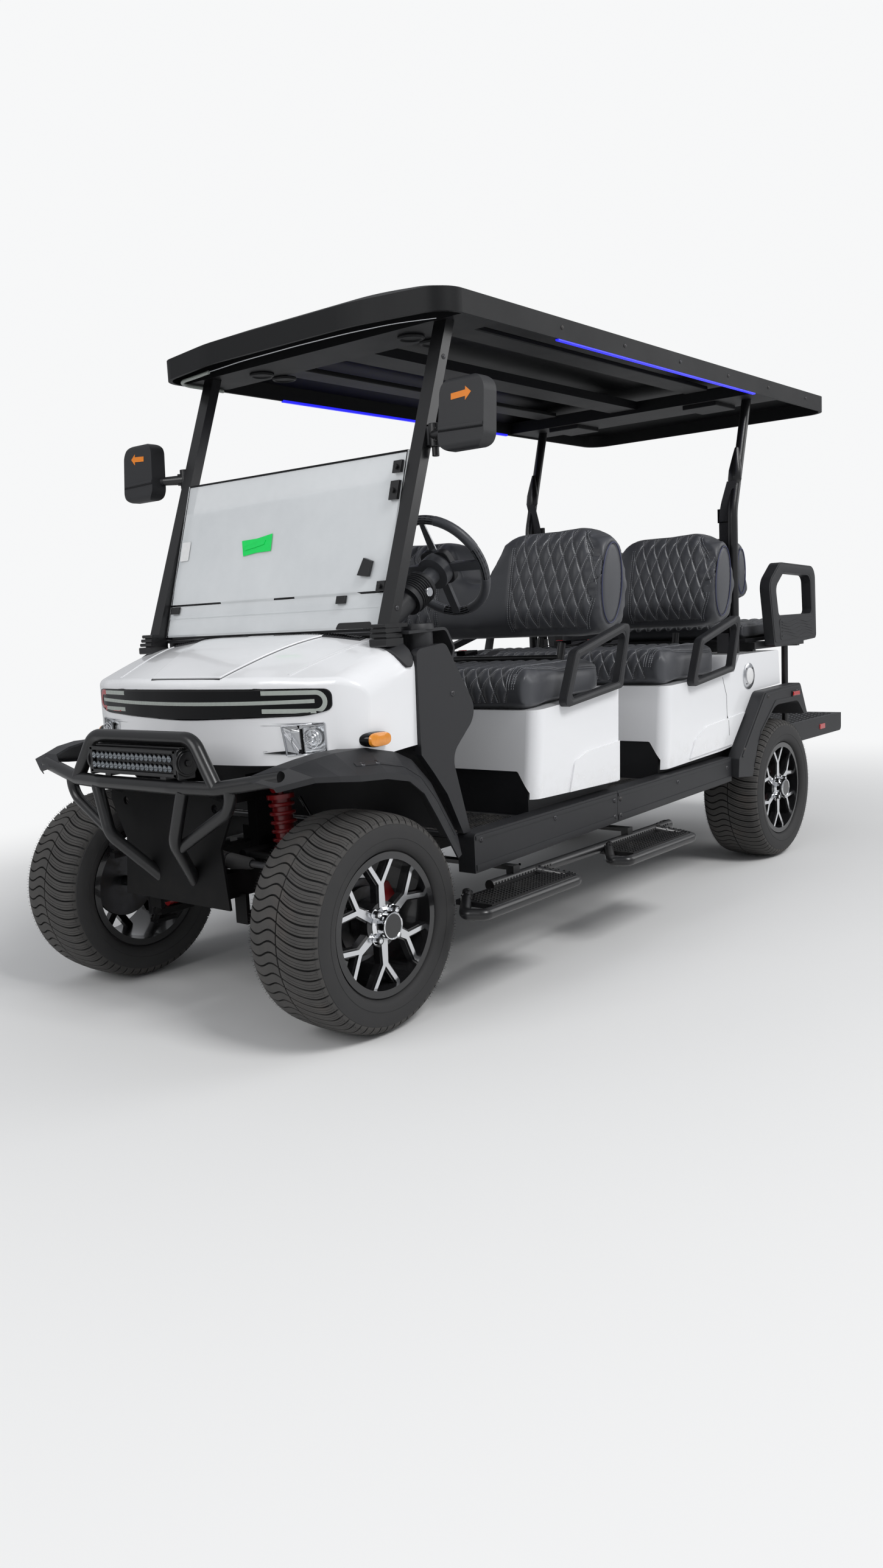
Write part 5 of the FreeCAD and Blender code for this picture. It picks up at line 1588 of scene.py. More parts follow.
    def build(self) -> None:
        """Build the four tyres and their hairs."""
        points, faces, grooves, treads = self.mesh()
        rods = Repeats(Repeats.rod_tree)
        for name, x, side in WHEELS:
            centre = Vector((x, side * self.track_half, AXLE_HEIGHT))
            mesh = bpy.data.meshes.new("tread_" + name)
            mesh.from_pydata([tuple(Vector(p) + centre) for p in points], [], faces)
            write_layer(mesh, "groove", grooves)
            write_layer(mesh, "tread", treads)
            mesh.materials.append(PALETTE.get(Finish.TYRE))
            tidy_normals(mesh, 1e-7)
            smooth(mesh, 38.0)
            piece = settle(new_object("tread_" + name, mesh), "wheel_" + name, "tyre_rubber")
            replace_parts(piece, "tyre_" + name)
            rods.run("tyre_hairs_" + name, self.hairs(centre), Finish.TYRE, "wheel_" + name, "tyre_rubber",
                     Radius=0.00045, Length=self.hair_length, Sides=4)
        log.info("Tyres: %d faces each", len(faces))


@dataclass
class WheelTrims:
    """Chrome centre caps and wheel nuts, and the brakes behind the spokes."""

    face: float = 0.595
    cap_radius: float = 0.0368
    cap_reach: float = 0.0345
    nut_circle: float = 0.048
    nut_radius: float = 0.0108
    disc_radius: float = 0.112
    disc_place: float = 0.512
    hub_radius: float = 0.052

    # corners of the brake caliper round the axle: reach, sideways and radius
    CALIPER: ClassVar[tuple[Point, ...]] = (
        (0.06, -0.035, 0.01), (0.128, -0.035, 0.012), (0.128, 0.035, 0.012), (0.06, 0.035, 0.01))

    def turned(self, solid: Solid, centre: Point, rows: Sequence[tuple[float, float]], side: int,
               steps: int = 48, finish: Finish | None = None) -> None:
        """Add a shape of revolution about Y from rows of radius and outward reach."""
        x, y, z = centre
        rings = [[(x + r * c, y + side * reach, z + r * s) for c, s in circle(steps)] for r, reach in rows]
        solid.rings(rings, finish=finish)

    def cap(self, name: str, x: float, side: int) -> None:
        """One centre cap with its shallow dished face, and four domed nuts."""
        centre = (x, side * self.face, AXLE_HEIGHT)
        trim = Solid("wheel_cap_" + name, Finish.CHROME, "wheel_" + name)
        r, top = self.cap_radius, self.cap_reach
        self.turned(trim, centre, ((r + 0.009, -0.002), (r + 0.009, 0.003), (r + 0.002, 0.006), (r, 0.009),
                                   (r, top - 0.003), (r - 0.0015, top + 0.0004), (r - 0.004, top + 0.001),
                                   (r - 0.0065, top - 0.0015), (0.004, top - 0.0025)), side)
        for i in range(4):
            turn = math.radians(45 + 90 * i)
            spot = (x + self.nut_circle * math.cos(turn), centre[1],
                    centre[2] + self.nut_circle * math.sin(turn))
            n = self.nut_radius
            self.turned(trim, spot, ((n + 0.002, 0.001), (n + 0.002, 0.004), (n, 0.005), (n * 0.92, 0.016),
                                     (n * 0.6, 0.0205), (0.001, 0.0218)), side, 12)
        trim.build(angle=30, slot="wheel_alloy")

    def brake(self, name: str, x: float, side: int) -> None:
        """Brake disc with a red caliper, carried by what the wheel turns on."""
        body = ("knuckle_left" if side > 0 else "knuckle_right") if name.startswith("front") else "cart_body"
        part = Solid("brake_" + name, Finish.STEEL, body)
        hub, rim = self.hub_radius, self.disc_radius
        centre = (x, side * self.disc_place, AXLE_HEIGHT)
        self.turned(part, centre, ((hub, -0.004), (rim, -0.004), (rim, 0.004), (hub, 0.004)), side)
        tilt = math.radians(150 if name.startswith("front") else 35)
        c, s = math.cos(tilt), math.sin(tilt)
        outline = [(x + u * c - v * s, side * (self.disc_place - 0.022), AXLE_HEIGHT + u * s + v * c)
                   for u, v in rounded_rows(self.CALIPER)]
        # the caliper takes the springs' red, darkened as painted shade
        part.panel(outline, (0, side * 0.044, 0), Finish.SPRING)
        part.build(0.002, 2, 30, "bare_steel")

    def build(self) -> None:
        """Build every wheel's trim."""
        for name, x, side in WHEELS:
            self.cap(name, x, side)
            self.brake(name, x, side)


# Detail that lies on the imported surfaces


class Skin:
    """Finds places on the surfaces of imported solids."""

    def __init__(self, *nodes: str) -> None:
        """Collect the surfaces of the named nodes."""
        work = bmesh.new()
        for node in nodes:
            work.from_mesh(FRAME["nodes"][node].data)
        self.tree = BVHTree.FromBMesh(work)
        work.free()

    def hit(self, start: Point, push: Point) -> tuple[Vector, Vector]:
        """First place met from a start along a push, and its normal towards the start.

        Args:
            start: Where the ray starts.
            push: Its direction.

        Returns:
            The place and the normal; the nearest ones when the ray meets nothing.
        """
        way = Vector(push).normalized()
        place, normal, *_ = self.tree.ray_cast(Vector(start), way)
        if place is None:
            place, normal, *_ = self.tree.find_nearest(Vector(start))
        return place, -normal if normal.dot(way) > 0 else normal

    def spot(self, start: Point, push: Point, along: Point = (0.0, 0.0, 1.0), lift: float = 0.0) -> Spot:
        """A spot on the skin, facing out of it."""
        place, normal = self.hit(start, push)
        return Spot(tuple(place + normal * lift), tuple(normal), along)


def spread(low: Point, far: Point, high: Point, near: Point, across: int = 12,
           along: int = 6) -> list[list[Vector]]:
    """A grid of points between four corners, given in order round the patch."""
    a, b, c, d = (Vector(p) for p in (low, far, high, near))
    return [[a.lerp(b, i / across).lerp(d.lerp(c, i / across), j / along) for i in range(across + 1)]
            for j in range(along + 1)]


def patch(solid: Solid, skin: Skin, grid: Sequence[Sequence[Vector]], push: Point, lift: float,
          sink: float = 0.003, finish: Finish | None = None) -> None:
    """Add a plate that follows a skin under a grid of start points.

    Args:
        solid: The solid to add to.
        skin: The surface to lie on.
        grid: Rows of start points.
        push: Direction from the grid to the skin.
        lift: Height of the plate over the skin.
        sink: How far it reaches under the skin.
        finish: Its finish.
    """
    rows, columns = len(grid), len(grid[0])
    top, low = [], []
    for row in grid:
        for start in row:
            place, normal = skin.hit(start, push)
            top.append(place + normal * lift)
            low.append(place - normal * sink)
    count = rows * columns
    faces = []
    for j in range(rows - 1):
        for i in range(columns - 1):
            a = j * columns + i
            faces.append((a, a + 1, a + columns + 1, a + columns))
            faces.append((count + a, count + a + columns, count + a + columns + 1, count + a + 1))
    edge = list(range(columns))
    edge += [j * columns + columns - 1 for j in range(1, rows)]
    edge += [(rows - 1) * columns + i for i in range(columns - 2, -1, -1)]
    edge += [j * columns for j in range(rows - 2, 0, -1)]
    for i, a in enumerate(edge):
        b = edge[(i + 1) % len(edge)]
        faces.append((a, count + a, count + b, b))
    solid.add([*top, *low], faces, finish)


def welt(solid: Solid, skin: Skin, path: Sequence[Point], push: Point, half: float, lift: float,
         sink: float = 0.002, finish: Finish | None = None) -> None:
    """Add a raised band that follows a skin along a path of start points."""
    places = [Vector(p) for p in path]
    way = Vector(push).normalized()
    rings = []
    for i, place in enumerate(places):
        along = (places[min(i + 1, len(places) - 1)] - places[max(i - 1, 0)]).normalized()
        side = along.cross(way).normalized()
        (a, up_a), (m, up_m), (b, up_b) = (skin.hit(place + side * half * u, push) for u in (-1, 0, 1))
        rings.append([tuple(v) for v in (a - up_a * sink, a + up_a * lift * 0.7, m + up_m * lift,
                                         b + up_b * lift * 0.7, b - up_b * sink)])
    solid.rings(rings, finish=finish)


def stretch(start: Sequence[float], end: Sequence[float], steps: int) -> list[Point]:
    """Even points between two places."""
    return [tuple(Vector(start).lerp(Vector(end), i / steps)) for i in range(steps + 1)]


# Front end


@dataclass
class FrontLamps:
    """Lit strips in the lamp band, projector lamps and the side markers."""

    start_x: float = 2.2
    strip_half: float = 0.0058
    strip_lift: float = 0.0012
    band_half: float = 0.452
    band_level: float = 0.868
    band_bow: float = 0.006
    loop_top: float = 0.896
    loop_low: float = 0.8485
    loop_start: float = 0.295
    loop_end: float = 0.455
    rim_half: float = 0.44
    eye: tuple[float, float] = (0.438, 0.777)
    marker_place: tuple[float, float] = (0.043, 0.768)
    marker_half: float = 0.041
    marker_rise: float = 0.0195

    # corners over Y and Z of one headlamp's silver pocket, its frame, the folds in it, the divider and
    # the glass
    POCKET: ClassVar[tuple[Flat, ...]] = ((0.351, 0.807), (0.401, 0.811), (0.402, 0.738), (0.363, 0.733))
    POCKET_FRAME: ClassVar[tuple[Flat, ...]] = (
        (0.350, 0.808), (0.470, 0.817), (0.472, 0.744), (0.362, 0.732))
    FOLDS: ClassVar[tuple[tuple[Flat, Flat], ...]] = (
        ((0.358, 0.803), (0.396, 0.795)), ((0.396, 0.795), (0.400, 0.742)), ((0.370, 0.797), (0.382, 0.745)))
    DIVIDER: ClassVar[tuple[Flat, Flat]] = ((0.402, 0.802), (0.405, 0.738))
    GLASS: ClassVar[tuple[Flat, ...]] = ((0.408, 0.806), (0.467, 0.812), (0.469, 0.749), (0.410, 0.741))
    # radius, lift and thickness of the projector's rings
    RINGS: ClassVar[tuple[Point, ...]] = (
        (0.0255, 0.0056, 0.0013), (0.0165, 0.0062, 0.0011), (0.0075, 0.0066, 0.0018))

    def bowed(self, half: float, level: float, bow: float, steps: int) -> list[Point]:
        """Start points of a line right across the band that rises towards its ends."""
        shares = [2 * i / steps - 1 for i in range(steps + 1)]
        return [(self.start_x, half * u, level + bow * u * u) for u in shares]

    def fronts(self, side: int, places: Iterable[Flat]) -> list[Point]:
        """Start points before the cart from places on its left half."""
        return [(self.start_x, side * y, z) for y, z in places]

    def band(self) -> None:
        """Milky strips: one across the whole band and a loop at each end."""
        skin = Skin("lamp_band")
        strips = Solid("band_strips", Finish.LED_OFF)
        across = self.bowed(self.band_half, self.band_level, self.band_bow, 60)
        welt(strips, skin, across, REARWARD, self.strip_half * 0.85, self.strip_lift)
        centre_z = (self.loop_top + self.loop_low) / 2
        radius = (self.loop_top - self.loop_low) / 2
        glow = Solid("band_red_end", Finish.RED)
        way_out = np.linspace(self.loop_start, self.loop_end, 14)
        for side, solid in ((1, strips), (-1, glow)):
            places = [(y, self.loop_top) for y in way_out]
            places += arc((self.loop_end, centre_z), radius, 90, -90, 12)
            places += [(y, self.loop_low) for y in way_out[::-1]]
            path = self.fronts(side, places)
            if side > 0:
                welt(solid, skin, path, REARWARD, self.strip_half, self.strip_lift)
                continue
            for straight in (path[:12], path[-12:]):
                welt(strips, skin, straight, REARWARD, self.strip_half, self.strip_lift)
            welt(solid, skin, path[11:-11], REARWARD, self.strip_half * 1.3, self.strip_lift * 1.3)
        strips.build(angle=50, slot="clear_lens")
        glow.build(angle=50, slot="red_lens")
        rim = Solid("band_rim", Finish.GLOSS_BLACK)
        for level, bow in ((0.9045, 0.0), (0.8268, 0.017)):
            welt(rim, skin, self.bowed(self.rim_half, level, bow, 44), REARWARD, 0.0022, 0.0014)
        rim.build(angle=50, slot="black_gloss")

    def lamp(self, side: int, name: str) -> None:
        """One headlamp: silver pocket, dark divider, clear projector box with its rings."""
        skin = Skin("headlamps", "front_cowl")
        pocket = Solid("headlamp_pocket_" + name, Finish.BEZEL)
        patch(pocket, skin, spread(*self.fronts(side, self.POCKET), 8, 8), REARWARD, 0.0012)
        frame = self.fronts(side, self.POCKET_FRAME)
        for start, end in zip(frame, frame[1:] + frame[:1]):
            welt(pocket, skin, stretch(start, end, 8), REARWARD, 0.0024, 0.0046)
        for fold in self.FOLDS:
            welt(pocket, skin, stretch(*self.fronts(side, fold), 6), REARWARD, 0.0012, 0.0016)
        welt(pocket, skin, stretch(*self.fronts(side, self.DIVIDER), 6), REARWARD, 0.0030, 0.007,
             finish=Finish.GLOSS_BLACK)
        pocket.build(angle=35, slot="wheel_alloy")
        lens = Solid("headlamp_lens_" + name, Finish.LENS)
        patch(lens, skin, spread(*self.fronts(side, self.GLASS), 6, 6), REARWARD, 0.0052)
        lens.build(0.0015, 2, 35, "clear_lens")
        self.projector(side, name, skin)

    def projector(self, side: int, name: str, skin: Skin) -> None:
        """Bright rings and spokes in a headlamp's glass."""
        eye, out = skin.hit(self.fronts(side, [self.eye])[0], REARWARD)
        out = (out + Vector((1.5, 0, 0))).normalized()
        up = out.cross(Vector((0, side, 0))).normalized()
        beside = out.cross(up)
        rings = Solid("headlamp_rings_" + name, Finish.CHROME)
        for radius, lift, thick in self.RINGS:
            loop = [tuple(eye + out * lift + (up * c + beside * s) * radius) for c, s in circle(28)]
            rings.tube(loop, thick, 6, looped=True)
        for c, s in circle(6):
            arm = up * c + beside * s
            rings.tube([tuple(eye + out * 0.006 + arm * reach) for reach in (0.009, 0.024)], 0.0009, 5)
        rings.build(angle=50, slot="wheel_alloy")

    def marker(self, side: int, name: str) -> None:
        """One oval side marker on a dark pad that reaches into the cowl."""
        start = (behind(self.marker_place[0]), side * 2.0, self.marker_place[1])
        base, _ = Skin("side_markers").hit(start, inward(side))
        for part, finish, slot, rows in (
                ("bezel", Finish.GLOSS_BLACK, "black_gloss",
                 ((1.0, -0.034), (1.0, 0.001), (0.96, 0.003), (0.80, 0.003))),
                ("amber", Finish.AMBER, "amber_lens",
                 ((0.94, 0.001), (0.94, 0.007), (0.84, 0.011), (0.5, 0.0135), (0.05, 0.014)))):
            solid = Solid(f"marker_{part}_{name}", finish)
            rings = []
            for grow, lift in rows:
                ring = []
                for c, s in circle(40):
                    u = math.copysign(abs(c) ** 0.6, c) * self.marker_half - (1 - grow) * c * 0.02
                    v = math.copysign(abs(s) ** 0.8, s) * self.marker_rise * grow
                    ring.append(tuple(base + Vector((u * (grow if grow < 0.8 else 1.0), side * lift, v))))
                rings.append(ring)
            solid.rings(rings)
            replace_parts(solid.build(angle=35, slot=slot), "side_markers")

    def build(self) -> None:
        """Build the lamps and markers."""
        self.band()
        for side, name in ((1, "left"), (-1, "right")):
            self.lamp(side, name)
            self.marker(side, name)


@dataclass
class Hood:
    """Raised bare badge panel with its creases, shut lines and the vents at the screen's foot."""

    above: float = 2.0
    panel_front: float = 0.102
    panel_rear: float = -0.198
    front_half: float = 0.148
    rear_half: float = 0.262
    lift: float = 0.0052
    crease_front: float = 0.36
    crease_rear: float = 0.43
    vent_start: float = 0.182
    vent_end: float = 0.206
    vent_inner: float = 0.05
    vent_outer: float = 0.40
    slats: int = 34

    def build(self) -> None:
        """Build the panel, the creases and the vents."""
        skin = Skin("front_cowl")
        top = self.above
        x0, x1 = FRONT_AXLE + self.panel_front, FRONT_AXLE + self.panel_rear
        grid = spread((x0, -self.front_half, top), (x0, self.front_half, top), (x1, self.rear_half, top),
                      (x1, -self.rear_half, top), 24, 20)
        panel = Solid("hood_panel", Finish.WHITE)
        patch(panel, skin, grid, DOWN, self.lift, 0.004)
        panel.build(0.0028, 3, 30, "white_panel")
        gaps = Solid("hood_panel_gaps", Finish.GLOSS_BLACK)
        creases = Solid("hood_creases", Finish.WHITE)
        vents = Solid("screen_vents", Finish.CHARCOAL)
        front = x0 + 0.0022
        welt(gaps, skin, stretch((front, -self.front_half, top), (front, self.front_half, top), 24), DOWN,
             0.0022, 0.0009)
        for side in (-1, 1):
            start = (x0 + 0.001, side * (self.front_half + 0.001), top)
            end = (x1, side * (self.rear_half + 0.001), top)
            welt(gaps, skin, stretch(start, end, 16), DOWN, 0.0018, 0.0009)
            start, end = (x0 - 0.05, side * self.crease_front, top), (x1, side * self.crease_rear, top)
            welt(creases, skin, stretch(start, end, 14), DOWN, 0.007, 0.0022)
            corners_of_vent = [(behind(d), side * y, top) for d, y in
                               ((self.vent_start, self.vent_inner), (self.vent_start, self.vent_outer),
                                (self.vent_end, self.vent_outer), (self.vent_end, self.vent_inner))]
            patch(vents, skin, spread(*corners_of_vent, 20, 2), DOWN, 0.0045)
        gaps.build(angle=60, slot="charcoal_trim")
        creases.build(angle=60, slot="white_panel")
        vents.build(0.001, 1, 30, "charcoal_trim")
        middle = behind((self.vent_start + self.vent_end) / 2)
        slats = [skin.spot((middle, side * y, top), DOWN, (0, 1, 0), 0.0055) for side in (-1, 1)
                 for y in np.linspace(self.vent_inner + 0.01, self.vent_outer - 0.01, self.slats)]
        Repeats(Repeats.block_tree).run("vent_slats", slats, Finish.GLOSS_BLACK, "cart_body", "charcoal_trim",
                                        Size=(0.0035, 0.019, 0.003))


@dataclass
class LightBar:
    """Finned housing with round ends, two rows of reflectors behind a glass, and its brackets."""

    columns: int = 18
    rows: int = 2
    window_rise: float = 0.072
    frame_depth: float = 0.0075
    rear_fins: int = 7
    rear_pitch: float = 0.0095
    top_fins: int = 5
    top_pitch: float = 0.007

    # radius of each step of an end cap, and where it starts and ends beyond the housing's end
    END_STEPS: ClassVar[tuple[Point, ...]] = (
        (0.0355, -0.002, 0.005), (0.030, 0.005, 0.008), (0.0085, 0.008, 0.0135))

    def build(self) -> None:
        """Build the window, the reflectors, fins, ends and bolts."""
        low, high = corners("light_bar")
        face, half, top = high.x, high.y, high.z
        base = top - self.window_rise
        self.frame(low.x, face, half, base, top)
        backing = Solid("light_bar_backing", Finish.GLOSS_BLACK)
        backing.box((face - 0.003, -half + 0.014, base + 0.009), (face + 0.0006, half - 0.014, top - 0.009))
        backing.build(slot="black_gloss")
        pitch_y = (2 * half - 0.034) / self.columns
        pitch_z = (top - base - 0.021) / self.rows
        spots = [Spot((face + 0.0036, -half + 0.017 + (i + 0.5) * pitch_y,
                       base + 0.0105 + (j + 0.5) * pitch_z), AHEAD, (0.0, 1.0, 0.0))
                 for j in range(self.rows) for i in range(self.columns)]
        Repeats(Repeats.cup_tree).run("light_bar_cups", spots, Finish.CUP, "cart_body", "wheel_alloy",
                                      Radius=pitch_y * 0.47, Depth=0.006)
        ends = Solid("light_bar_ends", Finish.POWDER)
        middle_x, middle_z = (low.x + face) / 2 + 0.001, (base + top) / 2
        plate = rounded_rows(((low.x - 0.001, base - 0.006, 0.004), (face + 0.006, base - 0.006, 0.006),
                              (face + 0.008, top + 0.001, 0.014), (low.x - 0.001, top + 0.001, 0.014)))
        for side in (-1, 1):
            for radius, start, end in self.END_STEPS:
                ends.rings([[(middle_x + radius * c, side * (half + y), middle_z + radius * s)
                             for c, s in circle(36)] for y in (start, end)])
            ends.panel([(x, side * (half - 0.004), z) for x, z in plate], (0, side * 0.006, 0))
        ends.build(0.001, 2, 30, "black_frame")

    def frame(self, rear: float, face: float, half: float, base: float, top: float) -> None:
        """The window's frame and the cooling fins.

        Args:
            rear: X of the housing's back.
            face: X of its front.
            half: Half its width.
            base: The window's lower edge.
            top: Its upper edge.
        """
        frame = Solid("light_bar_frame", Finish.POWDER)
        back, front = face - 0.004, face + self.frame_depth
        for z0, z1 in ((base + 0.001, base + 0.010), (top - 0.010, top - 0.001)):
            frame.box((back, -half + 0.004, z0), (front, half - 0.004, z1))
        for side in (-1, 1):
            a, b = sorted((side * (half - 0.004), side * (half - 0.016)))
            frame.box((back, a, base + 0.001), (front, b, top - 0.001))
        for i in range(self.rear_fins):
            z = base + 0.008 + i * self.rear_pitch
            frame.box((rear, -half + 0.01, z), (rear + 0.004, half - 0.01, z + 0.003))
        for i in range(self.top_fins):
            x = rear + 0.006 + i * self.top_pitch
            frame.box((x, -half + 0.008, top - 0.001), (x + 0.0028, half - 0.008, top + 0.0045))
        frame.build(0.0014, 2, 30, "black_frame")


# Cabin


@dataclass
class Screen:
    """Film, fold clips, latches, tape and the plain sticker on the folding windscreen."""

    foot: Flat = (0.2095, 1.046)
    head: Flat = (0.3515, 1.526)
    half: float = 0.466
    fold: float = 1.147
    stands: float = 0.0034
    edge: float = 0.004
    on_film: float = 0.0046

    # height and half height of the latches on the left edge
    LATCHES: ClassVar[tuple[Flat, ...]] = ((1.484, 0.017), (1.420, 0.026), (1.162, 0.014))
    # outlines over Y and Z of the hand clip, the tape and its fold, and, with corner radii, of the plate
    # at the screen's foot and the sticker
    CLIP: ClassVar[tuple[Flat, ...]] = ((0.352, 1.196), (0.394, 1.190), (0.400, 1.232), (0.368, 1.243))
    TAPE: ClassVar[tuple[Flat, ...]] = (
        (-0.148, 1.283), (-0.090, 1.290), (-0.027, 1.291), (-0.030, 1.343), (-0.096, 1.333), (-0.164, 1.331))
    TAPE_FOLD: ClassVar[tuple[Flat, ...]] = (
        (-0.150, 1.312), (-0.104, 1.318), (-0.055, 1.326), (-0.060, 1.313), (-0.100, 1.306), (-0.142, 1.300))
    FOOT_PLATE: ClassVar[tuple[Point, ...]] = (
        (0.286, 1.050, 0.004), (0.424, 1.050, 0.004), (0.417, 1.068, 0.01), (0.294, 1.068, 0.01))
    STICKER: ClassVar[tuple[Point, ...]] = (
        (-0.452, 1.288, 0.005), (-0.412, 1.288, 0.005), (-0.412, 1.348, 0.005), (-0.452, 1.348, 0.005))

    def at(self, y: float, z: float, out: float = 0.0) -> Point:
        """A place on the screen's front face, moved forward by out."""
        share = (z - self.foot[1]) / (self.head[1] - self.foot[1])
        d = self.foot[0] + (self.head[0] - self.foot[0]) * share
        return behind(d) + self.stands + out, y, z

    def sheet(self, solid: Solid, rows: Sequence[Flat], out: float, thick: float) -> None:
        """Add a flat thing on the screen from a (y, z) outline."""
        solid.panel([self.at(y, z, out) for y, z in rows], (thick, 0, 0))

    def film(self) -> None:
        """The creased film in two sheets, above and below the fold."""
        film = Solid("screen_film", Finish.SCREEN)
        rows, reach = 14, self.half - 0.006
        for z0, z1, out, lean in ((1.106, 1.446, 0.0022, 0.02), (1.054, 1.128, 0.0006, 0.0)):
            wave = []
            for j in range(rows + 1):
                row = []
                for y in np.linspace(-reach, reach, 34):
                    z = z0 + (z1 - z0) * j / rows + lean * y * j / rows
                    puff = 0.0022 * math.sin(9 * y + 5 * z) ** 2 * math.sin(23 * z + 3 * y) ** 2
                    row.append(self.at(y, z, out + puff))
                wave.append(row)
            film.rings(wave, closed=False, capped=False)
        film.build(angle=60, slot="clear_lens")

    def build(self) -> None:
        """Build everything on the screen."""
        half, low, top = self.half, self.foot[1], self.head[1]
        rubber = Solid("screen_rubbers", Finish.GLOSS_BLACK)
        for z, out in ((top, -0.0075), (self.fold, -0.006), (low - 0.0005, -0.006)):
            self.sheet(rubber, upright(-half, half, z - 0.0035, z + 0.0035), out, 0.0085)
        for y in (-half, half - self.edge):
            self.sheet(rubber, upright(y, y + self.edge, low, top), -0.005, 0.0062)
        rubber.build(0.0008, 1, slot="black_gloss")
        self.film()
        clips = Solid("screen_clips", Finish.POWDER)
        for y in (-0.43, 0.30):
            self.sheet(clips, upright(y - 0.017, y + 0.017, 1.121, 1.143), self.on_film, 0.009)
        for z, tall in self.LATCHES:
            latch = upright(half - 0.034, half - self.edge, z - tall, z + tall)
            self.sheet(clips, latch, self.on_film, 0.012)
            clips.tube([self.at(half - 0.019, z, 0.014), self.at(half - 0.019, z, 0.026)], 0.0065, 14)
        self.sheet(clips, self.CLIP, self.on_film, 0.011)
        self.sheet(clips, rounded_rows(self.FOOT_PLATE), 0.0008, 0.0014)
        clips.build(0.0022, 2, slot="black_frame")
        tape = Solid("screen_tape", Finish.TAPE)
        self.sheet(tape, self.TAPE, 0.0050, 0.0006)
        self.sheet(tape, self.TAPE_FOLD, 0.0058, 0.0016)
        tape.build(0.0004, 1)
        sticker = Solid("screen_sticker", Finish.STICKER)
        self.sheet(sticker, rounded_rows(self.STICKER), 0.0050, 0.0004)
        sticker.build()


@dataclass
class Mirrors:
    """Glass, crease, bare arrow label and the ball arm of both door mirrors."""

    start_front: float = 1.6
    start_rear: float = 0.8
    crease: Flat = (0.6075, 0.754)

    # corners over Y and Z: the glass, and the label's shaft and head
    GLASS: ClassVar[tuple[Flat, ...]] = ((0.618, 1.514), (0.743, 1.514), (0.743, 1.670), (0.622, 1.670))
    ARROW: ClassVar[tuple[tuple[Flat, ...], ...]] = (
        ((0.650, 1.628), (0.650, 1.644), (0.697, 1.647), (0.697, 1.631)),
        ((0.697, 1.621), (0.697, 1.656), (0.716, 1.640), (0.715, 1.639)))
    # the arm's tubes: start and end as distance behind the axle, Y and Z, then radius and sides
    ARM: ClassVar[tuple[tuple[Point, Point, float | Flat, int], ...]] = (
        ((0.386, 0.532, 1.530), (0.386, 0.532, 1.592), 0.017, 18),
        ((0.386, 0.532, 1.505), (0.386, 0.532, 1.531), 0.010, 14),
        ((0.384, 0.534, 1.56), (0.352, 0.600, 1.56), (0.0165, 0.0135), 18),
        ((0.380, 0.536, 1.545), (0.366, 0.548, 1.545), 0.0042, 8),
        ((0.380, 0.536, 1.575), (0.366, 0.548, 1.575), 0.0042, 8))

    def build(self) -> None:
        """Build both mirrors' detail."""
        skin = Skin("mirrors")
        glass = Solid("mirror_glass", Finish.MIRROR)
        labels = Solid("mirror_labels", Finish.LABEL)
        creases = Solid("mirror_creases", Finish.CHARCOAL)
        arms = Solid("mirror_arms", Finish.POWDER)
        inner, outer = self.crease
        for side in (-1, 1):
            places = [(self.start_rear, side * y, z) for y, z in self.GLASS]
            patch(glass, skin, spread(*places, 6, 8), AHEAD, 0.0012)
            for outline in self.ARROW:
                places = [(self.start_front, side * y, z) for y, z in outline]
                patch(labels, skin, spread(*places, 6, 4), REARWARD, 0.0006, 0.001)
            for z, half, lift, finish in ((1.560, 0.004, 0.0022, None),
                                          (1.5525, 0.0022, 0.0010, Finish.GLOSS_BLACK)):
                start = (self.start_front, side * inner, z)
                path = stretch(start, (self.start_front, side * outer, z - 0.004), 14)
                welt(creases, skin, path, REARWARD, half, lift, finish=finish)
            for start, end, radius, sides in self.ARM:
                arms.tube([(behind(d), side * y, z) for d, y, z in (start, end)], radius, sides)
        glass.build(0.0006, 1, slot="wheel_alloy")
        labels.build()
        creases.build(angle=60, slot="charcoal_trim")
        arms.build(0.002, 2, 35, "black_frame")


@dataclass
class PillarBoots:
    """Moulded tongues below the ribbed pillar boots, and the pillar's bolts."""

    start_y: float = 1.5
    slope: float = 0.12
    start_rise: float = 0.11
    pillar_foot: Flat = (0.19, 1.04)
    pillar_head: Flat = (0.487, 1.847)
    pillar_face: float = 0.5145
    bolt_heights: Flat = (1.10, 1.78)

    # rows of a tongue from the top down: where it starts and ends behind the axle, and its height
    TONGUE: ClassVar[tuple[Point, ...]] = (
        (0.150, 0.213, 1.012), (0.154, 0.212, 0.990), (0.160, 0.211, 0.970), (0.168, 0.205, 0.955),
        (0.178, 0.197, 0.945))

    def build(self) -> None:
        """Build both tongues and the bolts."""
        skin = Skin("front_cowl", "cowl_trims")
        tongues = Solid("boot_tongues", Finish.CHARCOAL)
        spots = []
        lean = (self.pillar_head[0] - self.pillar_foot[0]) / (self.pillar_head[1] - self.pillar_foot[1])
        for side in (-1, 1):
            grid = [[Vector((behind(d), side * self.start_y, z + self.start_rise))
                     for d in np.linspace(start, end, 5)] for start, end, z in self.TONGUE]
            patch(tongues, skin, grid, (0.0, -side, -self.slope), 0.0075)
            for z in self.bolt_heights:
                d = self.pillar_foot[0] + (z - self.pillar_foot[1]) * lean
                spots.append(Spot((behind(d), side * self.pillar_face, z), (0.0, side, 0.0)))
        tongues.build(0.003, 3, 40, "charcoal_trim")
        Repeats(Repeats.screw_tree).run("pillar_screws", spots, Finish.STEEL, "cart_body", "bare_steel",
                                        Radius=0.0075, Height=0.003)


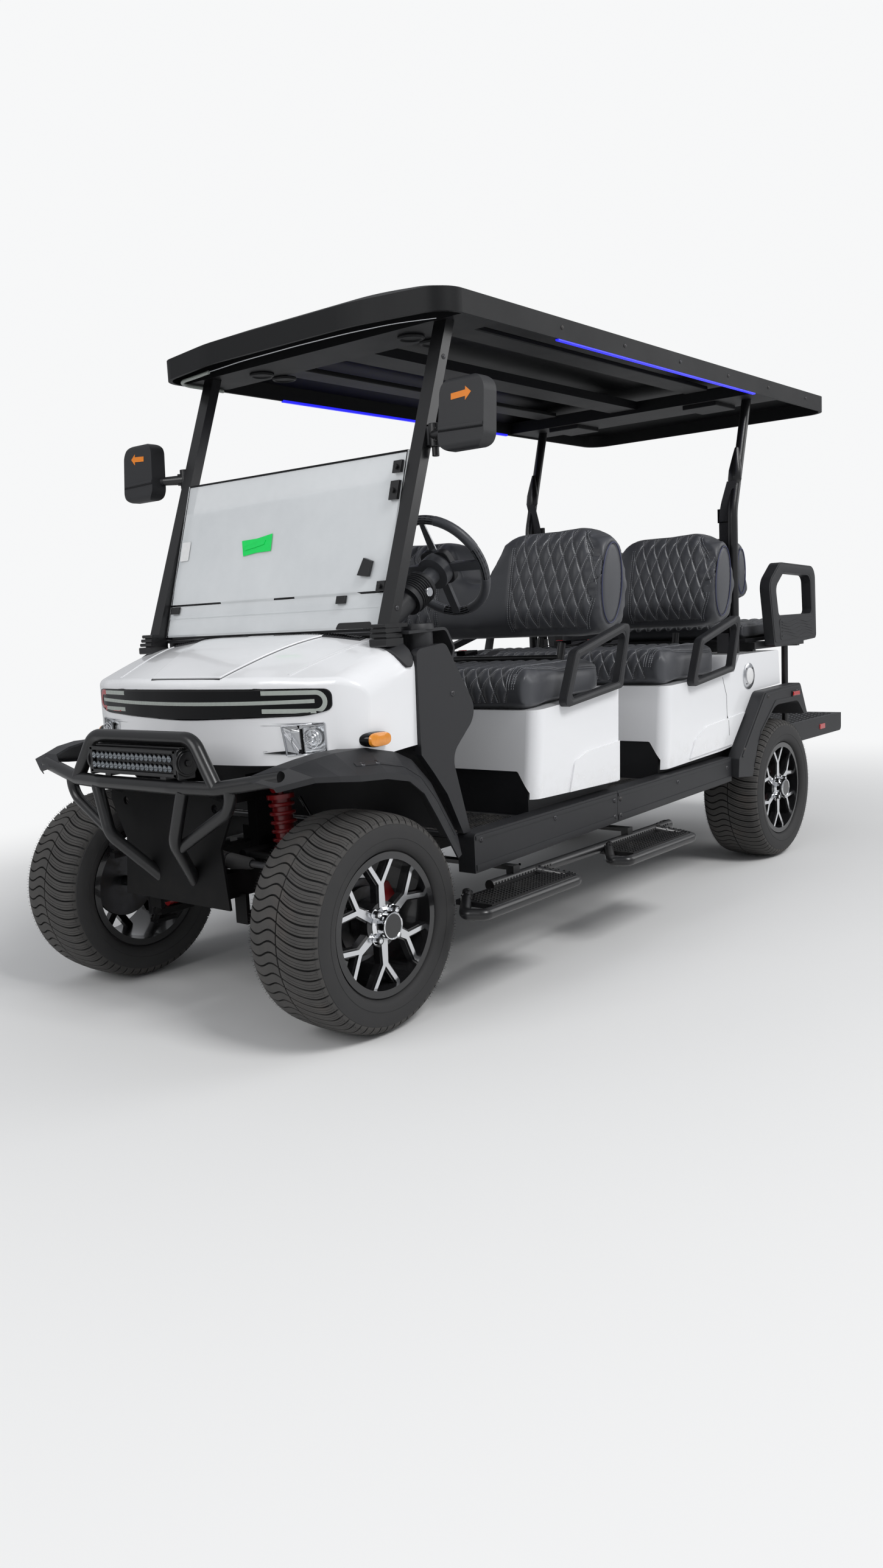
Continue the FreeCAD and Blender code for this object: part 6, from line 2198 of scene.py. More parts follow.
@dataclass
class Helm:
    """Leather rim with its seams, silver spoke plates, bare boss and the stalk's corrugated boot."""

    centre: Point = (0.856, 0.300, 1.225)
    tilt: float = math.radians(31.5)
    rim: float = 0.161
    grip: float = 0.014
    collars: int = 7
    collar_start: float = -0.118
    boot_ribs: int = 6
    rib_pitch: float = 0.009
    stitch_step: int = 4

    SPOKE: ClassVar[tuple[Point, ...]] = (
        (0.03, -0.017, 0.004), (0.03, 0.017, 0.004), (0.152, 0.010, 0.004), (0.152, -0.010, 0.004))
    BOSS: ClassVar[tuple[Point, ...]] = (
        (-0.062, -0.05, 0.03), (-0.05, 0.0, 0.03), (-0.062, 0.05, 0.03), (0.0, 0.058, 0.03),
        (0.05, 0.044, 0.03), (0.058, 0.0, 0.03), (0.05, -0.044, 0.03), (0.0, -0.058, 0.03))

    def turned(self, u: float, v: float, w: float) -> Point:
        """A place in the wheel's own frame: u forward and down, v sideways, w along the column."""
        along = Vector((-math.cos(self.tilt), 0.0, math.sin(self.tilt)))
        across = Vector((0.0, 1.0, 0.0))
        up = along.cross(across)
        return tuple(Vector(self.centre) + up * u + across * v + along * w)

    def ring(self, solid: Solid, thick: float, start: float, end: float,
             finish: Finish | None = None) -> None:
        """Add part of the rim, with its ends in degrees."""
        turns = np.linspace(math.radians(start), math.radians(end), max(8, int(abs(end - start) / 6)))
        path = [self.turned(self.rim * math.cos(t), self.rim * math.sin(t), 0.0) for t in turns]
        closed = abs(end - start) >= 360
        solid.tube(path[:-1] if closed else path, thick, 12, finish, looped=closed)

    def plate(self, solid: Solid, rows: Sequence[Flat], low: float, high: float, finish: Finish) -> None:
        """Add a flat plate across the column."""
        solid.rings([[self.turned(u, v, w) for u, v in rows] for w in (low, high)], finish=finish)

    def dress(self) -> None:
        """Leather and seams on the rim, spoke plates and the boss."""
        dress = Solid("steering_dress", Finish.LEATHER, "steering_wheel")
        for turn in (0, 90, 180, 270):
            self.ring(dress, self.grip + 0.0012, turn + 18, turn + 72)
        self.ring(dress, self.grip + 0.0003, 0, 360, Finish.GLOSS_BLACK)
        spoke = rounded_rows(self.SPOKE)
        for turn in (90, 180, 270):
            c, s = math.cos(math.radians(turn)), math.sin(math.radians(turn))
            arm = [(u * c - v * s, u * s + v * c) for u, v in spoke]
            self.plate(dress, arm, -0.003, 0.0015, Finish.BEZEL)
        self.plate(dress, rounded_rows(self.BOSS), -0.012, 0.010, Finish.CHARCOAL)
        dress.build(0.002, 2, 35, "dark_leather")

    def stitches(self) -> None:
        """Slanted stitches round the rim's inner side."""
        seams = []
        middle = Vector(self.turned(0, 0, 0))
        for c, s in circle(360 // self.stitch_step):
            place = Vector(self.turned((self.rim - self.grip) * c, (self.rim - self.grip) * s, 0.0))
            towards = (middle - place).normalized()
            along = Vector(self.turned(-s, c, 0.4)) - middle
            seams.append(Spot(tuple(place + towards * 0.0006), tuple(towards), tuple(along.normalized())))
        Repeats(Repeats.rod_tree).run("steering_stitches", seams, Finish.THREAD, "steering_wheel",
                                      "dark_leather", Radius=0.0006, Length=0.006, Sides=5)

    def column(self) -> None:
        """Collars round the column, the stalk with its corrugated boot, and the key switch."""
        small = Solid("column_parts", Finish.CHARCOAL)
        for i in range(self.collars):
            w = self.collar_start - self.rib_pitch * i
            small.rings([[self.turned(r * c, r * s, w - shift) for c, s in circle(24)]
                         for r, shift in ((0.049, 0.0), (0.0525, 0.002), (0.0525, 0.004), (0.049, 0.006))])
        for i in range(self.boot_ribs):
            start = Vector(self.turned(0.0, -0.062 - self.rib_pitch * i, -0.14)) + Vector((0, 0, -0.001 * i))
            small.tube([start, start + Vector((0, -0.0045, 0))], 0.0155 - 0.0006 * i, 16)
        start = Vector(self.turned(0.0, -0.205, -0.14))
        small.tube([start + Vector((0, 0.03, 0.0)), start + Vector((0, -0.018, -0.003))], (0.011, 0.014), 16)
        key = Vector(self.turned(0.0, 0.048, -0.15))
        small.tube([key, key + Vector((0, 0.012, 0))], 0.014, 20, Finish.CHROME)
        small.build(0.001, 1, 40, "charcoal_trim")

    def build(self) -> None:
        """Build the wheel's dress and the column's small parts."""
        self.dress()
        self.stitches()
        self.column()


@dataclass
class Dash:
    """Bare display, switch row, cup rims, pockets and the glove box lid's line."""

    start_x: float = 0.7
    cup_place: Point = (0.300, 0.506, 1.0432)
    switches: tuple[float, ...] = (0.125, 0.155, 0.185, 0.425, 0.455)
    switch_half: float = 0.011

    # upright rectangles on the dashboard's face: Y from and to, Z from and to
    BEZEL: ClassVar[tuple[float, ...]] = (-0.085, 0.085, 0.905, 1.015)
    DISPLAY: ClassVar[tuple[float, ...]] = (-0.076, 0.076, 0.913, 1.008)
    LATCH: ClassVar[tuple[float, ...]] = (-0.33, -0.27, 0.965, 0.978)
    LIDS: ClassVar[tuple[tuple[float, ...], ...]] = ((-0.46, -0.14, 0.80, 0.99), (0.12, 0.20, 0.80, 0.90))
    # radius and lift of the cup rim's rings
    CUP_RIM: ClassVar[tuple[Flat, ...]] = (
        (0.0382, -0.002), (0.0382, 0.0105), (0.0395, 0.0125), (0.0435, 0.0125), (0.0452, 0.0105),
        (0.0475, -0.004))

    def starts(self, y0: float, y1: float, z0: float, z1: float) -> list[Point]:
        """Start points behind the dashboard at a rectangle's corners."""
        return [(self.start_x, y, z) for y, z in upright(y0, y1, z0, z1)]

    def build(self) -> None:
        """Build the dashboard's detail."""
        skin = Skin("dashboard")
        parts = Solid("dash_parts", Finish.GLOSS_BLACK)
        patch(parts, skin, spread(*self.starts(*self.BEZEL), 8, 6), AHEAD, 0.006, finish=Finish.CHARCOAL)
        patch(parts, skin, spread(*self.starts(*self.DISPLAY), 8, 6), AHEAD, 0.0075, finish=Finish.DISPLAY)
        for y in self.switches:
            places = self.starts(y - self.switch_half, y + self.switch_half, 0.925, 0.967)
            patch(parts, skin, spread(*places, 3, 4), AHEAD, 0.005)
        for lid in self.LIDS:
            loop = self.starts(*lid)
            for a, b in zip(loop, loop[1:] + loop[:1]):
                welt(parts, skin, stretch(a, b, 8), AHEAD, 0.0016, 0.0012)
        patch(parts, skin, spread(*self.starts(*self.LATCH), 4, 3), AHEAD, 0.008, finish=Finish.CHARCOAL)
        parts.build(0.0012, 2, 35, "charcoal_trim")
        rims = Solid("cup_rims", Finish.CHARCOAL)
        back, beside, top = self.cup_place
        for side in (-1, 1):
            rims.rings([[(behind(back) + r * c, side * beside + r * s, top + lift) for c, s in circle(40)]
                        for r, lift in self.CUP_RIM], capped=False)
        rims.build(angle=40, slot="charcoal_trim")


@dataclass
class Mats:
    """Ribbed mats in both foot wells and the pads on the pedals."""

    half: float = 0.525
    start_x: float = 0.7
    wells: tuple[Flat, ...] = ((0.425, 0.715), (1.235, 1.535))
    ribbed: tuple[Flat, ...] = ((0.44, 0.705), (1.25, 1.525))
    rib_pitch: float = 0.0125
    rib_length: float = 0.025
    rib_columns: int = 42
    rib_level: float = 0.4562
    pedals: tuple[Flat, ...] = ((0.21, 0.026), (0.35, 0.04))
    pad_low: float = 0.515
    pad_pitch: float = 0.018

    def build(self) -> None:
        """Build the mats and pads."""
        skin = Skin("floor_pan")
        mats = Solid("floor_mats", Finish.MAT)
        for start, end in self.wells:
            places = [(behind(d), y, 0.5) for d, y in ((start, -self.half), (start, self.half),
                                                       (end, self.half), (end, -self.half))]
            patch(mats, skin, spread(*places, 2, 2), DOWN, 0.0035, 0.001)
        mats.build(0.0012, 1)
        ribs = []
        for start, end in self.ribbed:
            for i in range(int((end - start) / self.rib_pitch)):
                for j in range(self.rib_columns):
                    y = (j - (self.rib_columns - 1) / 2) * self.rib_length
                    lean = 0.45 if j % 2 else -0.45
                    place = (behind(start + self.rib_pitch * i), y, self.rib_level)
                    ribs.append(Spot(place, along=(lean, 1.0, 0.0)))
        Repeats(Repeats.block_tree).run("mat_ribs", ribs, Finish.MAT, "cart_body",
                                        Size=(self.rib_length, 0.0035, 0.0022))
        pads = Solid("pedal_pads", Finish.CHARCOAL)
        pedals = Skin("pedals")
        for y, half in self.pedals:
            for i in range(5):
                z = self.pad_low + i * self.pad_pitch
                rows = upright(y - half, y + half, z, z + self.pad_pitch / 2)
                places = [(self.start_x, *place) for place in rows]
                patch(pads, pedals, spread(*places, 2, 1), AHEAD, 0.003)
        pads.build(0.001, 1)


@dataclass
class Belts:
    """Lap belts with stitched ends and red buckles on the front rows, and the rear belts' tongues."""

    backs: Flat = (1.205, 2.045)
    strap_width: float = 0.046
    strap_thick: float = 0.0016
    rear_y: float = 0.4532
    anchor_y: float = 0.494

    # rings of an anchor cover: height, half length, half depth, distance behind the axle
    ANCHOR: ClassVar[tuple[tuple[float, ...], ...]] = (
        (1.548, 0.020, 0.012, 2.332), (1.560, 0.029, 0.017, 2.334), (1.600, 0.027, 0.018, 2.340),
        (1.650, 0.016, 0.013, 2.348), (1.690, 0.007, 0.008, 2.356))
    # a rear belt's upper end: distance behind the axle, Y, Z and bend
    UPPER: ClassVar[tuple[tuple[float, ...], ...]] = (
        (2.318, 0.490, 1.556, 0), (2.312, 0.462, 1.46, 0.05), (2.3165, 0.4535, 1.40, 0))
    # blocks of a rear belt: from and to behind the axle, half width, Z from and to, finish
    TONGUE: ClassVar[tuple[tuple, ...]] = (
        (2.330, 2.316, 0.028, 1.395, 1.45, None), (2.331, 2.317, 0.026, 1.175, 1.205, None),
        (2.329, 2.3265, 0.018, 1.130, 1.176, Finish.CHROME))

    def lap_belts(self) -> None:
        """Straps that lie on the front rows' cushions, with their buckles."""
        straps = Solid("belt_straps", Finish.WEBBING)
        buckles = Solid("belt_buckles", Finish.GLOSS_BLACK)
        for base in map(behind, self.backs):
            for side in (-1, 1):
                for y, reach in ((side * 0.055, 0.16), (side * 0.13, 0.15)):
                    path = bent([(base - 0.004, y, 0.945, 0), (base + 0.042, y, 0.945, 0.02),
                                 (base + 0.087, y + side * 0.012, 0.9335, 0.02),
                                 (base + 0.012 + reach, y + side * 0.02, 0.9335, 0)])
                    straps.ribbon(path, Vector((0, 1, 0)), self.strap_width, self.strap_thick)
                x, y = base + 0.135, side * 0.076
                buckles.box((x - 0.036, y - 0.019, 0.9352), (x + 0.036, y + 0.019, 0.952))
                buckles.box((x + 0.016, y - 0.013, 0.9522), (x + 0.032, y + 0.013, 0.9545), Finish.RED)
        straps.build(0.0004, 1, slot="webbing")
        buckles.build(0.002, 2, slot="black_gloss")

    def rear_belts(self) -> None:
        """Anchor covers on the posts, the straps' upper ends and the tongues."""
        anchors = Solid("belt_anchors", Finish.POWDER)
        tops = Solid("belt_upper_straps", Finish.WEBBING)
        hooks = Solid("rear_belt_tongues", Finish.GLOSS_BLACK)
        for side in (-1, 1):
            anchors.rings([[(behind(d) + deep * c, side * self.anchor_y + wide * s, z) for c, s in circle(16)]
                           for z, wide, deep, d in self.ANCHOR])
            path = bent([(behind(d), side * y, z, bend) for d, y, z, bend in self.UPPER])
            tops.ribbon(path, Vector((0, 1, 0)), 0.044, self.strap_thick)
            y = side * self.rear_y
            for start, end, half, z0, z1, finish in self.TONGUE:
                hooks.box((behind(start), y - half, z0), (behind(end), y + half, z1), finish)
        anchors.build(0.002, 2, 40, "black_frame")
        tops.build(slot="webbing")
        hooks.build(0.002, 2, slot="black_gloss")

    def build(self) -> None:
        """Build the belts of every row."""
        self.lap_belts()
        self.rear_belts()


# Body


@dataclass
class RoofDress:
    """Lit strips, screws, the front lip and the lining's ribs and knobs under the roof."""

    side: float = 0.602
    low: float = 1.877
    end: float = 3.0503
    screw_level: float = 1.912
    strip_front: float = 0.91
    strip_rear: float = 2.30
    side_screws: tuple[float, ...] = (0.93, 1.30, 1.68, 2.06, 2.42, 2.80)
    rear_screws: tuple[float, ...] = (-0.4, -0.13, 0.13, 0.4)

    # lines under the front edge: distance behind the axle, Y and bend
    CORNER_STRIP: ClassVar[tuple[Point, ...]] = (
        (0.620, -0.582, 0), (0.455, -0.580, 0.03), (0.408, -0.545, 0.04), (0.396, -0.45, 0.05),
        (0.384, -0.375, 0))
    LIP: ClassVar[tuple[Point, ...]] = (
        (0.384, -0.374, 0), (0.362, -0.20, 0.05), (0.356, 0.06, 0.05), (0.364, 0.25, 0.05),
        (0.386, 0.41, 0.05), (0.432, 0.52, 0))
    # radius and height of a grab knob's rings under the roof
    KNOB: ClassVar[tuple[Flat, ...]] = ((0.040, 1.884), (0.040, 1.876), (0.034, 1.873), (0.030, 1.878))

    def line(self, rows: Sequence[Point], drop: float) -> list[Point]:
        """A bent line a little below the roof's lower edge."""
        return bent([(behind(d), y, self.low - drop, bend) for d, y, bend in rows], 8)

    def lights(self) -> None:
        """Blue strips along both sides, the white strip in one front corner and the bright lip."""
        blue = Solid("roof_blue_strips", Finish.LED_BLUE)
        for s in (-1, 1):
            a, b = sorted((s * (self.side - 0.0005), s * (self.side - 0.0125)))
            blue.box((behind(self.strip_rear), a, self.low - 0.0048),
                     (behind(self.strip_front), b, self.low + 0.0035))
        blue.build(0.0012, 2, slot="clear_lens")
        lip = Solid("roof_front_lip", Finish.BEZEL)
        lip.tube(self.line(self.LIP, 0.001), 0.0022, 8)
        lip.build(angle=60, slot="charcoal_trim")
        white = Solid("roof_white_strip", Finish.LED_OFF)
        white.tube(self.line(self.CORNER_STRIP, 0.002), 0.0055, 10)
        white.build(angle=60, slot="clear_lens")

    def build(self) -> None:
        """Build the strips, screws, lips and the lining."""
        self.lights()
        spots = [Spot((behind(d), s * (self.side + 0.0004), self.screw_level), (0.0, s, 0.0))
                 for s in (-1, 1) for d in self.side_screws]
        spots += [Spot((behind(self.end), y, self.screw_level), REARWARD, (0.0, 1.0, 0.0))
                  for y in self.rear_screws]
        Repeats(Repeats.screw_tree).run("roof_screws", spots, Finish.STEEL, "cart_body", "bare_steel",
                                        Radius=0.0065, Height=0.0035)
        lining = Solid("roof_ribs", Finish.ROOF)
        for y in (-0.36, 0.36):
            lining.box((behind(2.28), y - 0.05, 1.915), (behind(0.70), y + 0.05, 1.931))
        for s in (-1, 1):
            lining.box((behind(2.54), s * 0.33 - 0.075, 1.868), (behind(2.36), s * 0.33 + 0.075, 1.886))
            for d in (0.56, 0.66):
                lining.rings([[(behind(d) + r * c, s * 0.32 + r * u, z) for c, u in circle(28)]
                              for r, z in self.KNOB])
        lining.build(0.004, 3, 35, "charcoal_trim")


@dataclass
class Armrests:
    """Raised rims of the flat armrest loops, and the rear ones' panels."""

    face: float = 0.6063
    row_pitch: float = 0.85
    rear_face: float = 0.566
    waves: int = 5

    # outlines with corner radii: distance behind the axle, Z and radius
    OUTER: ClassVar[tuple[Point, ...]] = (
        (0.862, 0.772, 0.02), (0.940, 0.946, 0.034), (1.290, 1.034, 0.03), (1.222, 0.812, 0.02))
    INNER: ClassVar[tuple[Point, ...]] = (
        (0.904, 0.797, 0.014), (0.966, 0.926, 0.016), (1.254, 0.998, 0.018), (1.196, 0.832, 0.012))
    REAR_PLATE: ClassVar[tuple[Point, ...]] = (
        (2.60, 0.905, 0.02), (2.965, 0.915, 0.03), (2.962, 0.995, 0.02), (2.590, 0.995, 0.02))
    REAR_OUTER: ClassVar[tuple[Point, ...]] = (
        (2.545, 0.885, 0.02), (2.492, 1.15, 0.06), (2.60, 1.228, 0.06), (2.983, 1.211, 0.06),
        (2.996, 0.905, 0.02))
    REAR_INNER: ClassVar[tuple[Point, ...]] = (
        (2.588, 1.005, 0.02), (2.558, 1.132, 0.04), (2.638, 1.190, 0.04), (2.932, 1.178, 0.04),
        (2.947, 1.008, 0.02))
    # sections of the raised rims: share of the way from the outer to the inner outline, and height
    SECTION: ClassVar[tuple[Flat, ...]] = (
        (0.10, -0.001), (0.10, 0.0016), (0.48, 0.0042), (0.84, 0.0010), (0.84, -0.001))
    REAR_SECTION: ClassVar[tuple[Flat, ...]] = (
        (0.1, -0.001), (0.1, 0.00175), (0.5, 0.0035), (0.92, 0.001), (0.92, -0.001))

    @staticmethod
    def outline(rows: Sequence[Point], shift: float = 0.0, steps: int = 6) -> list[Flat]:
        """X and Z of an outline, moved back by a shift."""
        return rounded_rows([(behind(d + shift), z, r) for d, z, r in rows], steps)

    @staticmethod
    def rim(solid: Solid, outer: Sequence[Flat], inner: Sequence[Flat], section: Sequence[Flat], face: float,
            side: int) -> None:
        """Add a raised rim between two outlines.

        Args:
            solid: The solid to add to.
            outer: The outer outline.
            inner: The inner outline.
            section: Rows of share and height.
            face: Y of the face that it stands on.
            side: 1 on the left, -1 on the right.
        """
        solid.rings([[(a[0] * (1 - u) + b[0] * u, side * (face + lift), a[1] * (1 - u) + b[1] * u)
                      for a, b in zip(outer, inner)] for u, lift in section], capped=False)

    def build(self) -> None:
        """Build all four loops and both rear panels."""
        faces = Solid("armrest_faces", Finish.CHARCOAL)
        panels = Solid("rear_armrest_panels", Finish.CHARCOAL)
        for side in (-1, 1):
            for shift in (0.0, self.row_pitch):
                self.rim(faces, self.outline(self.OUTER, shift), self.outline(self.INNER, shift),
                         self.SECTION, self.face, side)
            plate = [(x, side * self.rear_face, z) for x, z in self.outline(self.REAR_PLATE)]
            panels.panel(plate, (0, side * 0.004, 0))
            for k in range(self.waves):
                path = [(behind(2.61 + 0.34 * t), side * (self.rear_face + 0.0045),
                         0.922 + 0.015 * k + 0.006 * math.sin(2 * math.pi * (t * 1.5 + 0.12 * k)))
                        for t in np.linspace(0, 1, 28)]
                panels.tube(path, 0.0022, 8)
            self.rim(panels, self.outline(self.REAR_OUTER, steps=8), self.outline(self.REAR_INNER, steps=8),
                     self.REAR_SECTION, self.rear_face, side)
        faces.build(angle=30, slot="charcoal_trim")
        panels.build(0.0012, 2, 30, "charcoal_trim")


def beside(side: int, places: Iterable[Flat]) -> list[Point]:
    """Start points beside the cart from rows of distance behind the front axle and height."""
    return [(behind(d), side * 2.0, z) for d, z in places]


@dataclass
class SideTrims:
    """Screws, clips and joints of the rockers and flares, shut lines, charge port and rear markers."""

    port_place: Flat = (2.251, 0.779)
    marker_place: Flat = (2.602, 0.682)
    step_side: Flat = (3.12, 0.487)
    step_rear: Point = (-3.0, 0.42, 0.50)

    ROCKER_SCREWS: ClassVar[tuple[Flat, ...]] = (
        (1.155, 0.385), (1.155, 0.44), (1.193, 0.385), (1.193, 0.44), (0.42, 0.44), (0.80, 0.44),
        (1.60, 0.44), (2.0, 0.44))
    FLARE_SCREWS: ClassVar[tuple[Flat, ...]] = ((2.10, 0.50), (2.33, 0.69), (2.62, 0.69))
    COWL_SCREW: ClassVar[Flat] = (0.36, 0.86)
    # lines of the rockers with half width and lift, and of the rear flares, the same way
    ROCKER_LINES: ClassVar[tuple[tuple[Flat, Flat, float, float], ...]] = (
        ((0.395, 0.4475), (1.170, 0.4562), 0.006, 0.0026), ((1.178, 0.4563), (2.030, 0.4665), 0.006, 0.0026),
        ((0.395, 0.362), (1.170, 0.379), 0.009, 0.0022), ((1.178, 0.380), (2.030, 0.396), 0.009, 0.0022))
    FLARE_LINES: ClassVar[tuple[tuple[tuple[Flat, ...], float, float], ...]] = (
        (((2.08, 0.475), (2.30, 0.700), (2.46, 0.708), (2.645, 0.711)), 0.005, 0.003),
        (((2.19, 0.42), (2.255, 0.555), (2.40, 0.665), (2.62, 0.667)), 0.004, 0.0024))
    # the front flare's crease: angle round the axle and radius
    FRONT_CREASE: ClassVar[tuple[Flat, ...]] = (
        (80, 0.432), (92, 0.42), (104, 0.414), (115, 0.402), (128, 0.378), (150, 0.362))
    SHUT_LINE: ClassVar[tuple[Flat, ...]] = ((2.019, 0.789), (2.052, 0.715), (2.058, 0.56))
    # rings of the charge port's cover and of its bare label: half width, half height and lift
    COVER: ClassVar[tuple[Point, ...]] = (
        (0.050, 0.052, -0.002), (0.050, 0.052, 0.004), (0.046, 0.048, 0.0065), (0.006, 0.006, 0.0065))
    LABEL: ClassVar[tuple[Point, ...]] = (
        (0.031, 0.033, 0.005), (0.031, 0.033, 0.0085), (0.029, 0.031, 0.0095), (0.005, 0.005, 0.0095))

    def __post_init__(self) -> None:
        """Find the surfaces that the trims lie on."""
        self.rockers = Skin("rockers_front", "rockers_rear")
        self.flares = Skin("rear_flares")
        self.fronts = Skin("front_flares")

    def screws(self) -> None:
        """Every visible body screw."""
        spots = []
        trims = Skin("cowl_trims")
        for s in (-1, 1):
            push = inward(s)
            spots += [self.rockers.spot(start, push) for start in beside(s, self.ROCKER_SCREWS)]
            spots += [self.flares.spot(start, push) for start in beside(s, self.FLARE_SCREWS)]
            spots += [self.fronts.spot((behind(d), s * 0.60, 1.2), DOWN, AHEAD) for d in (-0.049, 0.005)]
            spots.append(trims.spot(beside(s, [self.COWL_SCREW])[0], push))
        Repeats(Repeats.screw_tree).run("body_screws", spots, Finish.STEEL, "cart_body", "bare_steel",
                                        Radius=0.0085, Height=0.004)

    def lines(self) -> None:
        """Bevels along the rockers, flare creases and the white panels' shut lines."""
        bevels = Solid("rocker_bevels", Finish.CHARCOAL)
        lines = Solid("shut_lines", Finish.GLOSS_BLACK)
        shell = Skin("seat_box_front", "rear_body")
        for s in (-1, 1):
            push = inward(s)
            for start, end, half, lift in self.ROCKER_LINES:
                welt(bevels, self.rockers, stretch(*beside(s, (start, end)), 20), push, half, lift)
            for places, half, lift in self.FLARE_LINES:
                for a, b in zip(beside(s, places), beside(s, places[1:])):
                    welt(bevels, self.flares, stretch(a, b, 10), push, half, lift)
            crease = beside(s, [(-r * math.cos(math.radians(t)), AXLE_HEIGHT + r * math.sin(math.radians(t)))
                                for t, r in self.FRONT_CREASE])
            for a, b in zip(crease, crease[1:]):
                welt(bevels, self.fronts, stretch(a, b, 6), push, 0.004, 0.002)
            path = beside(s, self.SHUT_LINE)
            for a, b in zip(path, path[1:]):
                welt(lines, shell, stretch(a, b, 8), push, 0.0012, 0.0005)
        bevels.build(angle=40, slot="charcoal_trim")
        lines.build(angle=60, slot="charcoal_trim")

    def port(self) -> None:
        """Oval charge port cover with four screws on the left side."""
        shell = Skin("rear_body")
        push = inward(1)
        centre = Vector(beside(1, [self.port_place])[0])
        for name, finish, slot, rows in (("charge_port", Finish.BEZEL, "wheel_alloy", self.COVER),
                                         ("charge_port_label", Finish.STICKER, "white_panel", self.LABEL)):
            cover = Solid(name, finish)
            cover.rings([[shell.spot(centre + Vector((a * c, 0, b * s)), push, lift=lift).place
                          for c, s in circle(36)] for a, b, lift in rows])
            cover.build(angle=35, slot=slot)
        spots = [shell.spot(centre + Vector((0.02844 * u, 0, 0.02988 * v)), push, lift=0.0065)
                 for u, v in ((1, 1), (-1, 1), (-1, -1), (1, -1))]
        Repeats(Repeats.screw_tree).run("charge_port_screws", spots, Finish.STEEL, "cart_body", "bare_steel",
                                        Radius=0.0038, Height=0.002)

    def markers(self) -> None:
        """Red markers on the rear flares and reflectors on the footrest's fascia."""
        step = Skin("rear_footrest")
        bezels = Solid("rear_marker_bezels", Finish.GLOSS_BLACK)
        reds = Solid("rear_markers", Finish.RED)
        d, z = self.marker_place
        step_d, step_z = self.step_side
        start_x, middle, level = self.step_rear
        for s in (-1, 1):
            push = inward(s)
            for solid, a, b, lift in ((bezels, 0.040, 0.0125, 0.0045), (reds, 0.034, 0.0085, 0.0085)):
                places = ((d + a, z - b), (d - a, z - b), (d - a * 0.9, z + b), (d + a * 0.9, z + b))
                patch(solid, self.flares, spread(*beside(s, places), 8, 3), push, lift)
            places = beside(s, upright(step_d + 0.03, step_d - 0.03, step_z - 0.012, step_z + 0.012))
            patch(reds, step, spread(*places, 4, 3), push, 0.004)
            places = [(start_x, *place) for place in
                      upright(s * middle - 0.05, s * middle + 0.05, level - 0.012, level + 0.012)]
            patch(reds, step, spread(*places, 4, 3), AHEAD, 0.004)
        bezels.build(0.0022, 2, 35, "black_gloss")
        reds.build(0.0022, 2, 35, "red_lens")

    def build(self) -> None:
        """Build every side trim."""
        self.screws()
        self.lines()
        self.port()
        self.markers()


@dataclass
class Treads:
    """Chequer plate on the footrest and grit strips on the side steps."""

    lozenge_start: float = 2.772
    lozenge_level: float = 0.5312
    lozenge_pitch: Flat = (0.0435, 0.031)
    lozenge_counts: tuple[int, int] = (13, 34)
    lozenge_edge: float = 0.512
    pads: tuple[Flat, ...] = ((0.275, 0.73), (1.025, 1.46))
    stud_pitch: float = 0.0145
    stud_inner: float = 0.640
    stud_columns: int = 8
    pad_level: float = 0.3

    def build(self) -> None:
        """Build the lozenges and the pads' studs."""
        spots = []
        for i in range(self.lozenge_counts[0]):
            d = self.lozenge_start + self.lozenge_pitch[0] * i
            for j in range(self.lozenge_counts[1]):
                y = -self.lozenge_edge + self.lozenge_pitch[1] * j
                lean = 1.0 if (i + j) % 2 else -1.0
                spots.append(Spot((behind(d), y, self.lozenge_level), along=(1.0, lean, 0.0)))
        Repeats(Repeats.rod_tree).run("footrest_lozenges", spots, Finish.CHARCOAL, "cart_body",
                                      "charcoal_trim", Radius=0.0042, Length=0.022, Sides=8, Flatness=0.45)
        steps = Skin("side_steps")
        studs = []
        for s in (-1, 1):
            for start, end in self.pads:
                for i in range(int((end - start) / self.stud_pitch)):
                    for j in range(self.stud_columns):
                        d = start + self.stud_pitch * (i + 0.5 * (j % 2))
                        y = s * (self.stud_inner + self.stud_pitch * j)
                        spot = steps.spot((behind(d), y, 1.0), DOWN, AHEAD, 0.0008)
                        if spot.place[2] > self.pad_level:
                            studs.append(spot)
        Repeats(Repeats.block_tree).run("step_studs", studs, Finish.POWDER, "cart_body", "black_frame",
                                        Size=(0.006, 0.006, 0.0022))


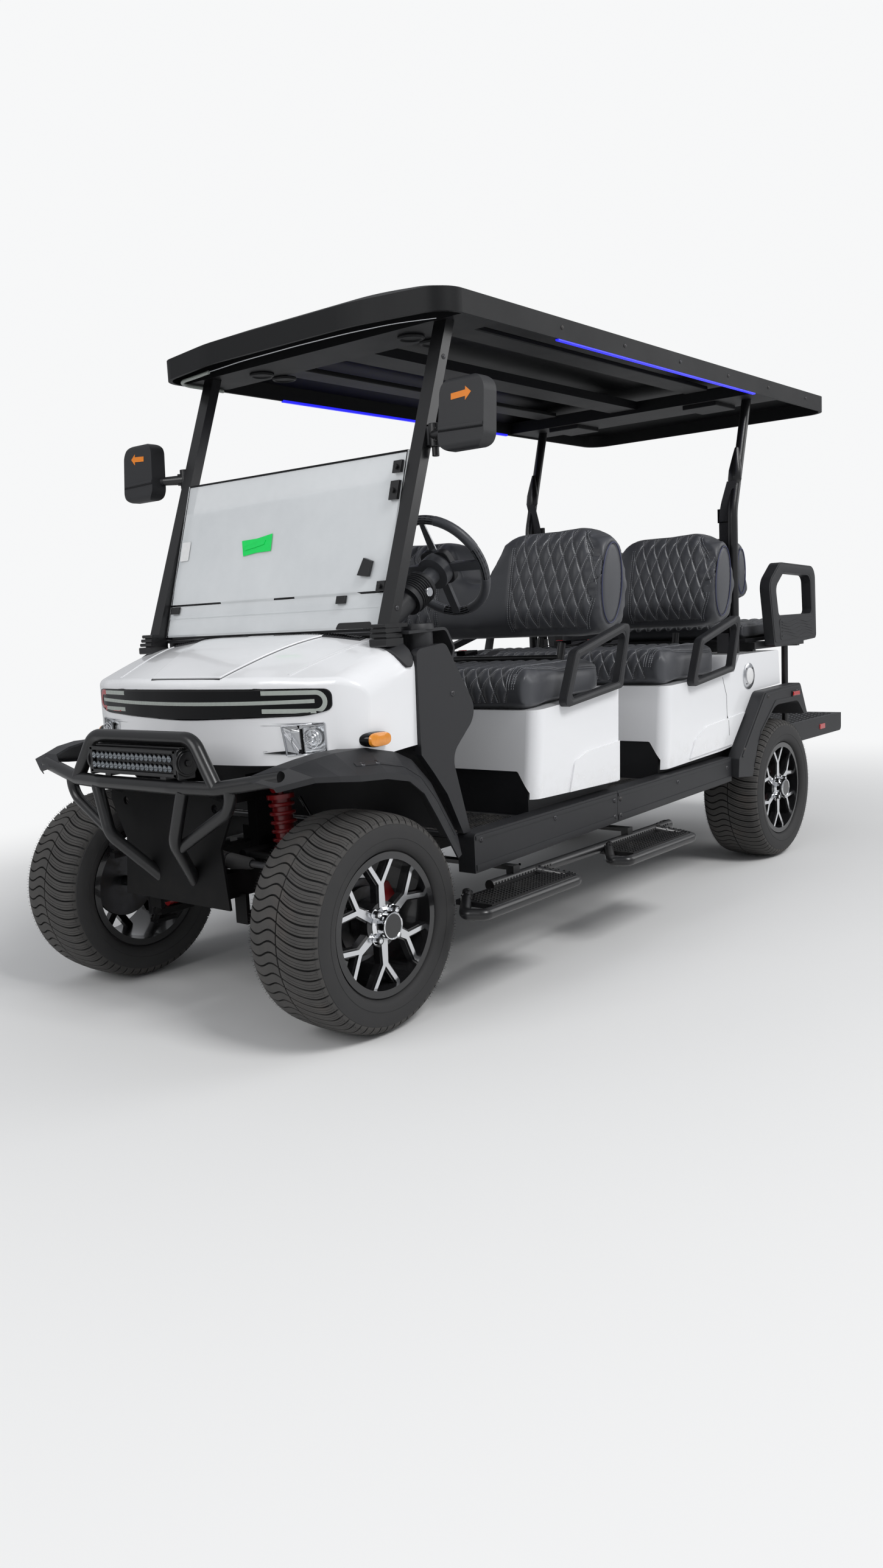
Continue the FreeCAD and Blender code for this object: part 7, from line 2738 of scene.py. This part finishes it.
@dataclass
class RunningGear:
    """Rubber bellows on the tie rods and the brake hoses."""

    folds: int = 27
    fold_pitch: float = 0.0034
    crest: float = 0.0225
    valley: float = 0.0165
    bore: float = 0.0112
    bellows_end: float = 0.100

    # a brake hose: distance behind the axle, Y, Z and bend
    HOSE: ClassVar[tuple[tuple[float, ...], ...]] = (
        (0.05, 0.262, 0.600, 0), (0.07, 0.30, 0.52, 0.05), (0.09, 0.305, 0.44, 0.05), (0.08, 0.285, 0.40, 0))

    def build(self) -> None:
        """Build the bellows and hoses."""
        bellows = Solid("tie_rod_bellows", Finish.TYRE)
        low, high = corners("tie_rods")
        x, z = (low.x + high.x) / 2, (low.z + high.z) / 2
        end = high.y - self.bellows_end
        rows = []
        for i in range(self.folds):
            radius = (self.crest if i % 2 else self.valley) * (1.0 - 0.012 * i)
            rows.append((end - self.fold_pitch * (self.folds - 1 - i), radius))
        rows += [(end, self.bore), (rows[0][0], self.bore)]
        hoses = Solid("brake_hoses", Finish.GLOSS_BLACK)
        for side in (-1, 1):
            bellows.rings([[(x + r * c, side * y, z + r * s) for c, s in circle(18)] for y, r in rows],
                          looped=True)
            path = bent([(behind(d), side * y, level, bend) for d, y, level, bend in self.HOSE], 8)
            hoses.tube(path, 0.0042, 8)
        bellows.build(angle=25, slot="tyre_rubber")
        hoses.build(angle=60, slot="black_gloss")


SUBASSEMBLIES: tuple[type, ...] = (
    Tyres, WheelTrims, Seats, FrontLamps, Hood, LightBar, Screen, Mirrors, PillarBoots, Helm, Dash, Mats,
    Belts, RoofDress, Armrests, SideTrims, Treads, RunningGear)


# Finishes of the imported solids


CARRIED: dict[Finish, tuple[str, ...]] = {
    Finish.WHITE: ("front_cowl", "seat_box_front", "rear_body"),
    Finish.CHARCOAL: ("front_flares", "rear_flares", "cowl_trims", "dashboard", "rockers_front",
                      "rockers_rear",
                      "floor_pan", "kick_plates", "armrests", "rear_armrests", "rear_footrest", "mirrors",
                      "rear_deck", "steering_column", "pedals"),
    Finish.ROOF: ("roof", "roof_liner"),
    Finish.POWDER: ("front_bumper", "pillars", "roof_posts", "seat_frames", "rear_seat_frame", "side_steps",
                    "light_bar"),
    Finish.CHASSIS: ("chassis_frame", "front_arms", "leaf_springs"),
    Finish.TYRE: ("tyre_front_left", "tyre_front_right", "tyre_rear_left", "tyre_rear_right"),
    Finish.WHEEL: ("rim_front_left", "rim_front_right", "rim_rear_left", "rim_rear_right"),
    Finish.LEATHER: ("front_seat_cushion", "mid_seat_cushion", "front_seat_back", "mid_seat_back",
                     "rear_seat_back", "rear_seat_cushion", "steering_wheel"),
    Finish.GLOSS_BLACK: ("lamp_band", "side_markers"),
    Finish.BEZEL: ("headlamps",),
    Finish.RED: ("tail_lamps",),
    Finish.SCREEN: ("windscreen",),
    Finish.SPRING: ("coil_overs",),
    Finish.STEEL: ("knuckle_left", "knuckle_right", "tie_rods", "steering_rack", "rear_axle"),
    Finish.WEBBING: ("seat_belts",),
    Finish.BATTERY: ("battery",),
}


def dress_nodes() -> None:
    """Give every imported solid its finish."""
    for finish, nodes in CARRIED.items():
        for node in nodes:
            for place in FRAME["nodes"][node].material_slots:
                place.material = PALETTE.get(finish)
        log.info("%s on %d solids", finish.value, len(nodes))


# Stage


@dataclass
class Studio:
    """Pale floor, soft lamps and the camera."""

    floor_half: float = 30.0
    floor_colour: Colour = (0.8, 0.8, 0.795)
    backdrop: Colour = (0.93, 0.935, 0.94)
    fade: tuple[float, float] = (1.3, 3.6)
    eye: Point = (3.6808, 2.5869, 1.0665)
    yaw: float = math.radians(219.45)
    pitch: float = math.radians(-8.08)
    roll: float = math.radians(-2.83)
    focal_pixels: float = 1912.0
    frame_width: float = 1450.0
    sensor: float = 36.0

    def camera(self) -> None:
        """Set the camera at the photograph's place and angle."""
        look = Vector((math.cos(self.yaw) * math.cos(self.pitch), math.sin(self.yaw) * math.cos(self.pitch),
                       math.sin(self.pitch)))
        right = look.cross(Vector((0, 0, 1))).normalized()
        up = right.cross(look)
        turned_right = right * math.cos(self.roll) + up * math.sin(self.roll)
        turned_up = up * math.cos(self.roll) - right * math.sin(self.roll)
        data = bpy.data.cameras.new("camera")
        data.sensor_fit = "HORIZONTAL"
        data.sensor_width = self.sensor
        data.lens = self.focal_pixels / self.frame_width * self.sensor
        data.clip_end = 200.0
        holder = new_object("camera", data)
        basis = Matrix((turned_right, turned_up, -look)).transposed().to_4x4()
        basis.translation = Vector(self.eye)
        holder.matrix_world = basis
        bpy.context.scene.camera = holder

    def floor(self) -> None:
        """A plain pale floor that fades into the backdrop away from the cart, for the camera alone."""
        graph = Graph("studio_floor")
        mottle = graph.noise(0.6, 3.0)
        base = graph.blend(mottle, tuple(c * 0.97 for c in self.floor_colour), self.floor_colour)
        lit = graph.node("ShaderNodeBsdfPrincipled", {}, {"Base Color": base, "Roughness": 0.85})
        pale = graph.node("ShaderNodeEmission", {}, {"Color": self.backdrop, "Strength": 1.0})
        x, y, _ = graph.axes()
        reach = (x * x * 0.45 + y * y) ** 0.5
        seen = graph.node("ShaderNodeLightPath", output="Is Camera Ray")
        mix = graph.node("ShaderNodeMixShader", {}, {0: reach.ramp(*self.fade) * seen, 1: lit, 2: pale})
        out = graph.tree.nodes.new("ShaderNodeOutputMaterial")
        graph.tree.links.new(mix.socket, out.inputs["Surface"])
        half = self.floor_half
        mesh = bpy.data.meshes.new("floor")
        mesh.from_pydata([(-half, -half, 0), (half, -half, 0), (half, half, 0), (-half, half, 0)], [],
                         [(0, 1, 2, 3)])
        mesh.materials.append(graph.material)
        new_object("floor", mesh)

    def lamp(self, name: str, place: Point, target: Point, width: float, power: float) -> None:
        """One soft square lamp aimed at a place."""
        data = bpy.data.lights.new(name, "AREA")
        data.shape = "SQUARE"
        data.size = width
        data.energy = power
        aim = (Vector(target) - Vector(place)).to_track_quat("-Z", "Y")
        new_object(name, data).matrix_world = Matrix.Translation(Vector(place)) @ aim.to_matrix().to_4x4()

    def world(self) -> None:
        """Plain soft light all round, white to the camera and in reflections."""
        world = bpy.data.worlds.new("studio")
        world.use_nodes = True
        tree = world.node_tree
        tree.nodes.clear()
        path = tree.nodes.new("ShaderNodeLightPath")
        seen = tree.nodes.new("ShaderNodeMath")
        seen.operation = "MAXIMUM"
        tree.links.new(path.outputs["Is Camera Ray"], seen.inputs[0])
        tree.links.new(path.outputs["Is Transmission Ray"], seen.inputs[1])
        light = tree.nodes.new("ShaderNodeBackground")
        light.inputs[0].default_value = (0.94, 0.96, 1.0, 1.0)
        light.inputs[1].default_value = 0.42
        shown = tree.nodes.new("ShaderNodeBackground")
        shown.inputs[0].default_value = (*self.backdrop, 1.0)
        shown.inputs[1].default_value = 1.0
        mix = tree.nodes.new("ShaderNodeMixShader")
        out = tree.nodes.new("ShaderNodeOutputWorld")
        tree.links.new(seen.outputs[0], mix.inputs[0])
        tree.links.new(light.outputs[0], mix.inputs[1])
        tree.links.new(shown.outputs[0], mix.inputs[2])
        tree.links.new(mix.outputs[0], out.inputs[0])
        bpy.context.scene.world = world

    def build(self) -> None:
        """Set up the whole stage."""
        self.camera()
        self.floor()
        self.lamp("key", (1.5, 6.5, 7.5), (0.0, 0.0, 0.7), 3.0, 430.0)
        self.lamp("front", (7.5, -1.0, 4.5), (0.5, 0.0, 0.7), 4.0, 170.0)
        self.lamp("fill", (-5.0, 4.5, 4.0), (-0.5, 0.0, 0.8), 4.0, 110.0)
        self.world()
        bpy.context.scene.view_settings.view_transform = "Standard"


def main() -> None:
    """Dress the whole cart."""
    logging.basicConfig(level=logging.INFO, format="%(message)s")
    FRAME.update(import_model())
    Studio().build()
    dress_nodes()
    for make in SUBASSEMBLIES:
        make().build()


if __name__ == "__main__":
    main()
